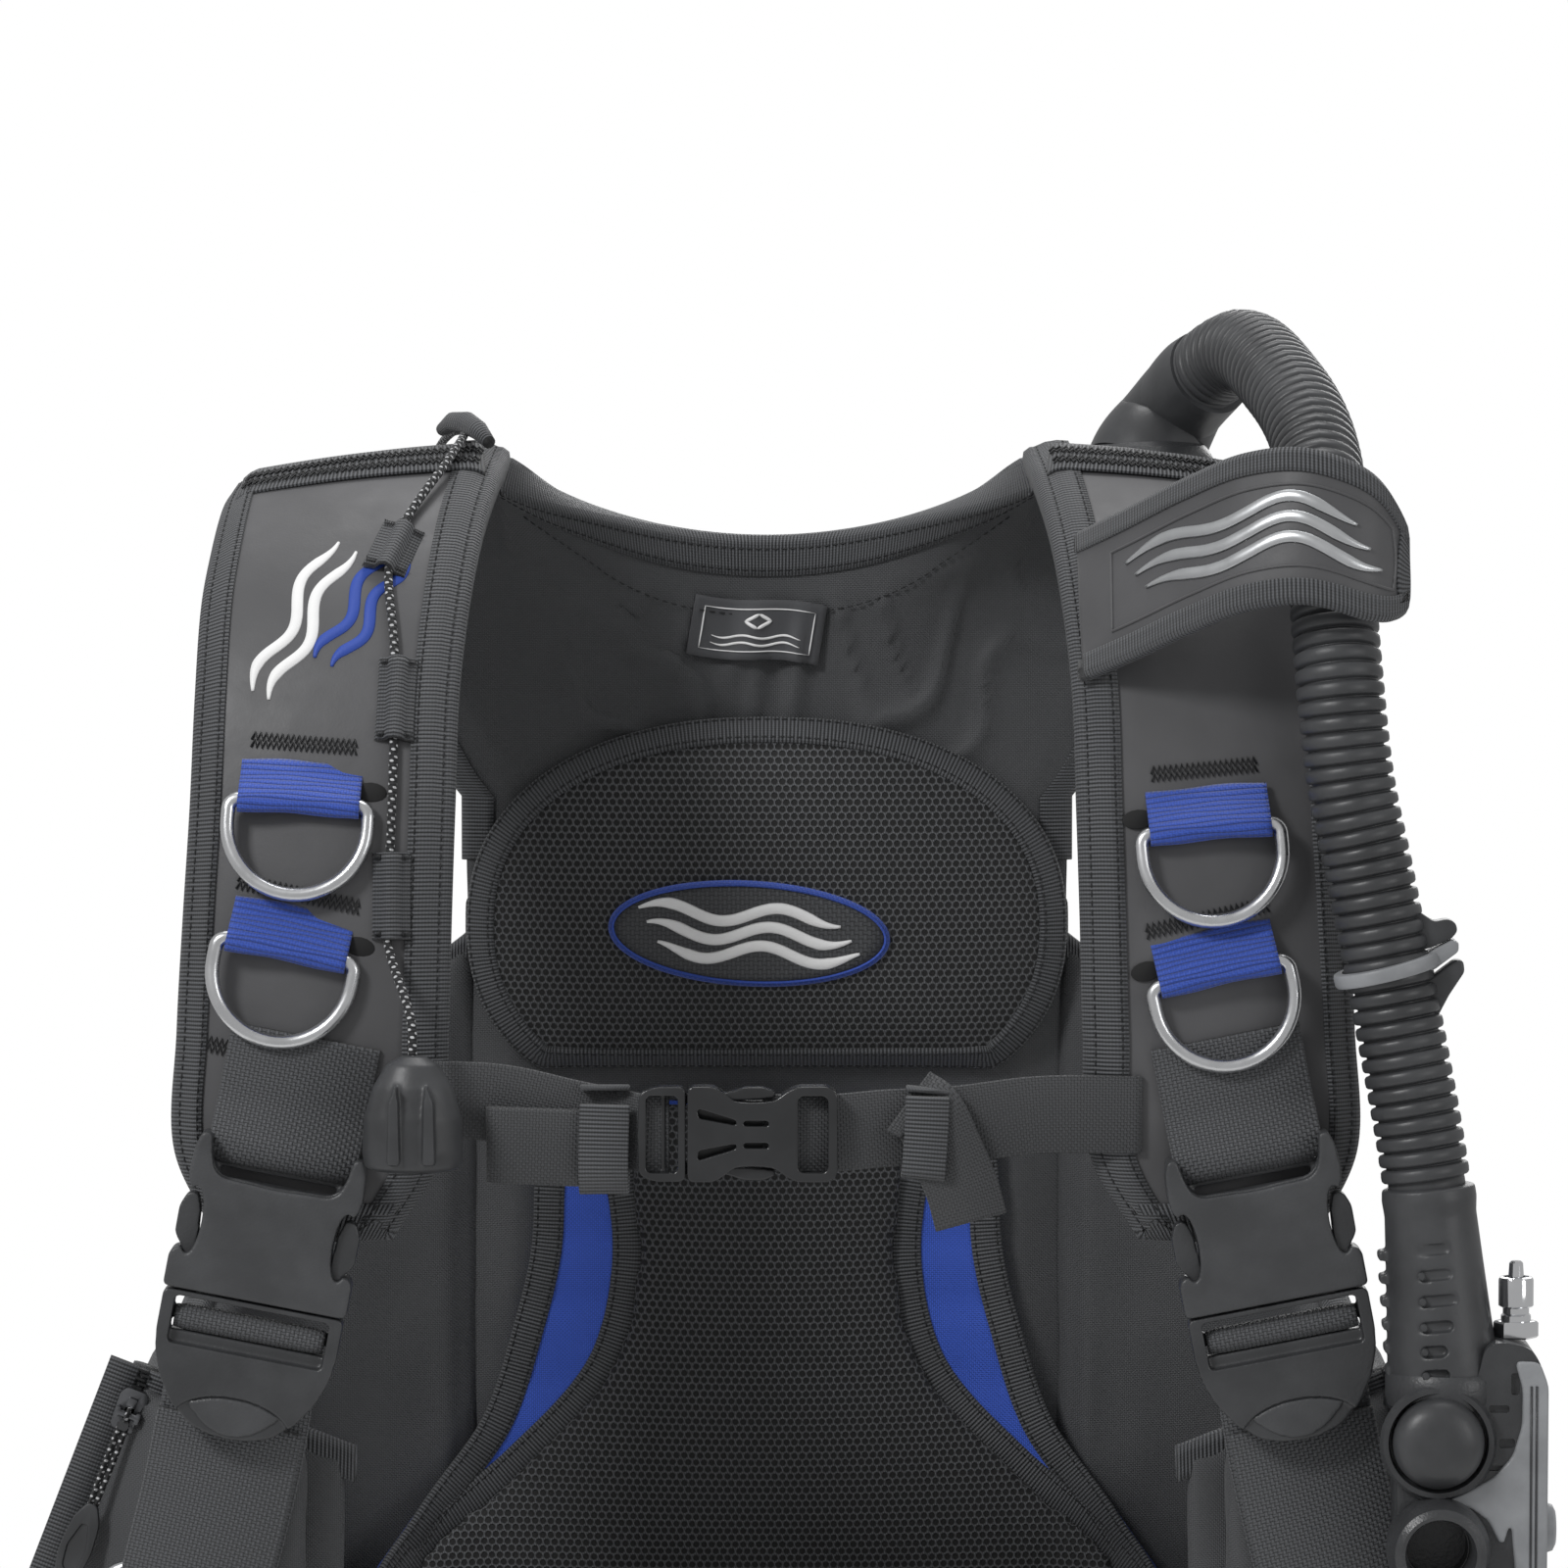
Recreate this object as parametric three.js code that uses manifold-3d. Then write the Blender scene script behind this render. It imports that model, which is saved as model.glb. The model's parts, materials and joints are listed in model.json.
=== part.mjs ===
// Buoyancy compensator vest: an adjustable jacket for scuba diving, with its air cell, harness, backplate, tank band
// and power inflator. Millimetres, +Z up, the wearer faces -Y and the cylinder stands on the +Y side.
// The origin is on the backplate's flat rear seat, level with the middle of the tank band.
// "left" is the wearer's left, +X.
import * as THREE from "three";
import { mergeVertices } from "three/addons/utils/BufferGeometryUtils.js";
import Module from "manifold-3d";

const wasm = await Module();
wasm.setup();

// ---- driving dimensions ----
const gap = 0.4; // between pieces that touch
const neckHalf = 88; // from the middle to the inner edge of a shoulder strap at the crest
const cellThick = 15; // air cell behind the wearer
const strapThick = 14; // padded shoulder strap
const tankRadius = 92; // aluminium 11 litre cylinder
const plateThick = 14;
const plateHalf = 78;
const seatHalf = 50; // half the flat seat between the cradle ribs
const ribWide = 8;
const webThick = 2.4;
const shoulderWeb = 50;
const sternumWeb = 25;
const waistWeb = 50;
const bandWide = 50;
const bandThick = 3;
const wire = 4.6; // D-ring wire diameter
const ringWide = 45; // D-ring width between wire centres
const ringDrop = 30; // from the bar of a D-ring to its lowest wire centre
const lowRingWide = 28;
const lowRingDrop = 21;
const loopTall = 15;
const hoseRadius = 13.5;
const cuffRadius = 16.5;
const cordRadius = 1.4;
const flapTall = 46;
const flapThick = 3.6;
const panelThick = 4;
const padThick = 22;
const lumbarThick = 16;
const cummerbundThick = 4;
const cummerbundTall = 95;

const cellBack = -plateThick - gap;
const cellMid = cellBack - cellThick / 2;
const cellFront = cellBack - cellThick;
const panelFront = cellFront - gap - panelThick;

const P = (x, y, z) => new THREE.Vector3(x, y, z);
const curve = (rows) => new THREE.CatmullRomCurve3(rows.map((r) => P(...r)), false, "centripetal");
const mix = (a, b, t) => a + (b - a) * t;
const bulge = (t) => Math.sin(Math.PI * t);
const degrees = (d) => (d * Math.PI) / 180;

// ---- solids ----
// Position only, shared vertices, faces turned outwards.
function closed(geometry) {
  const bare = new THREE.BufferGeometry();
  bare.setAttribute("position", geometry.getAttribute("position"));
  if (geometry.index) bare.setIndex(geometry.index);
  const merged = mergeVertices(bare, 1e-4);
  const p = merged.attributes.position;
  const ids = Array.from(merged.index.array);
  const corner = (i) => new THREE.Vector3().fromBufferAttribute(p, i);
  let volume = 0;
  for (let i = 0; i < ids.length; i += 3)
    volume += corner(ids[i]).dot(corner(ids[i + 1]).cross(corner(ids[i + 2])));
  if (volume < 0)
    for (let i = 0; i < ids.length; i += 3)
      [ids[i + 1], ids[i + 2]] = [ids[i + 2], ids[i + 1]];
  merged.setIndex(ids);
  return merged;
}

function solid(geometry) {
  const g = closed(geometry);
  return new wasm.Manifold(
    new wasm.Mesh({
      numProp: 3,
      vertProperties: new Float32Array(g.attributes.position.array),
      triVerts: new Uint32Array(g.index.array),
    }),
  );
}

function geometryOf(made) {
  const m = made.getMesh();
  const g = new THREE.BufferGeometry();
  g.setAttribute("position", new THREE.BufferAttribute(new Float32Array(m.vertProperties), 3));
  g.setIndex(new THREE.BufferAttribute(new Uint32Array(m.triVerts), 1));
  return g;
}

const join = (first, ...rest) => geometryOf(rest.reduce((a, b) => a.add(solid(b)), solid(first)));
const cut = (first, ...rest) => geometryOf(rest.reduce((a, b) => a.subtract(solid(b)), solid(first)));
const mirrored = (geometry) => closed(geometry.clone().scale(-1, 1, 1));

// A body of cloth or foam: a grid of points, each pushed both ways along the surface normal by offsets(u, v).
function sheet(point, across, along, offsets) {
  const step = 1e-3;
  const positions = [];
  for (const face of [0, 1])
    for (let j = 0; j <= along; j++)
      for (let i = 0; i <= across; i++) {
        const [u, v] = [i / across, j / along];
        const du = point(Math.min(1, u + step), v).sub(point(Math.max(0, u - step), v));
        const dv = point(u, Math.min(1, v + step)).sub(point(u, Math.max(0, v - step)));
        const p = point(u, v).addScaledVector(du.cross(dv).normalize(), offsets(u, v)[face]);
        positions.push(p.x, p.y, p.z);
      }
  const row = across + 1;
  const layer = row * (along + 1);
  const index = [];
  const quad = (a, b, c, d) => index.push(a, b, c, a, c, d);
  for (let j = 0; j < along; j++)
    for (let i = 0; i < across; i++) {
      const a = j * row + i;
      quad(a, a + row, a + row + 1, a + 1);
      quad(layer + a, layer + a + 1, layer + a + row + 1, layer + a + row);
    }
  for (let i = 0; i < across; i++) {
    const far = along * row + i;
    quad(i, i + 1, layer + i + 1, layer + i);
    quad(far, layer + far, layer + far + 1, far + 1);
  }
  for (let j = 0; j < along; j++) {
    const a = j * row;
    const b = a + across;
    quad(a, layer + a, layer + a + row, a + row);
    quad(b, b + row, layer + b + row, layer + b);
  }
  const g = new THREE.BufferGeometry();
  g.setAttribute("position", new THREE.Float32BufferAttribute(positions, 3));
  g.setIndex(index);
  return closed(g);
}
const even = (thick) => () => [-thick / 2, thick / 2];

// Flat webbing along a route of centre points. tilt(v) turns its width away from +X, in degrees about Y.
function webbing(route, wide, thick, steps, tilt = () => 0, grow = 0) {
  const line = curve(route);
  const point = (u, v) => {
    const a = degrees(tilt(v));
    return line.getPoint(v).addScaledVector(P(Math.cos(a), 0, Math.sin(a)), (u - 0.5) * (wide + 2 * grow));
  };
  return sheet(point, 1, steps, even(thick + 2 * grow));
}

// Round bar along a route.
function rod(route, radius, sides, steps) {
  const section = new THREE.Shape();
  for (let k = 0; k <= sides; k++) {
    const a = (2 * Math.PI * k) / sides;
    section[k ? "lineTo" : "moveTo"](radius * Math.cos(a), radius * Math.sin(a));
  }
  return new THREE.ExtrudeGeometry(section, { steps, extrudePath: curve(route), bevelEnabled: false });
}

// Body of revolution about +Z from [radius, z] pairs that start and end on the axis, or close on themselves.
const turned = (profile, sides = 20) =>
  new THREE.LatheGeometry(profile.map((p) => new THREE.Vector2(...p)), sides).rotateX(Math.PI / 2);

const block = (x, y, z, at = [0, 0, 0]) => new THREE.BoxGeometry(x, y, z).translate(...at);

// Outline in the X-Z plane, extruded from y = front to y = front + thick.
function plate(shape, front, thick, bevel = 0) {
  const g = new THREE.ExtrudeGeometry(shape, {
    depth: thick - 2 * bevel,
    bevelEnabled: bevel > 0,
    bevelSize: bevel,
    bevelOffset: -bevel,
    bevelThickness: bevel,
    bevelSegments: 1,
    curveSegments: 3,
  });
  return g.rotateX(Math.PI / 2).translate(0, front + thick - bevel, 0);
}

function roundedBox(wide, tall, radius, x = 0, z = 0) {
  const s = new THREE.Shape();
  const [l, r, b, t] = [x - wide / 2, x + wide / 2, z - tall / 2, z + tall / 2];
  s.moveTo(l + radius, b);
  s.lineTo(r - radius, b);
  s.absarc(r - radius, b + radius, radius, -Math.PI / 2, 0);
  s.lineTo(r, t - radius);
  s.absarc(r - radius, t - radius, radius, 0, Math.PI / 2);
  s.lineTo(l + radius, t);
  s.absarc(l + radius, t - radius, radius, Math.PI / 2, Math.PI);
  s.lineTo(l, b + radius);
  s.absarc(l + radius, b + radius, radius, Math.PI, 1.5 * Math.PI);
  return s;
}

// ---- materials ----
const finish = (color, roughness, metalness = 0) => new THREE.MeshStandardMaterial({ color, roughness, metalness });
const coated = finish(0x4a4a4c, 0.5); // polyurethane-coated nylon
const nylon = finish(0x2b2b2d, 0.85);
const mesh3d = finish(0x1c1c1e, 0.95);
const blue = finish(0x2447a8, 0.8);
const webBlack = finish(0x232325, 0.9);
const plastic = finish(0x2e2e30, 0.45);
const rubber = finish(0x333335, 0.6);
const steel = finish(0xb9bcc0, 0.25, 1);
const chrome = finish(0xd0d2d5, 0.1, 1);
const greyPlastic = finish(0x8a8c8f, 0.4);

const vest = new THREE.Group();
function add(name, geometry, material, parent = vest) {
  const mesh = new THREE.Mesh(geometry, material);
  mesh.name = name;
  parent.add(mesh);
  return mesh;
}
// The same piece on both sides of the wearer, built on the left.
function pair(name, geometry, material) {
  add(name + "_left", geometry, material);
  add(name + "_right", mirrored(geometry), material);
}

// ---- backplate: flat seat between two cradle ribs, slots for the band, and a carrying grip at the top ----
const plateBottom = -150;
const plateShoulder = 120;
const gripTop = 205;
const gripHalf = 52;
const gripBar = 16;
const slotX = plateHalf - 9;
const slotWide = bandThick + 5;
const grooveFloor = -plateThick + bandThick + 2 * gap; // the band lies in a groove across the plate's front
const gripGap = { wide: 76, tall: 24 };
const gripGapZ = gripTop - gripBar - gripGap.tall / 2;
// How far the cylinder curves away from the seat.
const cradle = (x) => tankRadius - Math.sqrt(tankRadius ** 2 - x ** 2);

function backplate() {
  const outline = new THREE.Shape();
  outline.moveTo(-50, plateBottom);
  outline.lineTo(50, plateBottom);
  outline.quadraticCurveTo(plateHalf, plateBottom, plateHalf, -110);
  outline.lineTo(plateHalf, plateShoulder - 20);
  outline.quadraticCurveTo(plateHalf, plateShoulder + 20, gripHalf, plateShoulder + 40);
  outline.lineTo(gripHalf, gripTop - 14);
  outline.quadraticCurveTo(gripHalf, gripTop, gripHalf - 14, gripTop);
  outline.lineTo(14 - gripHalf, gripTop);
  outline.quadraticCurveTo(-gripHalf, gripTop, -gripHalf, gripTop - 14);
  outline.lineTo(-gripHalf, plateShoulder + 40);
  outline.quadraticCurveTo(-plateHalf, plateShoulder + 20, -plateHalf, plateShoulder - 20);
  outline.lineTo(-plateHalf, -110);
  outline.quadraticCurveTo(-plateHalf, plateBottom, -50, plateBottom);
  outline.holes.push(roundedBox(gripGap.wide, gripGap.tall, 10, 0, gripGapZ));
  for (const side of [-1, 1]) outline.holes.push(roundedBox(slotWide, bandWide + 4, 1, side * slotX, 0));
  const ribTall = cradle(seatHalf) - gap;
  const ribs = [-1, 1].map((side) =>
    block(ribWide, ribTall + 4, 220, [side * (seatHalf + ribWide / 2), ribTall / 2 - 2, -20]),
  );
  const grooveAt = [0, grooveFloor - bandThick / 2 - 1, 0];
  const groove = block(2 * slotX + slotWide, bandThick + 2 * gap + 2, bandWide + 4, grooveAt);
  return cut(join(plate(outline, -plateThick, plateThick), ...ribs), groove);
}

// ---- tank band: one loop of webbing round the cylinder, with a cam buckle behind it ----
const bandRadius = tankRadius + gap + bandThick / 2;
const bandCentre = tankRadius + gap; // y of the cylinder's axis
function tankBand(grow = 0) {
  const front = grooveFloor - gap - bandThick / 2;
  const half = [[0.5, front, 0], [slotX - 12, front, 0], [slotX - 2, front + 3, 0], [slotX + 0.5, 0, 0]];
  for (let a = -36; a < 90; a += 16)
    half.push([bandRadius * Math.cos(degrees(a)), bandCentre + bandRadius * Math.sin(degrees(a)), 0]);
  const other = half.map(([x, y, z]) => [-x, y, z]).reverse();
  const line = curve([...half, [0, bandCentre + bandRadius, 0], ...other]);
  const point = (u, v) => line.getPoint(v).add(P(0, 0, (0.5 - u) * (bandWide + 2 * grow)));
  return sheet(point, 1, 56, even(bandThick + 2 * grow));
}
add("tank_band", tankBand(), webBlack);
add("backplate", cut(backplate(), tankBand(gap)), plastic);

const camSeat = bandCentre + bandRadius + bandThick / 2 + gap; // outer face of the band at its rearmost point
const camHalf = 34;
const camWall = 4;
const camPin = { x: -camHalf + 8, y: camSeat + 13, radius: 3 };
function camBase() {
  const floor = block(2 * camHalf, 6, bandWide + 4, [0, camSeat + 3, 0]);
  const wall = (z) => block(20, 16, camWall, [camPin.x, camSeat + 11, z]);
  const z = bandWide / 2 + 2 - camWall / 2;
  const pin = new THREE.CylinderGeometry(camPin.radius, camPin.radius, bandWide + 2, 12)
    .rotateX(Math.PI / 2)
    .translate(camPin.x, camPin.y, 0);
  const feet = [-1, 1].map((side) => block(6, 4, bandWide + 4, [side * (camHalf - 3), camSeat + 2, 0]));
  return join(floor, wall(z), wall(-z), pin, ...feet);
}
function camLever() {
  const tall = bandWide + 4 - 2 * camWall - 2 * gap - 0.6;
  const knuckle = new THREE.CylinderGeometry(camPin.radius + 3.4, camPin.radius + 3.4, tall, 16)
    .rotateX(Math.PI / 2)
    .translate(camPin.x, camPin.y, 0);
  const arm = block(2 * camHalf - 10, 5, tall, [camPin.x + camHalf - 5, camPin.y + 1.5, 0]);
  const tip = block(10, 4, tall, [camPin.x + 2 * camHalf - 12, camPin.y + 3.5, 0]);
  const bore = new THREE.CylinderGeometry(camPin.radius + gap, camPin.radius + gap, bandWide + 20, 16)
    .rotateX(Math.PI / 2)
    .translate(camPin.x, camPin.y, 0);
  return cut(join(knuckle, arm, tip), bore);
}
add("cam_buckle_base", camBase(), plastic);
add("cam_lever", camLever(), plastic);

// ---- air cell: back panel with its shoulders, and a wing round each side of the waist ----
// Height v = 0 is the narrow waist of the panel beside the armholes, v = 1 the shoulder crest and the neckline.
const waistZ = 108;
const neckZ = 226;
const shoulderRise = curve([[0, cellMid, waistZ], [0, -23, 160], [0, -26, 200], [0, -40, 232], [0, -64, 248],
  [0, -85, 251]]);
const cellBottom = -246;
const seamHalf = 99; // half-width where the wings are welded on
const shoulderHalf = 178;

function cellPoint(u, v) {
  const side = 2 * u - 1;
  const lower = 0.4; // share of the grid below the armholes
  if (v < lower) {
    const t = v / lower;
    return P(side * mix(seamHalf - 3, seamHalf, t), cellMid, mix(cellBottom, waistZ - 14, t));
  }
  const t = (v - lower) / (1 - lower);
  const half = t < 0.12 ? mix(seamHalf, 103, t / 0.12) : mix(103, shoulderHalf, Math.pow((t - 0.12) / 0.88, 0.72));
  const x = side * half;
  const shoulder = Math.min(1, (x / neckHalf) ** 2);
  const rise = shoulderRise.getPoint(t);
  const flat = P(0, cellMid, mix(waistZ - 14, neckZ, t));
  const p = flat.lerp(rise, shoulder);
  const drop = 12 * t * Math.max(0, (Math.abs(x) - neckHalf) / (shoulderHalf - neckHalf)) ** 2;
  return P(x, p.y, p.z - drop);
}
const cellOffsets = (grow) => (u, v) => {
  const edge = Math.min(1, 8 * Math.min(u, 1 - u) + 0.4);
  const t = v < 0.45 ? cellThick : mix(cellThick, 11, (v - 0.45) / 0.55);
  return [-(t / 2) * edge - grow, (t / 2) * edge + grow];
};
add("air_cell_back", sheet(cellPoint, 12, 14, cellOffsets(0)), nylon);

const wingTop = curve([[seamHalf + 3 * gap, cellMid, 92], [132, -24, 66], [168, -38, 22], [190, -72, -22],
  [197, -112, -44],
  [190, -148, -52], [170, -168, -56], [150, -174, -60], [134, -174, -66]]);
const wingFoot = curve([[seamHalf + 3 * gap, cellMid, cellBottom], [140, -26, -248], [180, -42, -250],
  [210, -78, -252],
  [218, -116, -253], [208, -148, -252], [184, -167, -250], [158, -174, -246], [138, -174, -240]]);
function wingPoint(u, v) {
  const p = wingTop.getPoint(v).lerp(wingFoot.getPoint(v), u);
  return p;
}
const wing = (grow = 0) =>
  sheet(wingPoint, 6, 12, (u, v) => {
    const t = 6 + 9 * bulge(Math.min(1, 0.08 + v)) * Math.pow(bulge(mix(0.04, 0.96, u)), 0.5) + grow;
    return [-t, t];
  });
pair("air_cell_wing", wing(), nylon);

// ---- shoulder straps: inner and outer edges of the front face, from the crest to the rounded foot ----
const strapInner = curve([[neckHalf, -93, 262], [91, -120, 253], [95, -146, 237], [98, -166, 217], [101, -184, 186],
  [102, -197, 148], [103, -203, 112], [104, -206, 75], [106, -206, 36], [121, -205, 9]]);
const strapOuter = curve([[177, -92, 250], [179, -118, 244], [181, -144, 230], [183, -163, 212], [184, -180, 183],
  [185, -192, 147], [187, -198, 111], [189, -200, 75], [190, -200, 36], [178, -200, 9]]);
const strapCrown = 4; // how far the face bows forwards between its edges

function strapPoint(u, v) {
  const p = strapInner.getPoint(v).lerp(strapOuter.getPoint(v), u);
  return p.add(P(0, -strapCrown * bulge(u) * 0.9, strapCrown * bulge(u) * (v < 0.3 ? 0.6 - 2 * v : 0)));
}
const strap = (grow = 0) => sheet(strapPoint, 4, 16, () => [-grow, strapThick + grow]);
pair("shoulder_strap", strap(), coated);

// Where a piece sits on the strap: share u across, height z, and its frame
// (x across, y into the strap, z up along it).
function onStrap(u, z, rise, tilt = 0) {
  let [low, high] = [0, 1];
  for (let i = 0; i < 40; i++) {
    const middle = (low + high) / 2;
    if (strapPoint(u, middle).z > z) low = middle;
    else high = middle;
  }
  const at = strapPoint(u, low);
  const up = strapPoint(u, low - 0.02).sub(strapPoint(u, low + 0.02)).normalize();
  const across = P(Math.cos(degrees(tilt)), 0, Math.sin(degrees(tilt)));
  const into = up.clone().cross(across).normalize();
  const square = into.clone().cross(up).normalize();
  const turn = new THREE.Matrix4().makeBasis(square, into, up);
  turn.multiply(new THREE.Matrix4().makeRotationY(-degrees(tilt)));
  return turn.setPosition(at.addScaledVector(into, -rise));
}

// ---- D-rings in blue webbing loops ----
function dRing(wide, drop, thick = wire) {
  const corner = 3;
  const half = wide / 2;
  const path = new THREE.CurvePath();
  const line = (a, b) => path.add(new THREE.LineCurve3(P(...a), P(...b)));
  line([0, 0, 0], [half - corner, 0, 0]);
  path.add(new THREE.QuadraticBezierCurve3(P(half - corner, 0, 0), P(half, 0, 0), P(half, 0, -corner)));
  line([half, 0, -corner], [half, 0, half - drop]);
  path.add(new THREE.CubicBezierCurve3(P(half, 0, half - drop), P(half, 0, 0.45 * half - drop),
    P(0.55 * half, 0, -drop), P(0, 0, -drop)));
  const stations = [];
  const each = [1, 2, 1, 4];
  path.curves.forEach((c, n) => {
    for (let i = n ? 1 : 0; i <= each[n]; i++) stations.push([c.getPoint(i / each[n]), c.getTangent(i / each[n])]);
  });
  const back = stations.slice(1, -1).reverse().map(([p, t]) => [P(-p.x, 0, p.z), P(t.x, 0, -t.z)]);
  const loop = [...stations, ...back];
  const sides = 6;
  const positions = [];
  const index = [];
  loop.forEach(([p, t], i) => {
    const out = P(t.z, 0, -t.x);
    for (let k = 0; k < sides; k++) {
      const a = (2 * Math.PI * (k + 0.5)) / sides;
      const q = p.clone().addScaledVector(out, (thick / 2) * Math.cos(a)).add(P(0, (thick / 2) * Math.sin(a), 0));
      positions.push(q.x, q.y, q.z);
      const [a0, a1] = [i * sides + k, i * sides + ((k + 1) % sides)];
      const next = ((i + 1) % loop.length) * sides;
      index.push(a0, a1, next + ((k + 1) % sides), a0, next + ((k + 1) % sides), next + k);
    }
  });
  const g = new THREE.BufferGeometry();
  g.setAttribute("position", new THREE.Float32BufferAttribute(positions, 3));
  g.setIndex(index);
  return closed(g);
}
const ringLift = wire / 2 + 2.6; // bar centre above the strap's face
const ringStations = {
  upper_left: { z: 140, u: 0.49, tilt: 3 },
  lower_left: { z: 94.5, u: 0.5, tilt: 10 },
  upper_right: { z: 148, u: 0.58, tilt: 2 },
  lower_right: { z: 102, u: 0.6, tilt: 9 },
};
const ringLean = 0.6; // degrees by which a resting ring leans in towards the strap

function ringLoop(place) {
  const wide = ringWide - 2 * 3 - 1;
  const hull = block(wide, ringLift + 3 + 3.2, loopTall, [0, (ringLift + 3 - 3.2) / 2, 0]);
  const bore = new THREE.CylinderGeometry(wire / 2 + gap, wire / 2 + gap, wide + 4, 12).rotateZ(Math.PI / 2);
  const local = cut(hull, bore).applyMatrix4(place);
  return cut(local, strap(gap));
}
for (const [name, at] of Object.entries(ringStations)) {
  const place = onStrap(at.u, at.z, ringLift, at.tilt);
  const ring = dRing(ringWide, ringDrop).rotateX(degrees(ringLean)).applyMatrix4(place);
  const turn = name.endsWith("right") ? mirrored : closed;
  add("d_ring_loop_" + name, turn(ringLoop(place)), blue);
  add("d_ring_" + name, turn(ring), steel);
}

// ---- side-release buckles: a socket and a two-prong insert, sized from the webbing ----
// Local z = 0 is the joint between the two.
function buckle(web, socket, insert) {
  const size = { wide: 1.16 * web + 2, socket, insert, thick: 6 + 0.14 * web, wall: 1.5 + 0.02 * web };
  size.bar = 4 + 0.03 * web;
  size.prong = 0.5 * socket;
  size.recess = socket - size.bar - 9; // where the webbing's pocket begins
  size.recessFloor = size.thick / 2 - size.wall - 1.2;
  size.webY = size.recessFloor - gap - webThick / 2;
  return size;
}
function buckleSocket(b) {
  const shell = plate(roundedBox(b.wide, b.socket, 4, 0, b.socket / 2), -b.thick / 2, b.thick, 1.2);
  const throat = block(b.wide - 2 * b.wall, b.thick - 2 * b.wall, b.prong + 3, [0, 0, b.prong / 2 + 0.5]);
  const opening = b.wide - 2 * b.wall - 1;
  const recess = block(opening, b.thick, b.bar + 12, [0, -b.wall - 1.2, b.recess + b.bar / 2 + 6]);
  const slot = block(opening, b.thick + 4, 5, [0, 0, b.recess + 1.5]);
  const window = (side) =>
    plate(roundedBox(9, 0.42 * b.socket, 3, (side * b.wide) / 2, 0.36 * b.socket), -b.thick / 2 - 1, b.thick + 2);
  return cut(shell, throat, recess, slot, window(-1), window(1));
}
function buckleInsert(b, web) {
  const tab = new THREE.Shape();
  const half = b.wide / 2;
  tab.moveTo(-half, -0.6);
  tab.lineTo(half, -0.6);
  tab.lineTo(half, -0.45 * b.insert);
  tab.quadraticCurveTo(half - 1, -0.8 * b.insert, 0.34 * half, -b.insert);
  tab.lineTo(-0.34 * half, -b.insert);
  tab.quadraticCurveTo(1 - half, -0.8 * b.insert, -half, -0.45 * b.insert);
  tab.holes.push(roundedBox(web + 1, 0.2 * b.insert + 2, 1, 0, -0.34 * b.insert));
  const frame = plate(tab, -b.thick / 2, b.thick - 1.6, 0.8);
  const room = b.thick - 2 * b.wall - 2 * gap;
  const armX = b.wide / 2 - b.wall - gap - 0.05 * b.wide;
  const arm = (side) => block(0.1 * b.wide, room, b.prong + 2, [side * armX, 0, b.prong / 2 - 1.2]);
  const guide = block(0.16 * b.wide, room, b.prong - 2, [0, 0, b.prong / 2 - 2.6]);
  return join(frame, arm(-1), arm(1), guide);
}
const shoulderClip = buckle(shoulderWeb, 51, 45);
const clipFace = -206.4; // strap face behind the shoulder buckles
const clipLean = 11; // degrees
const clipCentre = P(164, clipFace - 2 - shoulderClip.thick / 2, -10);
const clipPlace = new THREE.Matrix4()
  .makeRotationY(-degrees(clipLean))
  .setPosition(clipCentre);
pair("shoulder_buckle_socket", buckleSocket(shoulderClip).applyMatrix4(clipPlace), plastic);
pair("shoulder_buckle_insert", buckleInsert(shoulderClip, shoulderWeb).applyMatrix4(clipPlace), plastic);

// Upper webbing: sewn to the strap, over the socket's bar and down into its recess.
function shoulderWebbing() {
  const top = shoulderClip.socket;
  const sewn = clipFace - gap - webThick / 2 - 0.6 - clipCentre.y;
  const route = [
    [0, sewn, top + 28],
    [0, sewn - 0.4, top + 15],
    [0, mix(sewn, shoulderClip.webY, 0.8), top + 7],
    [0, shoulderClip.webY, top + 0.5],
    [0, shoulderClip.webY, shoulderClip.recess + 1],
  ];
  const ribbon = webbing(route, shoulderWeb - 1.5, webThick, 14).applyMatrix4(clipPlace);
  return cut(ribbon, strap(gap));
}
pair("shoulder_webbing", shoulderWebbing(), webBlack);

// Lower webbing: up from the front of the wing, behind the insert.
const insertBack = clipCentre.y + shoulderClip.thick / 2 - 1.6;
const lowerRoute = [
  [167.5, insertBack + gap + webThick / 2, -27],
  [173, insertBack + gap + webThick / 2 + 0.1, -58],
  [178.5, insertBack + 2.6, -82],
  [185, insertBack + 3.6, -106],
  [191, insertBack + 4.6, -130],
  [196, insertBack + 5.4, -152],
];
const lowerTilt = (v) => mix(clipLean, 16, v);
const lowerWebbing = (grow = 0) => webbing(lowerRoute, shoulderWeb - 1.5, webThick, 10, lowerTilt, grow);
pair("lower_webbing", lowerWebbing(), webBlack);

// ---- pockets on the front of the wings, closed by a zip along the outer edge ----
const pocketInner = curve([[147, -191, -62], [146, -195, -120], [147, -195, -180], [150, -190, -236]]);
const pocketOuter = curve([[203, -158, -40], [229, -146, -92], [239, -138, -150], [236, -136, -236]]);
const zipTop = P(204, -170, -42);
const zipFoot = P(242, -170, -140);
const zipWay = zipFoot.clone().sub(zipTop).normalize();
const zipRail = 5;
const zipLong = zipFoot.distanceTo(zipTop);
const pullLong = 60;
const sliderSize = { wide: 9, tall: 14, thick: 5 };
const zipLean = Math.atan2(zipWay.x, -zipWay.z);
const sliderAt = zipTop.clone().addScaledVector(zipWay, 10).add(P(0, -zipRail - gap - sliderSize.thick / 2, 0));
const zipPlace = new THREE.Matrix4().makeRotationY(-zipLean).setPosition(sliderAt);
const pullPin = { radius: 1.1, y: -sliderSize.thick / 2 - 3.2, z: -1 };
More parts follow.
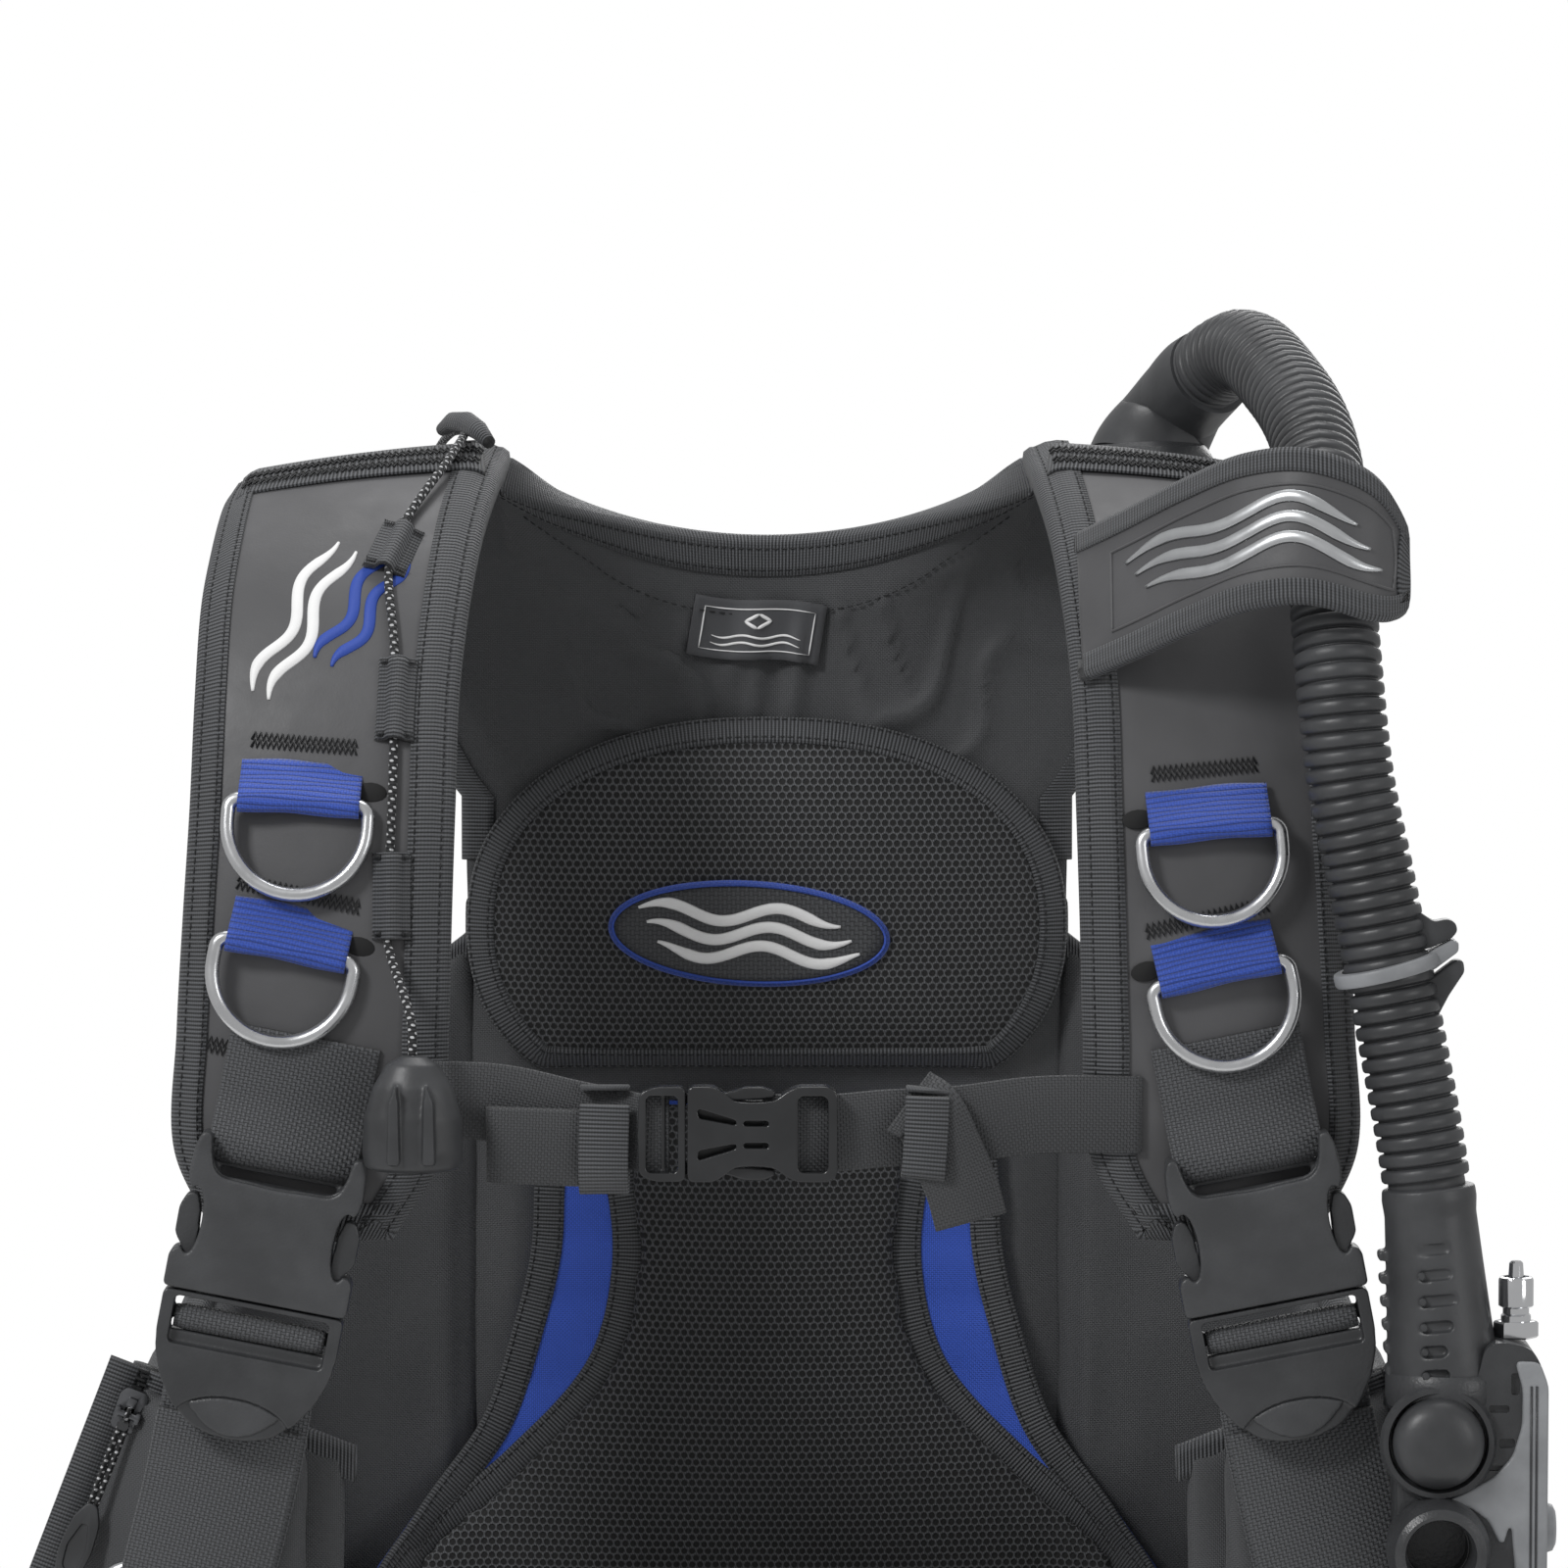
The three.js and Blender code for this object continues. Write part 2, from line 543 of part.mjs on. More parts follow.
function pocketPoint(u, v) {
  const p = pocketInner.getPoint(v).lerp(pocketOuter.getPoint(v), u);
  return p.add(P(11 * bulge(u) * 0.7, -11 * bulge(u), 0));
}
function pocket() {
  const body = sheet(pocketPoint, 6, 8, (u, v) => {
    const t = 6 + 9 * Math.sqrt(bulge(mix(0.06, 0.94, u)) * bulge(mix(0.1, 0.9, v)));
    return [-t, 8];
  });
  const rail = rod([zipTop.toArray(), zipFoot.toArray()], zipRail, 8, 1);
  const clear = sliderSize.thick / 2 + gap;
  const channel = block(15, 30 + clear, zipLong + pullLong, [0, clear / 2 - 15, 20 - (zipLong + pullLong) / 2]);
  return cut(join(cut(body, channel.applyMatrix4(zipPlace)), rail), wing(gap), lowerWebbing(gap));
}
const lowRingAt = P(197, -200, -114);
const lowPlace = new THREE.Matrix4().makeRotationY(-degrees(100)).setPosition(lowRingAt);
pair("pocket", pocket(), nylon);

// ---- zip sliders and their pulls ----
function zipSlider() {
  const body = block(sliderSize.wide, sliderSize.thick, sliderSize.tall);
  const post = (side) => block(1.6, 6.4, 4, [side * 3.6, pullPin.y + 1.6, pullPin.z]);
  const pin = new THREE.CylinderGeometry(pullPin.radius, pullPin.radius, 8, 10).rotateZ(Math.PI / 2);
  return join(body, post(-1), post(1), pin.translate(0, pullPin.y, pullPin.z)).applyMatrix4(zipPlace);
}
function zipPull() {
  const eye = new THREE.CylinderGeometry(2.5, 2.5, 4.4, 12).rotateZ(Math.PI / 2);
  const stem = block(4.4, 2.2, pullLong * 0.6, [0, -0.6, -pullLong * 0.3 - 1]);
  const grip = plate(roundedBox(10, pullLong * 0.45, 4.9, 0, -pullLong * 0.775), -2.6, 3.6, 0.8);
  const bore = new THREE.CylinderGeometry(pullPin.radius + 0.3, pullPin.radius + 0.3, 9, 10).rotateZ(Math.PI / 2);
  return cut(join(eye, stem, grip), bore).translate(0, pullPin.y, pullPin.z).applyMatrix4(zipPlace);
}
pair("zip_slider", zipSlider(), plastic);
pair("zip_pull", zipPull(), rubber);

// ---- back pads and the blue harness panel, against the air cell ----
const panelTop = 46;
const panelEdge = curve([[78, 0, panelTop], [82, 0, 8], [84, 0, -18], [91, 0, -44], [107, 0, -78], [128, 0, -109],
  [146, 0, -140],
  [152, 0, -185], [140, 0, -232]]);
const padEdge = curve([[56, 0, panelTop], [48, 0, 12], [45, 0, -22], [54, 0, -58], [84, 0, -92], [118, 0, -120],
  [138, 0, -150],
  [142, 0, -188], [130, 0, -226]]);
const wrap = (x) => -0.011 * Math.max(0, Math.abs(x) - 84) ** 2; // the panel leaves the back and follows the flanks
function panelPoint(edge, front) {
  return (u, v) => {
    const e = edge.getPoint(v);
    const x = (2 * u - 1) * e.x;
    return P(x, front + wrap(x), e.z);
  };
}
const panelMid = cellFront - gap - panelThick / 2;
const panel = (grow = 0) => sheet(panelPoint(panelEdge, panelMid), 8, 9, even(panelThick + 2 * grow));
add("harness_panel", cut(panel(), wing(gap), mirrored(wing(gap))), blue);

const padSeat = panelFront - gap;
const lumbar = sheet(panelPoint(padEdge, padSeat), 8, 9, (u, v) => {
  const t = lumbarThick * Math.pow(bulge(mix(0.08, 0.92, u)), 0.6) * Math.pow(bulge(mix(0.12, 0.88, v)), 0.4);
  return [-gap, -gap - t];
});
add("lumbar_pad", cut(lumbar, panel(gap)), mesh3d);

const ovalHalf = 104;
const ovalTop = 166;
const ovalFoot = 24;
function ovalPoint(u, v) {
  const [a, b] = [2 * u - 1, 2 * v - 1];
  const x = ovalHalf * a * Math.sqrt(1 - (b * b) / 2);
  const z = mix(ovalFoot, ovalTop, 0.5) + ((ovalTop - ovalFoot) / 2) * b * Math.sqrt(1 - (a * a) / 2);
  return P(x, cellFront - gap, z);
}
const oval = sheet(ovalPoint, 10, 8, (u, v) => {
  const t = 5 + (padThick - 5) * Math.pow(bulge(u) * bulge(v), 0.7);
  return [0, t];
});
add("upper_back_pad", cut(oval, lumbarClear(), sheet(cellPoint, 12, 14, cellOffsets(gap))), mesh3d);
function lumbarClear() {
  return block(2 * ovalHalf, 80, 2 * (panelTop + gap - ovalFoot), [0, cellFront, ovalFoot]);
}

// ---- cummerbund: elastic bands from the flanks, the left over the right in front ----
const girthRoute = [[164, -50], [170, -84], [170, -122], [154, -146], [118, -156], [70, -160], [20, -161],
  [-30, -161]];
const girthMid = -190;
function cummerbund(step) {
  const line = curve(girthRoute.map(([x, y], i) => [x, y - step * Math.min(1, i / 4), girthMid]));
  const point = (u, v) => line.getPoint(v).add(P(0, 0, (0.5 - u) * cummerbundTall));
  return cut(sheet(point, 1, 16, even(cummerbundThick)), wing(gap), panel(gap));
}
add("cummerbund_left", cummerbund(cummerbundThick + gap), nylon);
add("cummerbund_right", mirrored(cummerbund(0)), nylon);

// ---- waist belt over the cummerbund ----
const waistClip = buckle(waistWeb, 51, 45);
const waistFace = -178;
const waistAt = P(-4, waistFace - 8, girthMid);
const waistPlace = new THREE.Matrix4().makeRotationY(Math.PI / 2).setPosition(waistAt);
add("waist_buckle_socket", buckleSocket(waistClip).applyMatrix4(waistPlace), plastic);
add("waist_buckle_insert", buckleInsert(waistClip, waistWeb).applyMatrix4(waistPlace), plastic);
function beltHalf(sign, end) {
  const near = waistAt.y + (sign > 0 ? waistClip.webY : waistClip.thick / 2 - 1.6 + gap + webThick / 2);
  const far = sign > 0 ? waistFace - 4 : near;
  const line = curve([[end, near], [end + sign * 22, near], [sign * 84, far], [sign * 139, far]]
    .map(([x, y]) => [x, y, girthMid]));
  const point = (u, v) => line.getPoint(v).add(P(0, 0, (0.5 - u) * (waistWeb - 1.5)));
  return sheet(point, 1, 10, even(webThick));
}
add("waist_webbing_left", cut(beltHalf(1, waistAt.x + waistClip.recess + 1), wing(gap), pocket()), webBlack);
add("waist_webbing_right", cut(beltHalf(-1, -18), mirrored(wing(gap)), mirrored(pocket())), webBlack);

// ---- sternum strap across the chest ----
const chestClip = buckle(sternumWeb, 48, 16);
const chestZ = 44;
const chestY = -217; // middle plane of the buckle
const chestPlace = new THREE.Matrix4().makeRotationY(Math.PI / 2).setPosition(P(-25, chestY, chestZ));
add("sternum_buckle_socket", buckleSocket(chestClip).applyMatrix4(chestPlace), plastic);
add("sternum_buckle_insert", buckleInsert(chestClip, sternumWeb).applyMatrix4(chestPlace), plastic);
function chestStrap(route, steps) {
  const line = curve(route);
  const point = (u, v) => line.getPoint(v).add(P(0, 0, (0.5 - u) * sternumWeb));
  return sheet(point, 1, steps, even(webThick));
}
const chestBack = chestY + chestClip.thick / 2 - 1.6 + gap + webThick / 2;
const chestWebY = chestY + chestClip.webY;
const chestJoint = -25; // x where the insert meets the socket
const chestLeft = chestStrap([[chestJoint + chestClip.recess + 1, chestWebY, chestZ],
  [chestJoint + chestClip.socket + 3, chestWebY, chestZ], [60, -213, chestZ + 2], [88, -208.4, chestZ + 5],
  [118, -208.6, chestZ + 5]], 12);
const chestRight = chestStrap([[-29, chestBack, chestZ], [-46, chestBack, chestZ + 1], [-86, -209.6, chestZ + 9],
  [-118, -208.6, chestZ + 10]], 10);
add("sternum_strap_left", cut(chestLeft, strap(gap)), webBlack);
add("sternum_strap_right", cut(chestRight, mirrored(strap(gap))), webBlack);

// ---- power inflator: elbow on the left shoulder, corrugated hose, cuff and handset ----
const hoseRoute = [[137, -20, 266], [146, -31, 280], [160, -60, 292], [172, -110, 281], [179, -150, 264],
  [181, -193, 235],
  [183, -211, 196], [187, -216, 157], [193, -218, 128], [202, -221, 82], [209, -224, 44], [212, -225, 24]];
const hose = (radius) => rod(hoseRoute, radius, 12, 32);
add("corrugated_hose", hose(hoseRadius), rubber);

function elbow() {
  const flange = turned([[0, 0], [22, 0], [22, 9], [19, 13], [0, 15]], 24).translate(131, -30, 247);
  const neck = turned([[0, -52], [15, -52], [15, 2], [0, 2]], 18).translate(131, -30, 247);
  const port = rod([[132, -24, 258], [138, -21.2, 267.5], [141, -24.5, 272]], hoseRadius + 3, 16, 4);
  return cut(join(flange, neck, port), hose(hoseRadius + gap), sheet(cellPoint, 12, 14, cellOffsets(gap)));
}
add("inflator_elbow", elbow(), plastic);

// The cuff slips over the handset's spigot; the handset hangs from it.
const cuffTop = P(212.2, -225, 23.2);
const cuffFoot = P(217, -226, -33);
const cuffWay = cuffFoot.clone().sub(cuffTop).normalize();
const cuffLong = cuffFoot.distanceTo(cuffTop);
const cuffPlace = new THREE.Matrix4()
  .makeBasis(P(1, 0, 0).addScaledVector(cuffWay, -cuffWay.x).normalize(), P(0, 1, 0), cuffWay.clone().negate())
  .setPosition(cuffTop);
const cuff = turned([[0, -cuffLong], [cuffRadius + 0.5, -cuffLong], [cuffRadius, -cuffLong * 0.6],
  [cuffRadius - 2, -cuffLong * 0.1],
  [cuffRadius - 2, -gap], [0, -gap]], 20).applyMatrix4(cuffPlace);
add("hose_cuff", cuff, rubber);

const handset = { x: 224, y: -226, top: -34, foot: -122, wide: 42, deep: 31 };
const buttonAt = { x: 214, inflateZ: -82, deflateZ: -52, radius: 12.5 };
const mouthAt = { x: 214, z: -85 };
const front = handset.y - handset.deep / 2;
function handsetBody() {
  const tall = handset.top - handset.foot;
  const hull = plate(roundedBox(handset.wide, tall, 9, handset.x, handset.foot + tall / 2), front, handset.deep, 4);
  const shoulder = plate(roundedBox(20, 30, 6, handset.x + 16, handset.top - 2), handset.y - 10, 20, 3);
  const mouth = turned([[0, 0], [12, 0], [14, 8], [15, 22], [0, 22]], 20)
    .rotateX(Math.PI / 2).translate(mouthAt.x, front + 6, mouthAt.z);
  const bore = turned([[0, 4], [10, 4], [11, 40], [0, 40]], 16)
    .rotateX(Math.PI / 2).translate(mouthAt.x, front + 6, mouthAt.z);
  const well = turned([[0, -10], [buttonAt.radius + 0.5, -10], [buttonAt.radius + 0.5, 20], [0, 20]], 20)
    .rotateX(Math.PI / 2).translate(buttonAt.x, front, buttonAt.deflateZ);
  const side = turned([[0, -9], [8.5, -9], [8.5, 20], [0, 20]], 16)
    .rotateY(Math.PI / 2).translate(handset.x + handset.wide / 2, handset.y, buttonAt.inflateZ);
  return cut(join(hull, shoulder, mouth), bore, well, side, cuffClear());
}
function cuffClear() {
  const wide = cuffRadius + 1;
  return turned([[0, -cuffLong - gap], [wide, -cuffLong - gap], [wide, 4], [0, 4]], 20).applyMatrix4(cuffPlace);
}
add("inflator_handset", handsetBody(), plastic);
const domed = (radius, long, rise) =>
  turned([[0, 0], [radius, 0], [radius, long - rise], [0.8 * radius, long - 0.35 * rise], [0.4 * radius, long],
    [0, long]]);
const deflate = domed(buttonAt.radius, 14, 4)
  .rotateX(Math.PI / 2).translate(buttonAt.x, front + 5, buttonAt.deflateZ);
add("deflate_button", deflate, plastic);
const inflate = domed(8, 12, 3).rotateY(Math.PI / 2)
  .translate(handset.x + handset.wide / 2 - 4, handset.y, buttonAt.inflateZ);
add("inflate_button", inflate, greyPlastic);
const nippleAt = P(240, handset.y, handset.top + 13 + gap);
const nipple = turned([[0, 0], [6, 0], [6, 5], [4.4, 6], [4.4, 9], [5.4, 9.6], [5.4, 12], [3.2, 13], [3.2, 23],
  [2, 25], [0, 25]], 16);
add("low_pressure_nipple", nipple.translate(nippleAt.x, nippleAt.y, nippleAt.z), chrome);

// ---- hose clip and the flap that folds over the hose ----
function hoseClip() {
  const at = P(198.7, -220, 97);
  const ring = new THREE.LatheGeometry([[hoseRadius + gap, -2.4], [hoseRadius + 3.4, -2.4], [hoseRadius + 3.4, 2.4],
    [hoseRadius + gap, 2.4], [hoseRadius + gap, -2.4]].map((p) => new THREE.Vector2(...p)), 20).rotateX(Math.PI / 2);
  const jaw = (side) => block(13, 12, 6, [hoseRadius + 8.6, 0, side * 6]);
  const bridge = block(6, 12, 18, [hoseRadius + 5, 0, 0]);
  const made = join(closed(ring), jaw(-1), jaw(1), bridge).rotateY(degrees(-14)).translate(at.x, at.y, at.z);
  return cut(made, hose(hoseRadius + gap));
}
add("hose_clip", hoseClip(), greyPlastic);

const flapRoute = curve([[103, -173, 211], [118, -189, 219], [136, -206, 229], [154, -221, 237], [172, -229, 239],
  [191, -228, 233], [205, -217, 224]]);
function flapPoint(u, v) {
  const taper = mix(0.95, 1, bulge(u)) * Math.sqrt(1 - Math.max(0, (u - 0.78) / 0.24) ** 2);
  const reach = (v - 0.5) * flapTall * taper;
  // Its sewn end lies along the strap.
  return flapRoute.getPoint(u).add(P(0, mix(0.62, 0.15, Math.sqrt(u)) * reach, reach));
}
const flap = sheet(flapPoint, 14, 4, even(flapThick));
add("hose_flap", cut(flap, strap(2 * gap)), coated);

// ---- shoulder dump: valve behind the right shoulder, its cord through three loops, and the pull knob ----
const cordRise = cordRadius + 1;
const cordStations = [[0.3, 226], [0.24, 196], [0.22, 160], [0.22, 130], [0.22, 106]];
const cordRoute = [[118, -27, 236], [113, -37, 257], [107, -62, 266], [101, -94, 267.6], [105, -122, 258.6]];
for (const [u, z] of cordStations) {
  const m = onStrap(u, z, cordRise).elements;
  cordRoute.push([m[12], m[13], m[14]]);
}
const knobTop = P(112.5, -229.5, 70.5);
cordRoute.push([knobTop.x + 0.5, knobTop.y + 3, knobTop.z + 10], [knobTop.x, knobTop.y, knobTop.z + 2 * gap]);
const cord = (grow = 0) => rod(cordRoute, cordRadius + grow, 6, 48);
add("dump_cord", mirrored(cord()), webBlack);
const knob = turned([[0, -37], [11, -37], [15.5, -31], [15.5, -20], [11, -9], [6, -1], [3, 0], [0, 0]], 20)
  .scale(1, 0.75, 1).translate(knobTop.x, knobTop.y, knobTop.z);
add("dump_knob", mirrored(knob), rubber);
const keeper = ([u, z]) => cut(block(13, 6.6, 21).applyMatrix4(onStrap(u, z, 1)), cord(gap));
const keepers = [[0.32, 228], [0.2, 181], [0.17, 119]].map(keeper);
const rightStrap = vest.getObjectByName("shoulder_strap_right");
rightStrap.geometry = mirrored(join(strap(), ...keepers));

const dumpAt = P(121, -16, 208);
const dumpTilt = degrees(-78);
const valve = (profile) => turned(profile, 24).rotateX(dumpTilt).translate(dumpAt.x, dumpAt.y, dumpAt.z);
const seat = valve([[0, -14], [20, -14], [20, -3], [16, 1], [16, 7], [14.5, 8], [14.5, 1.5], [0, 1.5]]);
const dumpBody = cut(seat, sheet(cellPoint, 12, 14, cellOffsets(gap)), cord(gap + 0.4));
add("shoulder_dump_valve", mirrored(dumpBody), plastic);

// ---- rear dump valve low on the right of the back ----
const rearAt = P(-88, cellBack, -205);
const rearBody = turned([[0, 0], [21, 0], [21, 6], [17, 11], [9.5, 11], [9.5, 3], [0, 3]], 24).rotateX(-Math.PI / 2);
add("rear_dump_valve", rearBody.translate(rearAt.x, rearAt.y + gap, rearAt.z), plastic);
const plunger = domed(9, 9.6, 2).rotateX(-Math.PI / 2);
add("rear_dump_plunger", plunger.translate(rearAt.x, rearAt.y + gap + 3.4, rearAt.z), rubber);

// ---- low D-ring on the right pocket's upper edge ----
const lowRing = dRing(lowRingWide, lowRingDrop, 4).rotateX(degrees(2)).applyMatrix4(lowPlace);
add("d_ring_low_right", mirrored(lowRing), steel);
const tongueBore = new THREE.CylinderGeometry(2 + gap, 2 + gap, 40, 12).rotateZ(Math.PI / 2);
const tongue = cut(block(lowRingWide - 10, 30, 12, [0, 11.5, 0]), tongueBore).applyMatrix4(lowPlace);
const rightPocket = vest.getObjectByName("pocket_right");
rightPocket.geometry = mirrored(cut(join(rightPocket.geometry.clone().scale(-1, 1, 1), tongue), lowerWebbing(gap)));

export default vest;
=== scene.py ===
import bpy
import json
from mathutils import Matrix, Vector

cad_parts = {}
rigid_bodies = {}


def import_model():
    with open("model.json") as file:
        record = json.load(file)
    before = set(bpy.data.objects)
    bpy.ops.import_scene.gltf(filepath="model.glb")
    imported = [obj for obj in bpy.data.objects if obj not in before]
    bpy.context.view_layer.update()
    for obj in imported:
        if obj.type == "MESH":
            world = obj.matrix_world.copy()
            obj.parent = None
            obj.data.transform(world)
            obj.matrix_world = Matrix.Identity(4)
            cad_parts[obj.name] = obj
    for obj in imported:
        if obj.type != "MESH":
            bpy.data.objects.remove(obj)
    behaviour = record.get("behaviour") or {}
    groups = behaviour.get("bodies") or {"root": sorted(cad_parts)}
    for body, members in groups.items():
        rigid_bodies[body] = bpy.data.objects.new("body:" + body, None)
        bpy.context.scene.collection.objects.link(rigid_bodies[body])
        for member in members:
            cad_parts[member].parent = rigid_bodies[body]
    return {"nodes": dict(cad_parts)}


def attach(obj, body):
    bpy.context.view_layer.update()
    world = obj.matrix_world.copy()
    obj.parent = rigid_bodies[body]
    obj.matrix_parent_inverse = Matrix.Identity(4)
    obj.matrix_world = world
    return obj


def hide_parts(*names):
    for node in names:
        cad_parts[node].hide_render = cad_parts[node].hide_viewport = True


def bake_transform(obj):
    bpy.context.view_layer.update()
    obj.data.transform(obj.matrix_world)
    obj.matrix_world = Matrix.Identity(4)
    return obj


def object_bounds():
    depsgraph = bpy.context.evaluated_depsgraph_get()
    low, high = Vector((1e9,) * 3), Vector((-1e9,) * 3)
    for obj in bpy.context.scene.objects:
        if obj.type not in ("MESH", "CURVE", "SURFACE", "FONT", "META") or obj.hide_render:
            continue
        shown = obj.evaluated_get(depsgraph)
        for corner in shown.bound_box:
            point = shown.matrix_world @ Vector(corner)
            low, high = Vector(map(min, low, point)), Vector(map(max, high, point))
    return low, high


bl_info = {
    "name": "Buoyancy Vest",
    "version": (1, 0, 0),
    "blender": (4, 5, 0),
    "location": "View3D > Sidebar > Vest",
    "description": "Builds an adjustable scuba buoyancy vest around its packed frame",
    "category": "Object",
}

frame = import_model()

import json
import math

import bmesh
import bpy
from mathutils import Matrix, Vector, noise

CAD_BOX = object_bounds()
MM = 0.001
UP = Vector((0, 0, 1))
FRONT = Vector((0, -1, 0))


# ---- lines and surfaces, in millimetres where they are written down and in metres once read ----
class Route:
    """A smooth line through points, read at t from 0 to 1."""

    STEPS = 480

    def __init__(self, rows):
        self.p = [Vector(r) * MM for r in rows]
        self.table = [self.exact(i / self.STEPS) for i in range(self.STEPS + 1)]

    def at(self, t):
        s = min(max(t, 0.0), 1.0) * self.STEPS
        i = min(int(s), self.STEPS - 1)
        return self.table[i].lerp(self.table[i + 1], s - i)

    def exact(self, t):
        p, last = self.p, len(self.p) - 1
        s = min(max(t, 0.0), 1.0) * last
        i = min(int(s), last - 1)
        w = s - i
        b, c = p[i], p[i + 1]
        a = p[i - 1] if i else b * 2 - c
        d = p[i + 2] if i + 2 <= last else c * 2 - b
        d0, d1, d2 = (math.sqrt((q - r).length) for q, r in ((a, b), (b, c), (c, d)))
        t1 = ((b - a) / d0 - (c - a) / (d0 + d1) + (c - b) / d1) * d1
        t2 = ((c - b) / d1 - (d - b) / (d1 + d2) + (d - c) / d2) * d1
        return b + t1 * w + (3 * (c - b) - 2 * t1 - t2) * w * w + (2 * (b - c) + t1 + t2) * w ** 3

    def points(self, steps):
        return [self.at(i / steps) for i in range(steps + 1)]


def mix(a, b, t):
    return a + (b - a) * t


def clamp(t, low=0.0, high=1.0):
    return min(high, max(low, t))


def smooth(a, b, x):
    t = clamp((x - a) / (b - a))
    return t * t * (3 - 2 * t)


def bulge(t):
    return math.sin(math.pi * clamp(t))


def normal_at(point, u, v, step=1e-3):
    du = point(min(1, u + step), v) - point(max(0, u - step), v)
    dv = point(u, min(1, v + step)) - point(u, max(0, v - step))
    return du.cross(dv).normalized()


def inset(point, u, v, way, far):
    """The place far metres in from (u, v), way being a direction across and along the surface."""
    step = 0.004
    lu = (point(min(1, u + step), v) - point(max(0, u - step), v)).length / (min(1, u + step) - max(0, u - step))
    lv = (point(u, min(1, v + step)) - point(u, max(0, v - step))).length / (min(1, v + step) - max(0, v - step))
    return clamp(u + way[0] * far / lu), clamp(v + way[1] * far / lv)


def lengths(points):
    out = [0.0]
    for a, b in zip(points, points[1:]):
        out.append(out[-1] + (b - a).length)
    return out


# ---- meshes ----
def keep(name, verts, faces, uvs, finish, flat=False):
    me = bpy.data.meshes.new(name)
    me.from_pydata([tuple(v) for v in verts], [], faces)
    if uvs:
        layer = me.uv_layers.new(name="weave")
        layer.data.foreach_set("uv", [c for pair in uvs for c in pair])
    ob = bpy.data.objects.new(name, me)
    bpy.context.scene.collection.objects.link(ob)
    for f in finish if isinstance(finish, (list, tuple)) else [finish]:
        me.materials.append(f)
    work = bmesh.new()
    work.from_mesh(me)
    bmesh.ops.recalc_face_normals(work, faces=work.faces)
    work.to_mesh(me)
    work.free()
    me.polygons.foreach_set("use_smooth", [not flat] * len(me.polygons))
    return ob


def sweep(name, rings, finish, closed=False, flat=False):
    """A closed tube through rings of points, its pattern laid round (u) and along (v) in metres."""
    n, k = len(rings), len(rings[0])
    middle = rings[n // 2]
    across = lengths(list(middle) + [middle[0]])
    centres = [sum(r, Vector()) / k for r in rings]
    along = lengths(centres + ([centres[0]] if closed else []))
    faces, uvs = [], []
    for i in range(n if closed else n - 1):
        j = (i + 1) % n
        for a in range(k):
            b = (a + 1) % k
            faces.append((i * k + a, i * k + b, j * k + b, j * k + a))
            uvs += [(across[a], along[i]), (across[a + 1], along[i]), (across[a + 1], along[i + 1]),
                (across[a], along[i + 1])]
    if not closed:
        faces.append(tuple(range(k - 1, -1, -1)))
        uvs += [(across[a], along[0]) for a in range(k - 1, -1, -1)]
        faces.append(tuple((n - 1) * k + a for a in range(k)))
        uvs += [(across[a], along[-1]) for a in range(k)]
    return keep(name, [p for r in rings for p in r], faces, uvs, finish, flat)


def carried(points, start=UP):
    """A steady frame (side, out) at each point of a line."""
    ways = [(points[min(i + 1, len(points) - 1)] - points[max(i - 1, 0)]).normalized() for i in range(len(points))]
    side = ways[0].cross(start)
    if side.length < 1e-4:
        side = ways[0].cross(Vector((1, 0, 0)))
    out = []
    for way in ways:
        side = (side - way * side.dot(way)).normalized()
        out.append((side, side.cross(way).normalized()))
    return out


def tube(name, points, radius, finish, sides=10, closed=False):
    rings = []
    for i, (p, (a, b)) in enumerate(zip(points, carried(points))):
        r = radius(i / (len(points) - 1)) if callable(radius) else radius
        rings.append([p + a * r * math.cos(2 * math.pi * k / sides) + b * r * math.sin(2 * math.pi * k / sides) for k in range(sides)])
    return sweep(name, rings, finish, closed)


def ribbon(name, points, across, wide, thick, finish, soft=0.45):
    """Flat webbing: across gives its width direction at each point."""
    rings = []
    for i, p in enumerate(points):
        way = (points[min(i + 1, len(points) - 1)] - points[max(i - 1, 0)]).normalized()
        side = across(i / (len(points) - 1)) if callable(across) else across
        side = (side - way * side.dot(way)).normalized()
        out = side.cross(way).normalized()
        half = (wide(i / (len(points) - 1)) if callable(wide) else wide) / 2
        t = thick / 2
        r = t * soft
        ring = []
        for x, y in ((half - r, t), (0, t), (-half + r, t), (-half, t - r), (-half, -t + r), (-half + r, -t), (0, -t),
            (half - r, -t), (half, -t + r), (half, t - r)):
            ring.append(p + side * x + out * y)
        rings.append(ring)
    return sweep(name, rings, finish)


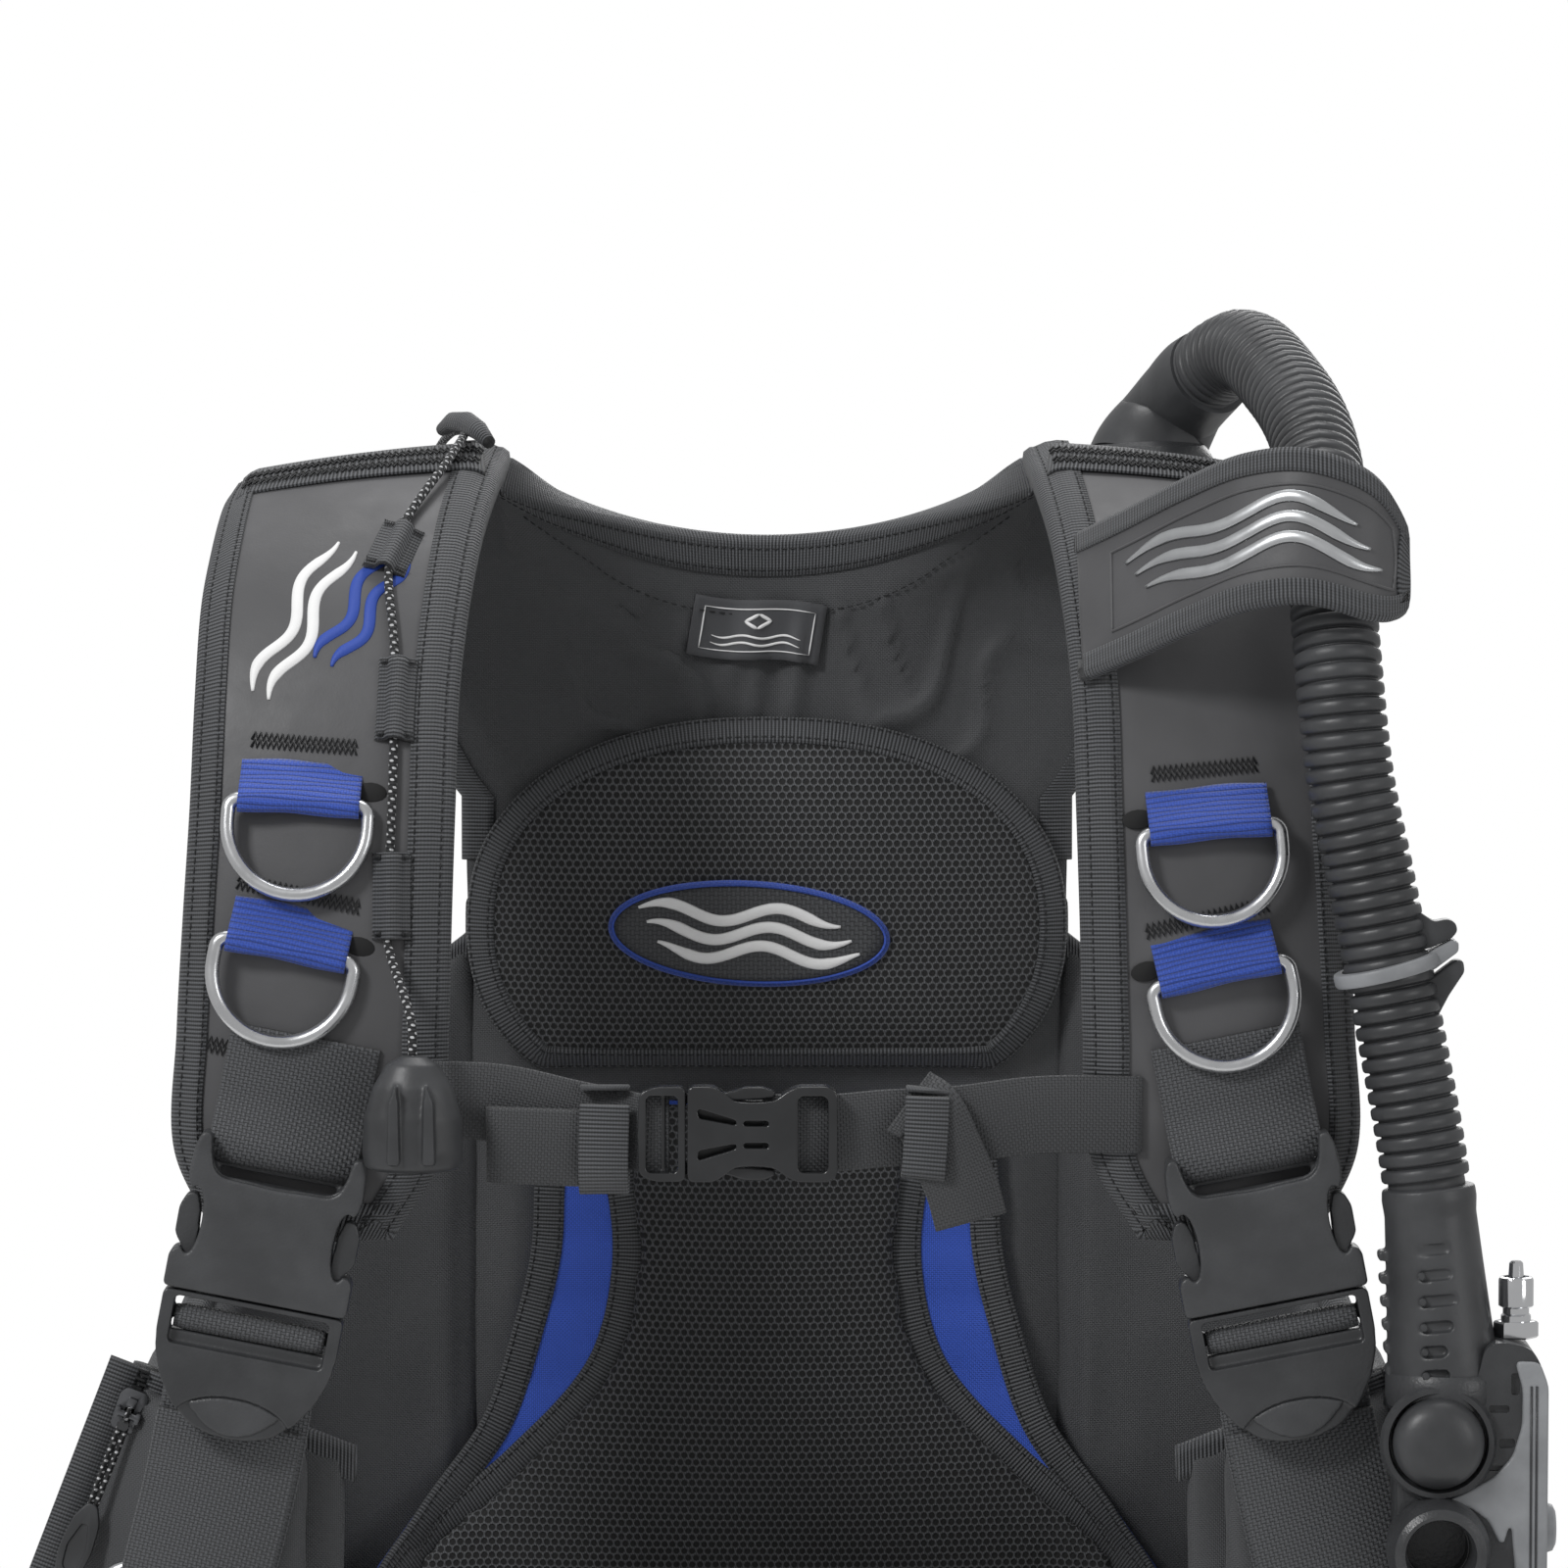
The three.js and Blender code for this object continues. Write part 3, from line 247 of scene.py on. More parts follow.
def shell(name, point, nu, nv, offsets, finish, back=None, span=(0, 1, 0, 1)):
    """Both faces of a sheet and the rim between them. offsets(u, v) is how far each face stands along the normal."""
    u0, u1, v0, v1 = span
    grid = [[(mix(u0, u1, i / nu), mix(v0, v1, j / nv)) for i in range(nu + 1)] for j in range(nv + 1)]
    mid = [[point(u, v) for u, v in row] for row in grid]
    low, high = [], []
    for j, row in enumerate(grid):
        for i, (u, v) in enumerate(row):
            du = mid[j][min(i + 1, nu)] - mid[j][max(i - 1, 0)]
            dv = mid[min(j + 1, nv)][i] - mid[max(j - 1, 0)][i]
            n = du.cross(dv).normalized()
            a, b = offsets(u, v)
            low.append(mid[j][i] + n * a)
            high.append(mid[j][i] + n * b)
    verts = low + high
    size = (nu + 1) * (nv + 1)
    rows = [lengths(r) for r in mid]
    cols = [lengths([mid[j][i] for j in range(nv + 1)]) for i in range(nu + 1)]
    uv = lambda i, j: (rows[j][i] - rows[j][-1] / 2, -cols[i][j])
    faces, uvs, kinds = [], [], []

    def face(corners, kind):
        faces.append(tuple(layer * size + j * (nu + 1) + i for layer, i, j in corners))
        uvs.extend(uv(i, j) if kind < 2 else (uv(i, j)[0] + layer * 0.004, uv(i, j)[1] + layer * 0.004) for layer, i,
            j in corners)
        kinds.append(kind)

    for j in range(nv):
        for i in range(nu):
            face(((0, i, j), (0, i, j + 1), (0, i + 1, j + 1), (0, i + 1, j)), 0)
            face(((1, i, j), (1, i + 1, j), (1, i + 1, j + 1), (1, i, j + 1)), 1)
    for i in range(nu):
        face(((0, i, 0), (0, i + 1, 0), (1, i + 1, 0), (1, i, 0)), 2)
        face(((0, i, nv), (1, i, nv), (1, i + 1, nv), (0, i + 1, nv)), 2)
    for j in range(nv):
        face(((0, 0, j), (1, 0, j), (1, 0, j + 1), (0, 0, j + 1)), 2)
        face(((0, nu, j), (0, nu, j + 1), (1, nu, j + 1), (1, nu, j)), 2)
    ob = keep(name, verts, faces, uvs, [finish] + ([back] if back else []))
    if back:
        # the second finish goes on the face farther along the normal, and on the rim
        ob.data.polygons.foreach_set("material_index", [1 if k else 0 for k in kinds])
    return ob


def box_uv(ob):
    """Lays the pattern on each face from the side it looks to, in metres."""
    me = ob.data
    layer = me.uv_layers.get("weave") or me.uv_layers.new(name="weave")
    for poly in me.polygons:
        n = poly.normal
        ax = max(range(3), key=lambda k: abs(n[k]) * (1.0, 1.15, 0.8)[k])
        for li in poly.loop_indices:
            c = me.vertices[me.loops[li].vertex_index].co
            layer.data[li].uv = ((c.y, c.z), (c.x, c.z), (c.x, c.y))[ax]


def mirrored(ob, name):
    me = ob.data.copy()
    me.name = name
    me.transform(Matrix.Diagonal((-1, 1, 1, 1)))
    me.flip_normals()
    twin = bpy.data.objects.new(name, me)
    bpy.context.scene.collection.objects.link(twin)
    return twin


def joined(objects, name):
    bpy.ops.object.select_all(action="DESELECT")
    for ob in objects:
        ob.select_set(True)
    bpy.context.view_layer.objects.active = objects[0]
    if len(objects) > 1:
        bpy.ops.object.join()
    ob = bpy.context.view_layer.objects.active
    ob.name = ob.data.name = name
    return ob


def only(ob):
    bpy.ops.object.select_all(action="DESELECT")
    ob.select_set(True)
    bpy.context.view_layer.objects.active = ob


def shaded(ob, degrees=35):
    only(ob)
    bpy.ops.object.shade_smooth_by_angle(angle=math.radians(degrees))
    return ob


def placed(ob, matrix):
    """Puts a piece modelled at the origin in its place, in its mesh. Its size is in millimetres until then."""
    ob.data.transform(matrix @ Matrix.Scale(MM, 4))
    for layer in ob.data.uv_layers:
        for d in layer.data:
            d.uv *= MM
    ob.matrix_world = Matrix.Identity(4)
    if matrix.determinant() < 0:
        ob.data.flip_normals()
    return ob


def modifier(ob, kind, **settings):
    only(ob)
    m = ob.modifiers.new(kind.lower(), kind)
    for k, v in settings.items():
        setattr(m, k, v)
    bpy.ops.object.modifier_apply(modifier=m.name)
    return ob


def cut(ob, *cutters):
    for c in cutters:
        modifier(ob, "BOOLEAN", operation="DIFFERENCE", solver="EXACT", object=c)
        bpy.data.objects.remove(c)
    return ob


def united(ob, *others):
    for c in others:
        modifier(ob, "BOOLEAN", operation="UNION", solver="EXACT", object=c)
        bpy.data.objects.remove(c)
    return ob


def eased(ob, wide, segments=2, angle=40):
    """Rounds the edges sharper than an angle."""
    modifier(ob, "BEVEL", width=wide, segments=segments, limit_method="ANGLE", angle_limit=math.radians(angle),
        harden_normals=False)
    return shaded(ob, 40)


def ring_points(wide, tall, radius, x=0.0, z=0.0, steps=5):
    """Corners of a rounded rectangle, as (x, z)."""
    out = []
    for cx, cz, a in ((1, -1, -90), (1, 1, 0), (-1, 1, 90), (-1, -1, 180)):
        for k in range(steps + 1):
            t = math.radians(a + 90 * k / steps)
            out.append((x + cx * (wide / 2 - radius) + radius * math.cos(t),
                z + cz * (tall / 2 - radius) + radius * math.sin(t)))
    return out


def slab(name, outline, front, back, finish=None, taper=1.0):
    """An outline in X-Z, raised from y = back to y = front; taper narrows its front face. Millimetres."""
    bpy.ops.object.select_all(action="DESELECT")
    bpy.ops.mesh.primitive_circle_add(vertices=len(outline), radius=1, fill_type="NGON")
    ob = bpy.context.view_layer.objects.active
    ob.name = ob.data.name = name
    for vert, (x, z) in zip(ob.data.vertices, outline):
        vert.co = (x, back, z)
    bpy.ops.object.mode_set(mode="EDIT")
    bpy.ops.mesh.select_all(action="SELECT")
    bpy.ops.mesh.extrude_region_move(TRANSFORM_OT_translate={"value": (0, front - back, 0)})
    if taper != 1.0:
        cx = sum(x for x, _ in outline) / len(outline)
        cz = sum(z for _, z in outline) / len(outline)
        bpy.ops.transform.resize(value=(taper, 1, taper), center_override=(cx, front, cz))
    bpy.ops.mesh.select_all(action="SELECT")
    bpy.ops.mesh.normals_make_consistent(inside=False)
    bpy.ops.object.mode_set(mode="OBJECT")
    if finish:
        ob.data.materials.append(finish)
    return ob


def block(name, size, at, finish=None):
    bpy.ops.object.select_all(action="DESELECT")
    bpy.ops.mesh.primitive_cube_add(size=1, location=at)
    ob = bpy.context.view_layer.objects.active
    ob.name = ob.data.name = name
    ob.scale = size
    bpy.ops.object.transform_apply(location=True, rotation=True, scale=True)
    if finish:
        ob.data.materials.append(finish)
    return ob


def turned(name, profile, finish=None, sides=40):
    """A body of revolution about +Z through [radius, z] stations, in millimetres."""
    bpy.ops.object.select_all(action="DESELECT")
    r, z = profile[0]
    bpy.ops.mesh.primitive_circle_add(vertices=sides, radius=max(r, 0.01), fill_type="NGON", location=(0, 0, 0))
    ob = bpy.context.view_layer.objects.active
    ob.name = ob.data.name = name
    for vert in ob.data.vertices:
        vert.co.z = z
    bpy.ops.object.mode_set(mode="EDIT")
    bpy.ops.mesh.select_all(action="SELECT")
    for (r0, z0), (r1, z1) in zip(profile, profile[1:]):
        bpy.ops.mesh.extrude_region_move(TRANSFORM_OT_translate={"value": (0, 0, z1 - z0)})
        k = max(r1, 0.01) / max(r0, 0.01)
        bpy.ops.transform.resize(value=(k, k, 1), center_override=(0, 0, z1))
    bpy.ops.mesh.select_all(action="SELECT")
    bpy.ops.mesh.normals_make_consistent(inside=False)
    bpy.ops.object.mode_set(mode="OBJECT")
    if finish:
        ob.data.materials.append(finish)
    return shaded(ob, 32)


def ride(ob, body, slot, *nodes):
    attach(ob, body)
    if nodes:
        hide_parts(*nodes)
    return ob


# ---- finishes ----
def rgb(code):
    """A screen colour such as "3a3b3d" as linear light."""
    part = [int(code[i:i + 2], 16) / 255 for i in (0, 2, 4)]
    return tuple(c / 12.92 if c < 0.04045 else ((c + 0.055) / 1.055) ** 2.4 for c in part) + (1.0,)


class Value:
    """A socket in an expression: each operator adds its Math node."""

    def __init__(self, made, socket):
        self.made, self.socket = made, socket

    def op(self, kind, *rest):
        return self.made.node("ShaderNodeMath", {"operation": kind}, self, *rest)

    def __add__(self, b): return self.op("ADD", b)
    def __radd__(self, a): return self.op("ADD", a)
    def __sub__(self, b): return self.op("SUBTRACT", b)
    def __rsub__(self, a): return self.made.node("ShaderNodeMath", {"operation": "SUBTRACT"}, a, self)
    def __mul__(self, b): return self.op("MULTIPLY", b)
    def __rmul__(self, a): return self.op("MULTIPLY", a)
    def __truediv__(self, b): return self.op("DIVIDE", b)
    def __rtruediv__(self, a): return self.made.node("ShaderNodeMath", {"operation": "DIVIDE"}, a, self)
    def __pow__(self, b): return self.op("POWER", b)
    def __abs__(self): return self.op("ABSOLUTE")
    def __mod__(self, b): return self.op("FLOORED_MODULO", b)
    def low(self, b): return self.op("MINIMUM", b)
    def high(self, b): return self.op("MAXIMUM", b)
    def sine(self): return self.op("SINE")
    def floor(self): return self.op("FLOOR")
    def root(self): return self.op("SQRT")
    def over(self, b): return self.op("GREATER_THAN", b)

    def ramp(self, a, b, low=0.0, high=1.0):
        """Smoothly from low at a to high at b."""
        return self.made.node("ShaderNodeMapRange", {"interpolation_type": "SMOOTHSTEP"}, self, a, b, low, high)


class Finish:
    """A material under construction."""

    def __init__(self, name):
        self.material = bpy.data.materials.new(name)
        self.material.use_nodes = True
        self.tree = self.material.node_tree
        self.tree.nodes.clear()

    def node(self, kind, settings=None, *sockets, out=0, **named):
        n = self.tree.nodes.new(kind)
        for key, value in (settings or {}).items():
            setattr(n, key, value)
        for key, value in list(enumerate(sockets)) + [(k.replace("_", " "), v) for k, v in named.items()]:
            if value is None:
                continue
            target = n.inputs[key]
            if isinstance(value, Value):
                self.tree.links.new(value.socket, target)
            else:
                target.default_value = value
        return Value(self, n.outputs[out])

    def parts(self, vector):
        n = self.tree.nodes.new("ShaderNodeSeparateXYZ")
        self.tree.links.new(vector.socket, n.inputs[0])
        return [Value(self, o) for o in n.outputs]

    def woven(self):
        """The piece's own pattern coordinates, in millimetres."""
        u, v, _ = self.parts(self.node("ShaderNodeUVMap", {"uv_map": "weave"}))
        return u * 1000, v * 1000

    def place(self):
        """Object coordinates, in millimetres."""
        at = self.node("ShaderNodeTexCoord", out=3)
        return self.node("ShaderNodeVectorMath", {"operation": "SCALE"}, at, Scale=1000.0)

    def cloud(self, size, detail=3.0, rough=0.55, stretch=None):
        """Soft noise with features of a size in millimetres, from 0 to 1."""
        at = self.place()
        if stretch:
            at = self.node("ShaderNodeVectorMath", {"operation": "MULTIPLY"}, at, stretch)
        return self.node("ShaderNodeTexNoise", {}, at, None, 1.0 / size, detail, rough)

    def blend(self, factor, a, b):
        n = self.tree.nodes.new("ShaderNodeMix")
        n.data_type = "RGBA"
        for index, value in ((0, factor), (6, a), (7, b)):
            if isinstance(value, Value):
                self.tree.links.new(value.socket, n.inputs[index])
            else:
                n.inputs[index].default_value = value
        return Value(self, n.outputs[2])

    def done(self, color, rough, height=None, deep=0.2, metal=0.0, **constant):
        """deep is the relief in millimetres between height 0 and 1."""
        normal = None
        if height is not None:
            normal = self.node("ShaderNodeBump", {}, Strength=1.0, Distance=deep * MM, Height=height)
        shader = self.tree.nodes.new("ShaderNodeBsdfPrincipled")
        for key, value in (("Base Color", color), ("Roughness", rough), ("Metallic", metal), ("Normal", normal),
            *constant.items()):
            if value is None:
                continue
            target = shader.inputs[key.replace("_", " ")]
            if isinstance(value, Value):
                self.tree.links.new(value.socket, target)
            else:
                target.default_value = value
        out = self.tree.nodes.new("ShaderNodeOutputMaterial")
        self.tree.links.new(shader.outputs[0], out.inputs[0])
        return self.material


def plain_weave(f, u, v, across, along):
    """Height and thread choice of a plain weave with the given thread widths."""
    a, b = u / across, v / along
    checker = (a.floor() + b.floor()) % 2
    ta = 1 - abs((a % 1) * 2 - 1) ** 2.2
    tb = 1 - abs((b % 1) * 2 - 1) ** 2.2
    # where the warp lies on top its round shows across, elsewhere the weft's does
    return checker * ta + (1 - checker) * tb, checker


def coated_fabric(name, color):
    """Smooth coated cloth: satin, with a faint grain and slow changes of tone."""
    f = Finish(name)
    slow, fine = f.cloud(45, 3), f.cloud(0.7, 2)
    dark, pale = [c * 0.86 for c in color[:3]] + [1], [min(1, c * 1.12) for c in color[:3]] + [1]
    tone = f.blend(slow.ramp(0.3, 0.7), dark, pale)
    return f.done(tone, f.cloud(12, 4).ramp(0.25, 0.75, 0.46, 0.56), fine * 0.5 + f.cloud(5, 2) * 1.2, 0.07,
        Sheen_Weight=0.12)


def nylon_cloth(name, color, across=0.62, along=0.62):
    """Plain woven nylon with fine threads. Its colour follows the weave's height: painted highlight on the thread
    tops and painted shade between them, with a slight step in tone by which thread lies on top.
    """
    f = Finish(name)
    u, v = f.woven()
    height, checker = plain_weave(f, u, v, across, along)
    slow = f.cloud(60, 3)
    base = [c for c in color[:3]]
    dark, pale = [c * 0.3 for c in base] + [1], [c * 2.2 for c in base] + [1]
    # the colour follows the weave's height: painted highlight on the thread tops, painted shade between them, and a
    # slight step in tone by which thread lies on top
    tone = f.blend(height * 0.8 + checker * 0.15, dark, pale)
    tone = f.blend(slow.ramp(0.25, 0.75, 0.0, 0.35), tone, [c * 1.25 for c in base] + [1])
    return f.done(tone, height.ramp(0, 1, 0.78, 0.55), height + f.cloud(14, 2) * 1.5, 0.16, Sheen_Weight=0.1)


def webbing_cloth(name, color, across=1.4, along=1.1, deep=0.4, lift=3.4):
    """Heavy webbing: a bold plain weave, coloured by the weave's height: painted shade between the threads and
    painted highlight on their tops, lift setting how bright that painted highlight is.
    """
    f = Finish(name)
    u, v = f.woven()
    height, checker = plain_weave(f, u, v, across, along)
    fibre = (u * 9).sine() * (v * 7).sine()
    base = list(color[:3])
    # painted shade between the threads, painted highlight on their tops, with a slight step in tone by which thread
    # lies on top
    tone = f.blend(height * 0.85 + checker * 0.15, [c * 0.35 for c in base] + [1], [c * lift for c in base] + [1])
    return f.done(tone, 0.62, height + fibre * 0.08, deep, Sheen_Weight=0.15)


def band_cloth(name, color):
    """Tank band webbing, its weave laid by height and by the way round the cylinder."""
    f = Finish(name)
    x, y, z = f.parts(f.place())
    turn = f.node("ShaderNodeMath", {"operation": "ARCTAN2"}, x, y - 92.0) * 94.0
    height, checker = plain_weave(f, turn, z, 1.8, 1.4)
    base = list(color[:3])
    # the colour follows the weave's height: painted highlight on the thread tops, painted shade between them
    tone = f.blend(height * 0.85 + checker * 0.15, [c * 0.35 for c in base] + [1], [c * 1.9 for c in base] + [1])
    return f.done(tone, 0.62, height, 0.3, Sheen_Weight=0.15)


def grosgrain(name, color, pitch=1.3, lift=4.6):
    """Binding tape: fine ribs across it."""
    f = Finish(name)
    u, v = f.woven()
    rib = 1 - abs(((v / pitch) % 1) * 2 - 1) ** 2.0
    fine = (u * 6.5).sine() * 0.5 + 0.5
    base = list(color[:3])
    # the colour follows the ribs' height: painted highlight on the rib tops, painted shade in the grooves, and the
    # fine cross pattern shaded the same way; lift sets how bright the painted highlight is
    tone = f.blend((rib * 0.85 + fine * 0.15) ** 1.6, [c * 0.22 for c in base] + [1], [c * lift for c in base] + [1])
    return f.done(tone, 0.6, rib + fine * 0.15, 0.5, Sheen_Weight=0.15)


def ribbed_web(name, color, pitch=2.1):
    """Bright webbing with ribs along the length of the loop's bar."""
    f = Finish(name)
    u, v = f.woven()
    rib = 1 - abs(((u / pitch) % 1) * 2 - 1) ** 2.4
    fine, _ = plain_weave(f, u, v, 0.7, 0.9)
    base = list(color[:3])
    # the colour follows the ribs' and the fine weave's height: painted highlight on their tops, painted shade between
    # them
    tone = f.blend(rib * 0.6 + fine * 0.4, [c * 0.45 for c in base] + [1], [min(1, c * 1.35) for c in base] + [1])
    return f.done(tone, 0.6, rib + fine * 0.3, 0.45, Sheen_Weight=0.2)


def spacer_mesh(name, color, pitch=2.7):
    """Open spacer mesh: rows of round holes set like a honeycomb, made in colour and bump only, with painted shade
    inside them.
    """
    f = Finish(name)
    u, v = f.woven()
    high = pitch * math.sqrt(3)

    def away(du, dv):
        x = ((u + du) % pitch) - pitch / 2
        y = ((v + dv) % high) - high / 2
        return (x * x + y * y).root()

    near = away(0, 0).low(away(pitch / 2, high / 2))
    solid = near.ramp(0.3 * pitch, 0.47 * pitch)
    thread = (u * 8 + v * 3).sine() * 0.5 + 0.5
    base = list(color[:3])
    # the holes are painted near black as painted shade; the threads are paler along their ridges as painted
    # highlight, and in random patches
    tone = f.blend(solid, [c * 0.12 for c in base] + [1], f.blend(thread * 0.5 + f.cloud(1.6) * 0.5,
        [c * 0.8 for c in base] + [1], [c * 3.6 for c in base] + [1]))
    return f.done(tone, 0.75, solid + thread * solid * 0.1, 0.75, Sheen_Weight=0.08)


def moulded(name, color, rough=(0.27, 0.42), grain=0.16, size=1.1):
    """Moulded plastic with a spark-eroded surface and paler, rubbed high spots."""
    f = Finish(name)
    pebble = f.cloud(size, 2, 0.6)
    slow = f.cloud(22, 4)
    base = list(color[:3])
    tone = f.blend(slow.ramp(0.3, 0.75, 0.0, 1.0), [c * 0.85 for c in base] + [1], [c * 1.2 for c in base] + [1])
    return f.done(tone, slow.ramp(0.25, 0.75, *rough), pebble, grain)


def rubbery(name, color):
    f = Finish(name)
    slow, fine = f.cloud(26, 4), f.cloud(1.3, 3)
    base = list(color[:3])
    tone = f.blend(slow.ramp(0.3, 0.7), [c * 0.8 for c in base] + [1], [c * 1.25 for c in base] + [1])
    return f.done(tone, slow.ramp(0.2, 0.8, 0.34, 0.48), fine, 0.05)


def metal(name, color, rough=(0.2, 0.34), grain=0.02):
    f = Finish(name)
    scratch = f.cloud(0.8, 3, 0.6, (1.0, 1.0, 0.25))
    slow = f.cloud(9, 3)
    base = list(color[:3])
    tone = f.blend(slow, [c * 0.92 for c in base] + [1], list(color))
    return f.done(tone, slow.ramp(0.3, 0.7, *rough), scratch, grain, metal=1.0)


def ink(name, color, weave=False):
    """Raised print or embroidery."""
    f = Finish(name)
    fine = f.cloud(0.6, 2)
    base = list(color[:3])
    tone = f.blend(f.cloud(8), [c * 0.93 for c in base] + [1], list(color))
    return f.done(tone, fine.ramp(0.2, 0.8, 0.45, 0.6), fine, 0.06)


def thread_cord(name, dark, pale):
    """Braided cord with pale flecks."""
    f = Finish(name)
    u, v = f.woven()
    lay = (v * 2.6 + u * 2.1).sine() * (v * 2.6 - u * 2.1).sine()
    fleck = ((v * 1.9 + u * 1.43).sine() + (v * 3.1 - u * 1.43).sine()).ramp(0.7, 1.3)
    tone = f.blend(fleck, dark, pale)
    return f.done(tone, 0.7, lay, 0.25, Sheen_Weight=0.1)


def float_color(name, description, default):
    return bpy.props.FloatVectorProperty(name=name, description=description, subtype="COLOR", size=4, min=0, max=1,
        default=default)


class VestColours(bpy.types.PropertyGroup):
    """Colours of the vest's cloths and fittings."""
    coated: float_color("Coated cloth", "Shoulder straps and hose flap", rgb("505052"))
    nylon: float_color("Nylon", "Air cell, wings and pockets", rgb("3a3b3d"))
    mesh: float_color("Spacer mesh", "Back pads", rgb("3b3c3e"))
    trim: float_color("Trim", "Blue loops and side panels", rgb("2a4aa6"))
    web: float_color("Webbing", "Harness webbing", rgb("2e2f31"))
    tape: float_color("Binding tape", "Tape round every edge", rgb("2b2c2e"))
    plastic: float_color("Plastic", "Buckles and fittings", rgb("3a3b3d"))
    rubber: float_color("Rubber", "Hose, cuff and pulls", rgb("3d3e40"))
    steel: float_color("Steel", "D-rings", rgb("dadbdd"))
    pale: float_color("Print", "Printed marks", rgb("f2f2f2"))


class VestSizes(bpy.types.PropertyGroup):
    """Sizes a maker would change."""
    tape_wide: bpy.props.FloatProperty(name="Strap tape", description="Width of the strap's inner binding",
        default=0.013, unit="LENGTH", min=0.004, max=0.03)
    tape_thick: bpy.props.FloatProperty(name="Tape thickness", description="How far the binding stands proud",
        default=0.0009, unit="LENGTH", min=0.0003, max=0.003)
    rib_pitch: bpy.props.FloatProperty(name="Hose rib pitch", description="Distance between the hose's ribs",
        default=0.0052, unit="LENGTH", min=0.003, max=0.012)
    swell: bpy.props.FloatProperty(name="Padding swell", description="Most that a padded piece may swell",
        default=0.005, unit="LENGTH", min=0.0, max=0.02)


# ---- the vest's own surfaces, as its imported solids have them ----
CELL_BACK, CELL_MID, CELL_FRONT, PANEL_FRONT = -14.4, -21.9, -29.4, -33.8
STRAP_THICK = 0.014
shoulder_rise = Route([(0, CELL_MID, 108), (0, -23, 160), (0, -26, 200), (0, -40, 232), (0, -64, 248), (0, -85, 251)])


def cell_point(u, v):
    side, lower = 2 * u - 1, 0.4
    if v < lower:
        t = v / lower
        return Vector((side * 103, CELL_MID, mix(-246, 94, t))) * MM
    t = (v - lower) / (1 - lower)
    half = 103 if t < 0.12 else mix(103, 178, ((t - 0.12) / 0.88) ** 0.72)
    x = side * half
    flat = Vector((0, CELL_MID, mix(94, 226, t))) * MM
    p = flat.lerp(shoulder_rise.at(t), min(1, (x / 88) ** 2))
    drop = 12 * t * max(0, (abs(x) - 88) / 90) ** 2
    return Vector((x * MM, p.y, p.z - drop * MM))


def cell_faces(u, v):
    edge = min(1, 8 * min(u, 1 - u) + 0.4)
    t = 15 if v < 0.45 else mix(15, 11, (v - 0.45) / 0.55)
    return -t / 2 * edge * MM, t / 2 * edge * MM


wing_top = Route([(100.2, CELL_MID, 92), (132, -24, 66), (168, -38, 22), (190, -72, -22), (197, -112, -44),
    (190, -148, -52),
                  (170, -168, -56), (150, -174, -60), (134, -174, -66)])
wing_foot = Route([(100.2, CELL_MID, -246), (140, -26, -248), (180, -42, -250), (210, -78, -252), (218, -116, -253),
                   (208, -148, -252), (184, -167, -250), (158, -174, -246), (138, -174, -240)])


def wing_point(u, v):
    return wing_top.at(v).lerp(wing_foot.at(v), u)


strap_inner = Route([(88, -93, 262), (91, -120, 253), (95, -146, 237), (98, -166, 217), (101, -184, 186),
    (102, -197, 148),
                     (103, -203, 112), (104, -206, 75), (106, -206, 36), (121, -205, 9)])
strap_outer = Route([(177, -92, 250), (179, -118, 244), (181, -144, 230), (183, -163, 212), (184, -180, 183),
    (185, -192, 147),
                     (187, -198, 111), (189, -200, 75), (190, -200, 36), (178, -200, 9)])


def strap_point(u, v):
    p = strap_inner.at(v).lerp(strap_outer.at(v), u)
    return p + Vector((0, -3.6 * bulge(u), 4 * bulge(u) * ((0.6 - 2 * v) if v < 0.3 else 0))) * MM


def on_strap(u, z, rise, tilt=0.0):
    """Matrix of a place on the left strap: x across, y into the strap, z up along it. Millimetres in, metres out."""
    low, high = 0.0, 1.0
    for _ in range(40):
        middle = (low + high) / 2
        if strap_point(u, middle).z > z * MM:
            low = middle
        else:
            high = middle
    up = (strap_point(u, low - 0.02) - strap_point(u, low + 0.02)).normalized()
    a = math.radians(tilt)
    into = up.cross(Vector((math.cos(a), 0, math.sin(a)))).normalized()
    square = into.cross(up).normalized()
    at = strap_point(u, low) - into * rise * MM
    turn = Matrix((square, into, up)).transposed().to_4x4()
    turn = turn @ Matrix.Rotation(-a, 4, "Y")
    turn.translation = at
    return turn


panel_edge = Route([(76, 0, 34), (79, 0, 8), (80.5, 0, -18), (86.5, 0, -44), (98, 0, -78), (121, 0, -109),
    (141, 0, -140), (148, 0, -185), (137, 0, -232)])
pad_edge = Route([(53, 0, 34), (48, 0, 12), (45, 0, -22), (54, 0, -58), (84, 0, -92), (118, 0, -120), (138, 0, -150),
    (142, 0, -188), (130, 0, -226)])


def panel_surface(edge, front):
    def point(u, v):
        e = edge.at(v)
        x = (2 * u - 1) * e.x
        return Vector((x, (front - 0.011 * max(0, abs(x) / MM - 84) ** 2) * MM, e.z))
    return point


panel_point = panel_surface(panel_edge, CELL_FRONT - 0.4 - 2)
lumbar_point = panel_surface(pad_edge, PANEL_FRONT - 0.4)


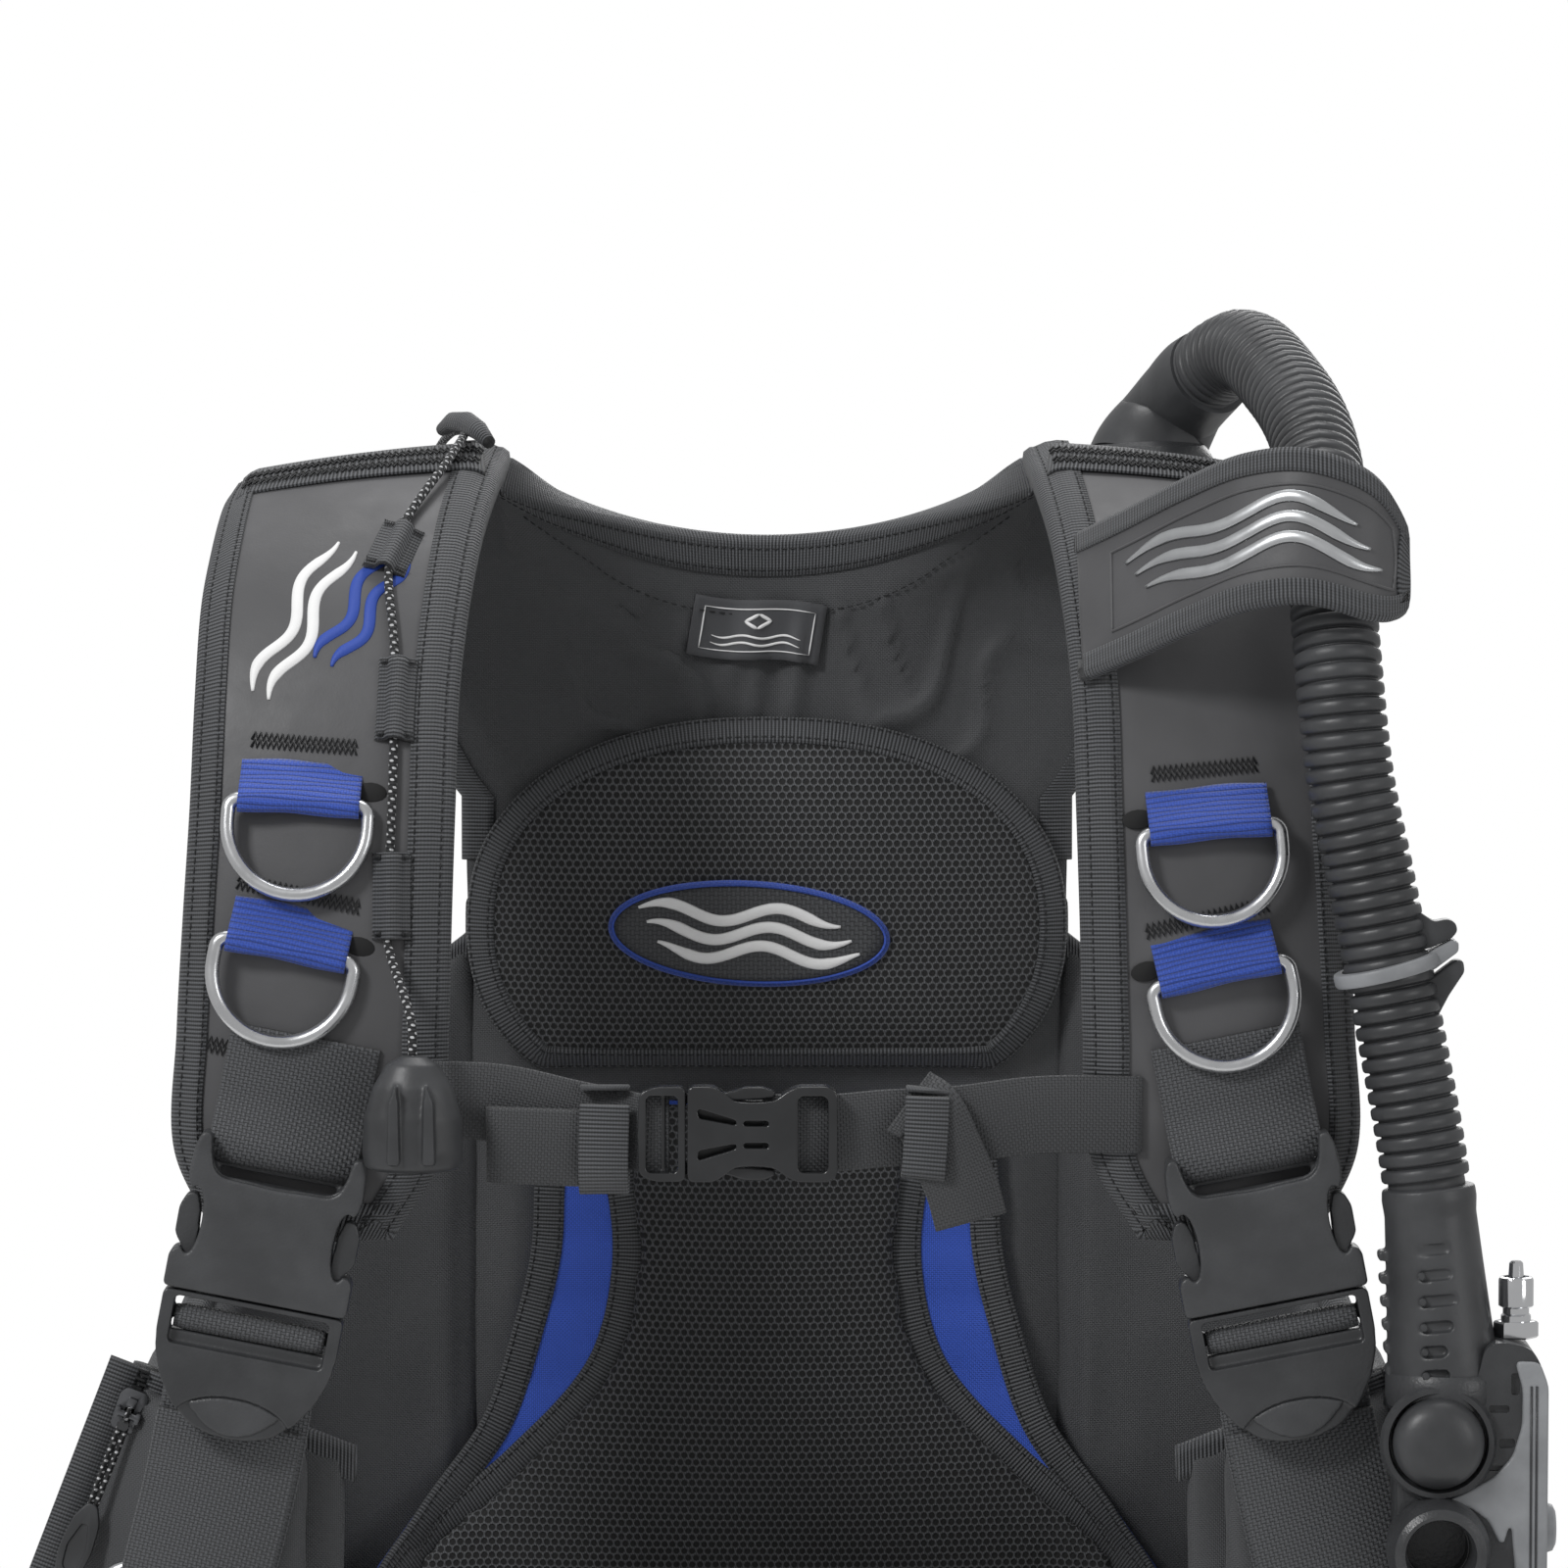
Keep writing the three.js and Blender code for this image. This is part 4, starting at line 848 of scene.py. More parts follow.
def binding(name, point, faces, path, wide, finish, thick=None, closed=False, rear=None):
    """Tape folded over a sheet's edge. path gives (u, v, way) along the edge, way pointing into the sheet;
    wide is how far it reaches on both faces, and rear(u, v), when given, says whether the face nearer the wearer's
    front is the one lower along the normal."""
    t = thick or bpy.context.scene.vest_sizes.tape_thick
    rings = []
    steps = [0.0, 0.12, 0.4, 0.7, 1.0]
    for k, (u, v, way) in enumerate(path):
        w = wide(k / (len(path) - 1)) if callable(wide) else wide
        low, high = faces(u, v)
        n = normal_at(point, u, v)
        front_low = n.y > 0 or (abs(n.y) < 1e-3 and n.z < 0)
        if callable(rear):
            front_low = rear(u, v)
        sign_front, sign_back = (-1, 1) if front_low else (1, -1)
        ui, vi = inset(point, u, v, way, 0.004)
        outward = (point(u, v) - point(ui, vi)).normalized()
        mid = (low + high) / 2
        ring = []
        # the leg on the front face, from its inner edge outwards
        for s in reversed(steps):
            a, b = inset(point, u, v, way, w * s)
            q, m = point(a, b), normal_at(point, a, b)
            f = faces(a, b)
            face = f[0] if front_low else f[1]
            ring.append(q + m * (face + sign_front * t))
        reach = max(t * 1.2, abs(high - low) * 0.12)
        edge = point(u, v)
        front_face, back_face = (low, high) if front_low else (high, low)
        ring.append(edge + n * mix(front_face, back_face, 0.12) + outward * (reach + t))
        ring.append(edge + n * mid + outward * (reach * 1.25 + t))
        ring.append(edge + n * mix(front_face, back_face, 0.88) + outward * (reach + t))
        for s in steps:
            a, b = inset(point, u, v, way, w * s)
            q, m = point(a, b), normal_at(point, a, b)
            f = faces(a, b)
            face = f[1] if front_low else f[0]
            ring.append(q + m * (face + sign_back * t))
        # and back through the sheet, out of sight
        for sign, pick in ((sign_back, 1 if front_low else 0), (sign_front, 0 if front_low else 1)):
            a, b = inset(point, u, v, way, w)
            q, m = point(a, b), normal_at(point, a, b)
            ring.append(q + m * (faces(a, b)[pick] - sign * 0.0006))
        rings.append(ring)
    return sweep(name, rings, finish, closed)


def flat_tape(name, points, normals, sides, wide, thick, finish, closed=False):
    """Tape lying on a surface: its middle line, the surface's normals and its width directions."""
    rings = []
    for p, n, s in zip(points, normals, sides):
        h = wide / 2
        rings.append([p - s * h - n * 0.0008, p - s * h + n * thick * 0.6, p - s * (h - thick) + n * thick,
            p + n * thick * 1.15,
                      p + s * (h - thick) + n * thick, p + s * h + n * thick * 0.6, p + s * h - n * 0.0008])
    return sweep(name, rings, finish, closed)


def stitches(name, points, normals, finish, pitch=0.0030, long=0.0021, wide=0.00055, rise=0.0003):
    """A row of stitches along a line on a surface, each a small lozenge of thread."""
    verts, faces = [], []
    far = lengths(points)
    count = max(2, int(far[-1] / pitch))
    i = 0
    for k in range(count):
        s = (k + 0.5) * far[-1] / count
        while i < len(far) - 2 and far[i + 1] < s:
            i += 1
        t = (s - far[i]) / max(1e-9, far[i + 1] - far[i])
        p, n = points[i].lerp(points[i + 1], t), normals[i].lerp(normals[i + 1], t).normalized()
        way = (points[i + 1] - points[i]).normalized()
        side = way.cross(n).normalized() * wide / 2
        a, b = p - way * long / 2, p + way * long / 2
        base = len(verts)
        verts += [a - n * rise, a + side * 0.6 + n * rise * 0.3, b + side * 0.6 + n * rise * 0.3, b - n * rise,
            b - side * 0.6 + n * rise * 0.3,
                  a - side * 0.6 + n * rise * 0.3, p + side + n * rise, p - side + n * rise, p - n * rise]
        for f in ((0, 1, 6, 7, 5), (3, 4, 7, 6, 2), (1, 2, 6), (5, 7, 4), (0, 8, 2, 1), (8, 3, 2), (0, 5, 4, 8),
            (8, 4, 3)):
            faces.append(tuple(base + q for q in f))
    return keep(name, verts, faces, None, finish)


def zigzag(name, points, normals, finish, tall=0.0032, pitch=0.0019, thread=0.0007):
    """A bar tack: thread going to and fro across a line on a surface."""
    far = lengths(points)
    count = max(4, int(far[-1] / pitch)) * 2
    line, i = [], 0
    for k in range(count + 1):
        s = k * far[-1] / count
        while i < len(far) - 2 and far[i + 1] < s:
            i += 1
        t = (s - far[i]) / max(1e-9, far[i + 1] - far[i])
        p, n = points[i].lerp(points[i + 1], t), normals[i].lerp(normals[i + 1], t).normalized()
        side = n.cross((points[i + 1] - points[i]).normalized())
        line.append(p + side * (tall / 2 if k % 2 else -tall / 2) + n * thread * 0.3)
    return tube(name, line, thread / 2, finish, 5)


def edge_lines(point, faces, path, far, front):
    """Points and normals along a line that runs far metres in from an edge, on the front or rear face."""
    pts, nms = [], []
    for u, v, way in path:
        a, b = inset(point, u, v, way, far)
        n = normal_at(point, a, b)
        f = faces(a, b)
        low = (n.y > 0) == front
        pts.append(point(a, b) + n * (f[0] if low else f[1]) + n * (-1 if low else 1) * bpy.context.scene.vest_sizes.tape_thick * 1.1)
        nms.append(-n if low else n)
    return pts, nms


def inflated(ob, voxel=0.005, pressure=4.0, cap=None, held=None):
    """Lets a padded piece swell as sewn cloth does. held(co) says which points stay where they are."""
    cap = cap or bpy.context.scene.vest_sizes.swell
    modifier(ob, "REMESH", mode="VOXEL", voxel_size=voxel, use_smooth_shade=True)
    rest = [v.co.copy() for v in ob.data.vertices]
    group = ob.vertex_groups.new(name="held")
    for v in ob.data.vertices:
        if held and held(v.co):
            group.add([v.index], 1.0, "REPLACE")
    only(ob)
    cloth = ob.modifiers.new("cloth", "CLOTH")
    cloth.settings.use_pressure = True
    cloth.settings.uniform_pressure_force = pressure
    cloth.settings.effector_weights.gravity = 0
    cloth.settings.vertex_group_mass = "held"
    cloth.settings.quality = 5
    cloth.point_cache.frame_start, cloth.point_cache.frame_end = 1, 20
    for n in range(1, 21):
        bpy.context.scene.frame_set(n)
    shape = ob.evaluated_get(bpy.context.evaluated_depsgraph_get()).data
    moved = [v.co.copy() for v in shape.vertices]
    ob.modifiers.remove(cloth)
    bpy.context.scene.frame_set(1)
    for v, a, b in zip(ob.data.vertices, rest, moved):
        step = b - a
        if step.length > cap:
            step = step.normalized() * cap
        v.co = a + step
    ob.vertex_groups.clear()
    modifier(ob, "SUBSURF", levels=1, render_levels=1)
    ob.data.polygons.foreach_set("use_smooth", [True] * len(ob.data.polygons))
    box_uv(ob)
    return ob


class Finishes:
    """The vest's materials, each made once."""

    made = {}

    @classmethod
    def get(cls, name):
        if name in cls.made:
            return cls.made[name]
        c = bpy.context.scene.vest_colours
        makers = {
            "coated": lambda: coated_fabric("coated_cloth", c.coated),
            "nylon": lambda: nylon_cloth("nylon_cloth", c.nylon),
            "mesh": lambda: spacer_mesh("spacer_mesh", c.mesh),
            "knit": lambda: spacer_mesh("fine_knit", [x * 0.7 for x in c.mesh[:3]] + [1], 1.5),
            "trim": lambda: nylon_cloth("blue_cloth", c.trim, 0.7, 0.7),
            "loop": lambda: ribbed_web("blue_webbing", c.trim),
            "web": lambda: webbing_cloth("harness_webbing", c.web),
            "tape_web": lambda: webbing_cloth("chest_webbing", [x * 1.1 for x in c.web[:3]] + [1], 0.9, 1.0, 0.25,
            2.0),
            "plain_band": lambda: band_cloth("tank_band_cloth", c.web),
            "tape": lambda: grosgrain("binding_tape", c.tape),
            "thread": lambda: ink("sewing_thread", rgb("1b1c1e")),
            "plastic": lambda: moulded("moulded_plastic", c.plastic),
            "gloss": lambda: moulded("glossy_plastic", [x * 0.6 for x in c.plastic[:3]] + [1], (0.16, 0.26), 0.03,
            2.5),
            "pebbled": lambda: moulded("pebbled_plastic", [x * 1.25 for x in c.plastic[:3]] + [1], (0.36, 0.48), 0.16,
            0.8),
            "grey": lambda: moulded("grey_plastic", rgb("8c8e91"), (0.35, 0.48), 0.04),
            "rubber": lambda: rubbery("moulded_rubber", c.rubber),
            "steel": lambda: metal("stainless_steel", c.steel),
            "chrome": lambda: metal("plated_brass", rgb("e3e4e6"), (0.06, 0.14), 0.005),
            "dark_metal": lambda: metal("dark_metal", rgb("6a6b6e"), (0.3, 0.42), 0.02),
            "pale": lambda: ink("pale_print", c.pale),
            "blue_ink": lambda: ink("blue_print", c.trim),
            "silver": lambda: metal("silver_print", rgb("d4d6d8"), (0.3, 0.4), 0.01),
            "label": lambda: nylon_cloth("label_satin", rgb("48494c"), 0.25, 0.25),
            "cord": lambda: thread_cord("braided_cord", rgb("1c1d1f"), rgb("c8c9cb")),
            "check": lambda: webbing_cloth("patch_cloth", rgb("2a2b2d"), 1.5, 1.5, 0.2, 3.0),
        }
        cls.made[name] = makers[name]()
        return cls.made[name]


get = Finishes.get


class Builder(bpy.types.Operator):
    """Base of the vest's operators."""
    bl_options = {"REGISTER", "UNDO"}

    def execute(self, context):
        self.build(context.scene.vest_sizes)
        return {"FINISHED"}


def register_builder(idname, label):
    """Gives a build function's class its operator names."""
    def wrap(cls):
        cls.bl_idname, cls.bl_label = idname, label
        BUILDERS.append(cls)
        return cls
    return wrap


BUILDERS = []


# ---- stage: camera first, then the floor and the lights ----
@register_builder("vest.stage", "Stage")
class Stage(Builder):
    """Camera, floor and soft studio light"""

    def build(self, sizes):
        scene = bpy.context.scene
        cam = bpy.data.cameras.new("camera")
        cam.lens, cam.sensor_width, cam.clip_end = 178.4, 36, 50
        ob = bpy.data.objects.new("camera", cam)
        ob.location = (0.0059, -2.6937, 0.3294)
        ob.rotation_euler = (math.radians(86), 0, 0)
        scene.collection.objects.link(ob)
        scene.camera = ob
        scene.view_settings.view_transform = "Standard"

        low = CAD_BOX[0][2] - 0.0005
        bpy.ops.object.select_all(action="DESELECT")
        bpy.ops.mesh.primitive_circle_add(vertices=96, radius=0.64, fill_type="NGON", location=(0, -0.02, low))
        floor = bpy.context.view_layer.objects.active
        floor.name = "floor"
        bpy.ops.object.transform_apply(location=True)
        f = Finish("pale_floor")
        floor.data.materials.append(f.done(f.blend(f.cloud(80), rgb("dcdcdb"), rgb("e4e4e3")),
            f.cloud(20).ramp(0.2, 0.8, 0.6, 0.75)))

        world = bpy.data.worlds.new("studio")
        world.use_nodes = True
        nodes, links = world.node_tree.nodes, world.node_tree.links
        seen, soft, mixed, path = nodes["Background"], nodes.new("ShaderNodeBackground"), nodes.new("ShaderNodeMixShader"), nodes.new("ShaderNodeLightPath")
        seen.inputs[0].default_value = soft.inputs[0].default_value = (1, 1, 1, 1)
        seen.inputs[1].default_value, soft.inputs[1].default_value = 1.0, 0.45
        links.new(path.outputs["Is Camera Ray"], mixed.inputs[0])
        links.new(soft.outputs[0], mixed.inputs[1])
        links.new(seen.outputs[0], mixed.inputs[2])
        links.new(mixed.outputs[0], nodes["World Output"].inputs[0])
        scene.world = world

        def panel(name, at, to, size, power):
            light = bpy.data.lights.new(name, "AREA")
            light.shape, light.size, light.size_y, light.energy = "RECTANGLE", size[0], size[1], power
            lamp = bpy.data.objects.new(name, light)
            lamp.location = at
            lamp.rotation_euler = (Vector(to) - Vector(at)).to_track_quat("-Z", "Y").to_euler()
            scene.collection.objects.link(lamp)

        panel("key_light", (-1.3, -1.6, 1.5), (0, -0.1, 0.05), (0.5, 0.5), 27)
        panel("fill_light", (1.7, -1.5, 0.5), (0, -0.1, 0.05), (0.7, 0.9), 5)
        panel("top_light", (0.1, 0.2, 1.8), (0, -0.1, 0.1), (1.1, 0.6), 12)
        panel("back_light", (0.6, 1.9, 0.9), (0, 0.0, 0.05), (1.2, 1.0), 12)


# ---- air cell ----
def radiating(p):
    """Creases fan out from the neck label and round the top of the upper pad."""
    x, z = p.x / MM, p.z / MM
    if z < 130:
        return 0.0
    out = 0.0
    for cx, cz, turns, reach in ((0, 262, 17, 75), (0, 95, 22, 60)):
        dx, dz = x - cx, z - cz
        far = math.hypot(dx, dz)
        near = far - (35 if cz > 200 else 78)
        ring = math.exp(-((near - 16) / reach * 1.6) ** 2)
        wave = math.sin(turns * 0.5 * math.atan2(dz, dx) + 2.6 * noise.noise(Vector((x / 34, z / 46, 1))) + cz)
        out += ring * (1.5 * (1 - abs(wave)) ** 2.2 - 0.3)
    return out * smooth(130, 175, z)


@register_builder("vest.air_cell", "Air cell")
class AirCell(Builder):
    """Air cell behind the wearer, its wings, shoulder covers and neck binding"""

    def build(self, sizes):
        cell = shell("air_cell", cell_point, 110, 130, cell_faces, get("nylon"))
        for v in cell.data.vertices:
            x, z = v.co.x / MM, v.co.z / MM
            if v.normal.y < -0.2:
                top = cell_point(clamp(0.5 + x / 356), 1.0).z / MM
                v.co += v.normal * smooth(15, 32,
                    top - z) * (3.2 * radiating(v.co) + 1.2 * noise.noise(Vector((x / 26, z / 34, 3)))) * MM
        box_uv(cell)
        ride(cell, "vest", "nylon", "air_cell_back")

        lo, hi = 0.5 - 88 / 356, 0.5 + 88 / 356
        neck = [(mix(lo - 0.003, hi + 0.003, k / 90), 1.0, (0, -1)) for k in range(91)]
        tape = binding("neck_binding", cell_point, lambda u, v: cell_faces(0.5, v), neck, 0.0115, get("tape"),
            rear=lambda u, v: False)
        ride(tape, "vest", "webbing")
        for n, far in enumerate((0.0022, 0.0095)):
            pts, nms = edge_lines(cell_point, lambda u, v: cell_faces(0.5, v), neck, far, True)
            ride(stitches("neck_stitches_%d" % n, pts, nms, get("thread")), "vest", "webbing")
        # second seam, where the neck facing is sewn down
        pts, nms = [], []
        for k in range(91):
            u = mix(lo + 0.01, hi - 0.01, k / 90)
            a, b = inset(cell_point, u, 1.0, (0, -1), 0.021 + 0.004 * bulge(k / 90))
            n = normal_at(cell_point, a, b)
            pts.append(cell_point(a, b) + n * (cell_faces(a, b)[1] + 0.0009))
            nms.append(n)
        ride(stitches("neck_seam", pts, nms, get("thread"), 0.0034), "vest", "webbing")

        for name, near, way, far in (("left", 1.0, (-1, 0), 1), ("right", 0.0, (1, 0), 0)):
            path = [(near, mix(0.42, 0.985, k / 80), way) for k in range(81)]
            ride(binding("armhole_binding_" + name, cell_point, cell_faces, path, 0.009, get("tape"), rear=lambda u,
                v: False), "vest", "webbing")

            # coated cover over the shoulder, behind the crest seam
            def cover(u, v, side=far):
                x = mix(0.79, 0.994, u) if side else mix(0.21, 0.006, u)
                return cell_point(x, mix(1.0, 0.88, v))

            def faces(u, v, side=far):
                e = 0.0066 + 0.0012 * bulge(u) * (1 if v < 0.9 else 0.4)
                return (-e, -e + 0.0016) if side else (e - 0.0016, e)
            piece = shell("shoulder_cover_" + name, cover, 24, 30, faces, get("coated"))
            ride(piece, "vest", "coated_fabric")

        wing = shell("wing_cloth_left", wing_point, 34, 60, self.wing_faces, get("nylon"))
        inflated(wing, 0.0052, 4.0, 0.004, lambda p: p.x < 0.108)
        for v in wing.data.vertices:
            x, z = v.co.x / MM, v.co.z / MM
            fold = noise.noise(Vector((x / 38, v.co.y / MM / 38, z / 60))) + 0.6 * noise.noise(Vector((x / 17,
                v.co.y / MM / 17 + 5, z / 30)))
            v.co += v.normal * fold * 1.5 * MM
        box_uv(wing)
        other = mirrored(wing, "wing_cloth_right")
        for ob in (wing, other):
            ride(ob, "vest", "nylon", ob.name.replace("wing_cloth", "air_cell_wing"))
        path = [(0.0, k / 80, (1, 0)) for k in range(81)]
        rim = binding("wing_binding_left", wing_point, lambda u, v: (-0.004, 0.004), path, 0.009, get("tape"),
            rear=lambda u, v: True)
        for ob in (rim, mirrored(rim, "wing_binding_right")):
            ride(ob, "vest", "webbing")

    @staticmethod
    def wing_faces(u, v):
        t = (5 + 8 * bulge(min(1, 0.08 + v)) * bulge(mix(0.04, 0.96, u)) ** 0.5) * MM
        return -t, t


# ---- shoulder straps ----
@register_builder("vest.straps", "Shoulder straps")
class Straps(Builder):
    """Padded shoulder straps with bound edges, stitch rows and crest seams"""

    @staticmethod
    def faces(u, v):
        edge = smooth(0, 0.09, min(u, 1 - u)) * smooth(0, 0.03, 1 - v)
        return mix(0.0025, -0.0006, edge), mix(0.0095, 0.0138, edge)

    def build(self, sizes):
        point, faces = strap_point, self.faces
        strap = shell("strap_cloth_left", point, 40, 150, faces, get("coated"), get("knit"))
        wide = sizes.tape_wide
        path = [(0.0, k / 110, (1, 0)) for k in range(110)]
        path += [(0.0, 1.0, (0.7, -0.7))]
        path += [(k / 24, 1.0, (0, -1)) for k in range(1, 24)]
        path += [(1.0, 1.0, (-0.7, -0.7))]
        path += [(1.0, 1 - k / 110, (-1, 0)) for k in range(1, 111)]
        reach = lambda t: mix(wide, 0.0095, smooth(0.42, 0.58, t))
        tape = binding("strap_binding_left", point, faces, path, reach, get("tape"))
        rows = []
        for n, share in enumerate((0.16, 0.84)):
            parts = []
            for w, run in ((wide, path[:111]), (0.0095, path[-111:])):
                pts, nms = edge_lines(point, faces, run, w * share, True)
                parts.append(stitches("row", pts, nms, get("thread")))
            rows.append(joined(parts, "strap_stitches_left_%d" % n))
        crest = []
        pts = []
        for k in range(33):
            u = mix(0.05, 0.965, k / 32)
            pts.append(point(u, 0.066) + normal_at(point, u, 0.066) * (faces(u, 0.066)[0] - 0.0006))
        crest_tape = ribbon("crest_tape_left", pts, (point(0.5, 0.1) - point(0.5, 0.03)).normalized(), 0.024, 0.0011,
            get("tape"))
        for z, inset_u in ((0.018, 0.06), (0.0225, 0.06), (0.033, 0.06), (0.0375, 0.06)):
            pts, nms = [], []
            for k in range(41):
                u = mix(inset_u, 0.94, k / 40)
                v = z / 0.42
                n = normal_at(point, u, v)
                pts.append(point(u, v) + n * (faces(u, v)[0] - 0.0015))
                nms.append(-n)
            crest.append(zigzag("crest", pts, nms, get("thread"), 0.0034, 0.0021, 0.0009))
        crest = joined(crest, "crest_seam_left")
        for ob in [strap, tape, crest, crest_tape] + rows:
            other = mirrored(ob, ob.name.replace("left", "right"))
            for piece in (ob, other):
                slot = "coated_fabric" if "cloth" in piece.name else "webbing"
                ride(piece, "vest", slot)
        for side in ("left", "right"):
            piece = bpy.data.objects["strap_cloth_" + side]
            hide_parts("shoulder_strap_" + side)


# ---- D-rings and their loops ----
RINGS = {"upper_left": (140, 0.49, 3), "lower_left": (94.5, 0.5, 10), "upper_right": (148, 0.58, 2),
    "lower_right": (102, 0.6, 9)}
WIRE, RING_LIFT = 4.6, 4.9


def ring_line(wide, drop, steps=28):
    """A D's centre line in X-Z: the straight bar on top, a round bow below. Millimetres."""
    half, corner = wide / 2, 3.4
    side = []
    for k in range(1, 7):
        side.append((half - corner + corner * math.sin(math.pi / 2 * k / 6),
            -corner + corner * math.cos(math.pi / 2 * k / 6)))
    side.append((half, (half - drop - corner) / 2))
    a, b, c, d = (half, half - drop), (half, 0.45 * half - drop), (0.55 * half, -drop), (0.0, -drop)
    for k in range(steps // 2 + 1):
        t = k / (steps // 2)
        side.append(tuple((1 - t) ** 3 * p + 3 * t * (1 - t) ** 2 * q + 3 * t * t * (1 - t) * r + t ** 3 * s for p, q,
            r, s in zip(a, b, c, d)))
    bar = [(x, 0.0) for x in (-half + corner, -half / 2, 0, half / 2, half - corner)]
    return bar + side + [(-x, z) for x, z in reversed(side[:-1])]


def d_ring(name, wide, drop, thick, place):
    pts = [Vector((x, 0, z)) for x, z in ring_line(wide, drop)]
    rings = []
    n = len(pts)
    for i, p in enumerate(pts):
        way = (pts[(i + 1) % n] - pts[i - 1]).normalized()
        out = Vector((way.z, 0, -way.x))
        rings.append([p + (out * math.cos(2 * math.pi * k / 16) + Vector((0, 1,
            0)) * math.sin(2 * math.pi * k / 16)) * thick / 2 for k in range(16)])
    ob = sweep(name, [[q * 1.0 for q in r] for r in rings], get("steel"), closed=True)
    return placed(ob, place)


@register_builder("vest.d_rings", "D-rings")
class DRings(Builder):
    """Steel D-rings in sewn blue webbing loops"""

    def build(self, sizes):
        for name, (z, u, tilt) in RINGS.items():
            place = on_strap(u, z, RING_LIFT, tilt)
            flip = Matrix.Diagonal((-1, 1, 1, 1)) if name.endswith("right") else Matrix.Identity(4)
            lean = Matrix.Rotation(math.radians(0.6), 4, "X")
            ring = d_ring("d_ring_" + name, 45, 30, WIRE, flip @ place @ lean)
            ring.name = "steel_ring_" + name
            ride(ring, "d_ring_" + name, "stainless", "d_ring_" + name)

            # the loop: sewn flat above, over the bar and back under it
            r = WIRE / 2 + 1.6
            line = [(RING_LIFT - 0.9, 14.5), (RING_LIFT - 1.3, 11.5), (1.6, 8.5), (-1.0, 5.2), (-2.6, 2.4)]
            line += [(-r * math.cos(a), -r * math.sin(a)) for a in (math.radians(d) for d in (-8, 25, 55, 85, 115))]
            line += [(RING_LIFT - 1.4, -2.2)]
            inner = [(RING_LIFT + 0.5, -2.0), (1.8, -2.2), (0.6, 0.0), (1.4, 4.5), (RING_LIFT + 0.2, 11.5),
                (RING_LIFT + 0.4, 14.4)]
            section = line + inner
            rings = []
            for k in range(25):
                t = k / 24
                x = mix(-19.6, 19.6, t)
                edge = 0.5 * (1 - min(1, min(t, 1 - t) * 14))
                bow = 1.0 * (2 * t - 1) ** 2
                rings.append([Vector((x, y + edge * (0.8 if y < 2 else 0),
                    z - bow * (0.5 if z > 0 else 0.3) + 0.25 * math.sin(9 * t + z))) for y, z in section])
            loop = sweep("ring_loop_" + name, rings, get("loop"))
            placed(loop, flip @ place)
            ride(loop, "vest", "blue_fabric", "d_ring_loop_" + name)

            # bar tacks above the loop, the ring's under-patch and the thread rows
            tacks = []
            for dz, a, b in ((17.5, -17, 17), (20.0, -17, 17)) if name.startswith("upper") else ((16.4, -20, 20),
                (18.8, -20, 20)):
                tacks.append(self.row(place, a, b, dz))
            if name.startswith("lower"):
                for dz in (-34.5, -37.0):
                    tacks += [self.row(place, -21, -4, dz), self.row(place, 3, 21, dz)]
            made = joined(tacks, "ring_tacks_" + name)
            if name.endswith("right"):
                made.data.transform(flip)
                made.data.flip_normals()
            ride(made, "vest", "webbing")
            oval = slab("ring_patch_" + name, [(5.2 * math.cos(t / 16 * 2 * math.pi) ,
                3.2 * math.sin(t / 16 * 2 * math.pi)) for t in range(16)], -0.6, 0.9, get("knit"))
            eased(oval, 0.3)
            oval.data.transform(Matrix.Translation((-22.6, RING_LIFT - 1.5, 5.5)))
            placed(oval, flip @ place)
            ride(oval, "vest", "spacer_mesh")

    @staticmethod
    def row(place, a, b, dz):
        """A zig-zag row on the strap's face beside a loop."""
        pts, nms = [], []
        for k in range(13):
            at = place @ (Vector((mix(a, b, k / 12), 0, dz)) * MM)
            u, v = nearest(at)
            n = normal_at(strap_point, u, v)
            pts.append(strap_point(u, v) + n * (Straps.faces(u, v)[0] - 0.0002))
            nms.append(-n)
        return zigzag("row", pts, nms, get("thread"), 0.0026, 0.0018, 0.0008)


def nearest(at):
    """The strap's (u, v) in front of a point."""
    low, high = 0.0, 1.0
    u = 0.5
    for _ in range(3):
        low, high = 0.0, 1.0
        for _ in range(30):
            m = (low + high) / 2
            if strap_point(u, m).z > at.z:
                low = m
            else:
                high = m
        a, b = strap_point(0, low), strap_point(1, low)
        u = clamp((at.x - a.x) / (b.x - a.x))
    return u, low


# ---- back pads and side panels ----
class Skin:
    """The outermost face of some pieces, met from the front."""

    def __init__(self, *objects):
        from mathutils.bvhtree import BVHTree
        graph = bpy.context.evaluated_depsgraph_get()
        self.trees = [BVHTree.FromObject(ob, graph) for ob in objects]

    def at(self, x, z):
        """Point and normal in front at x, z in metres."""
        best = None
        for tree in self.trees:
            hit, normal, _, _ = tree.ray_cast(Vector((x, -1, z)), Vector((0, 1, 0)))
            if hit and (best is None or hit.y < best[0].y):
                best = (hit, normal if normal.y < 0 else -normal)
        return best or (Vector((x, -0.03, z)), FRONT.copy())

    def line(self, pairs, lift=0.0):
        hits = [self.at(x * MM, z * MM) for x, z in pairs]
        nms = [h[1] for h in hits]
        nms = [sum((nms[min(max(i + d, 0), len(nms) - 1)] for d in (-2, -1, 0, 1, 2)),
            Vector()).normalized() for i in range(len(nms))]
        return [h[0] + n * lift for h, n in zip(hits, nms)], nms


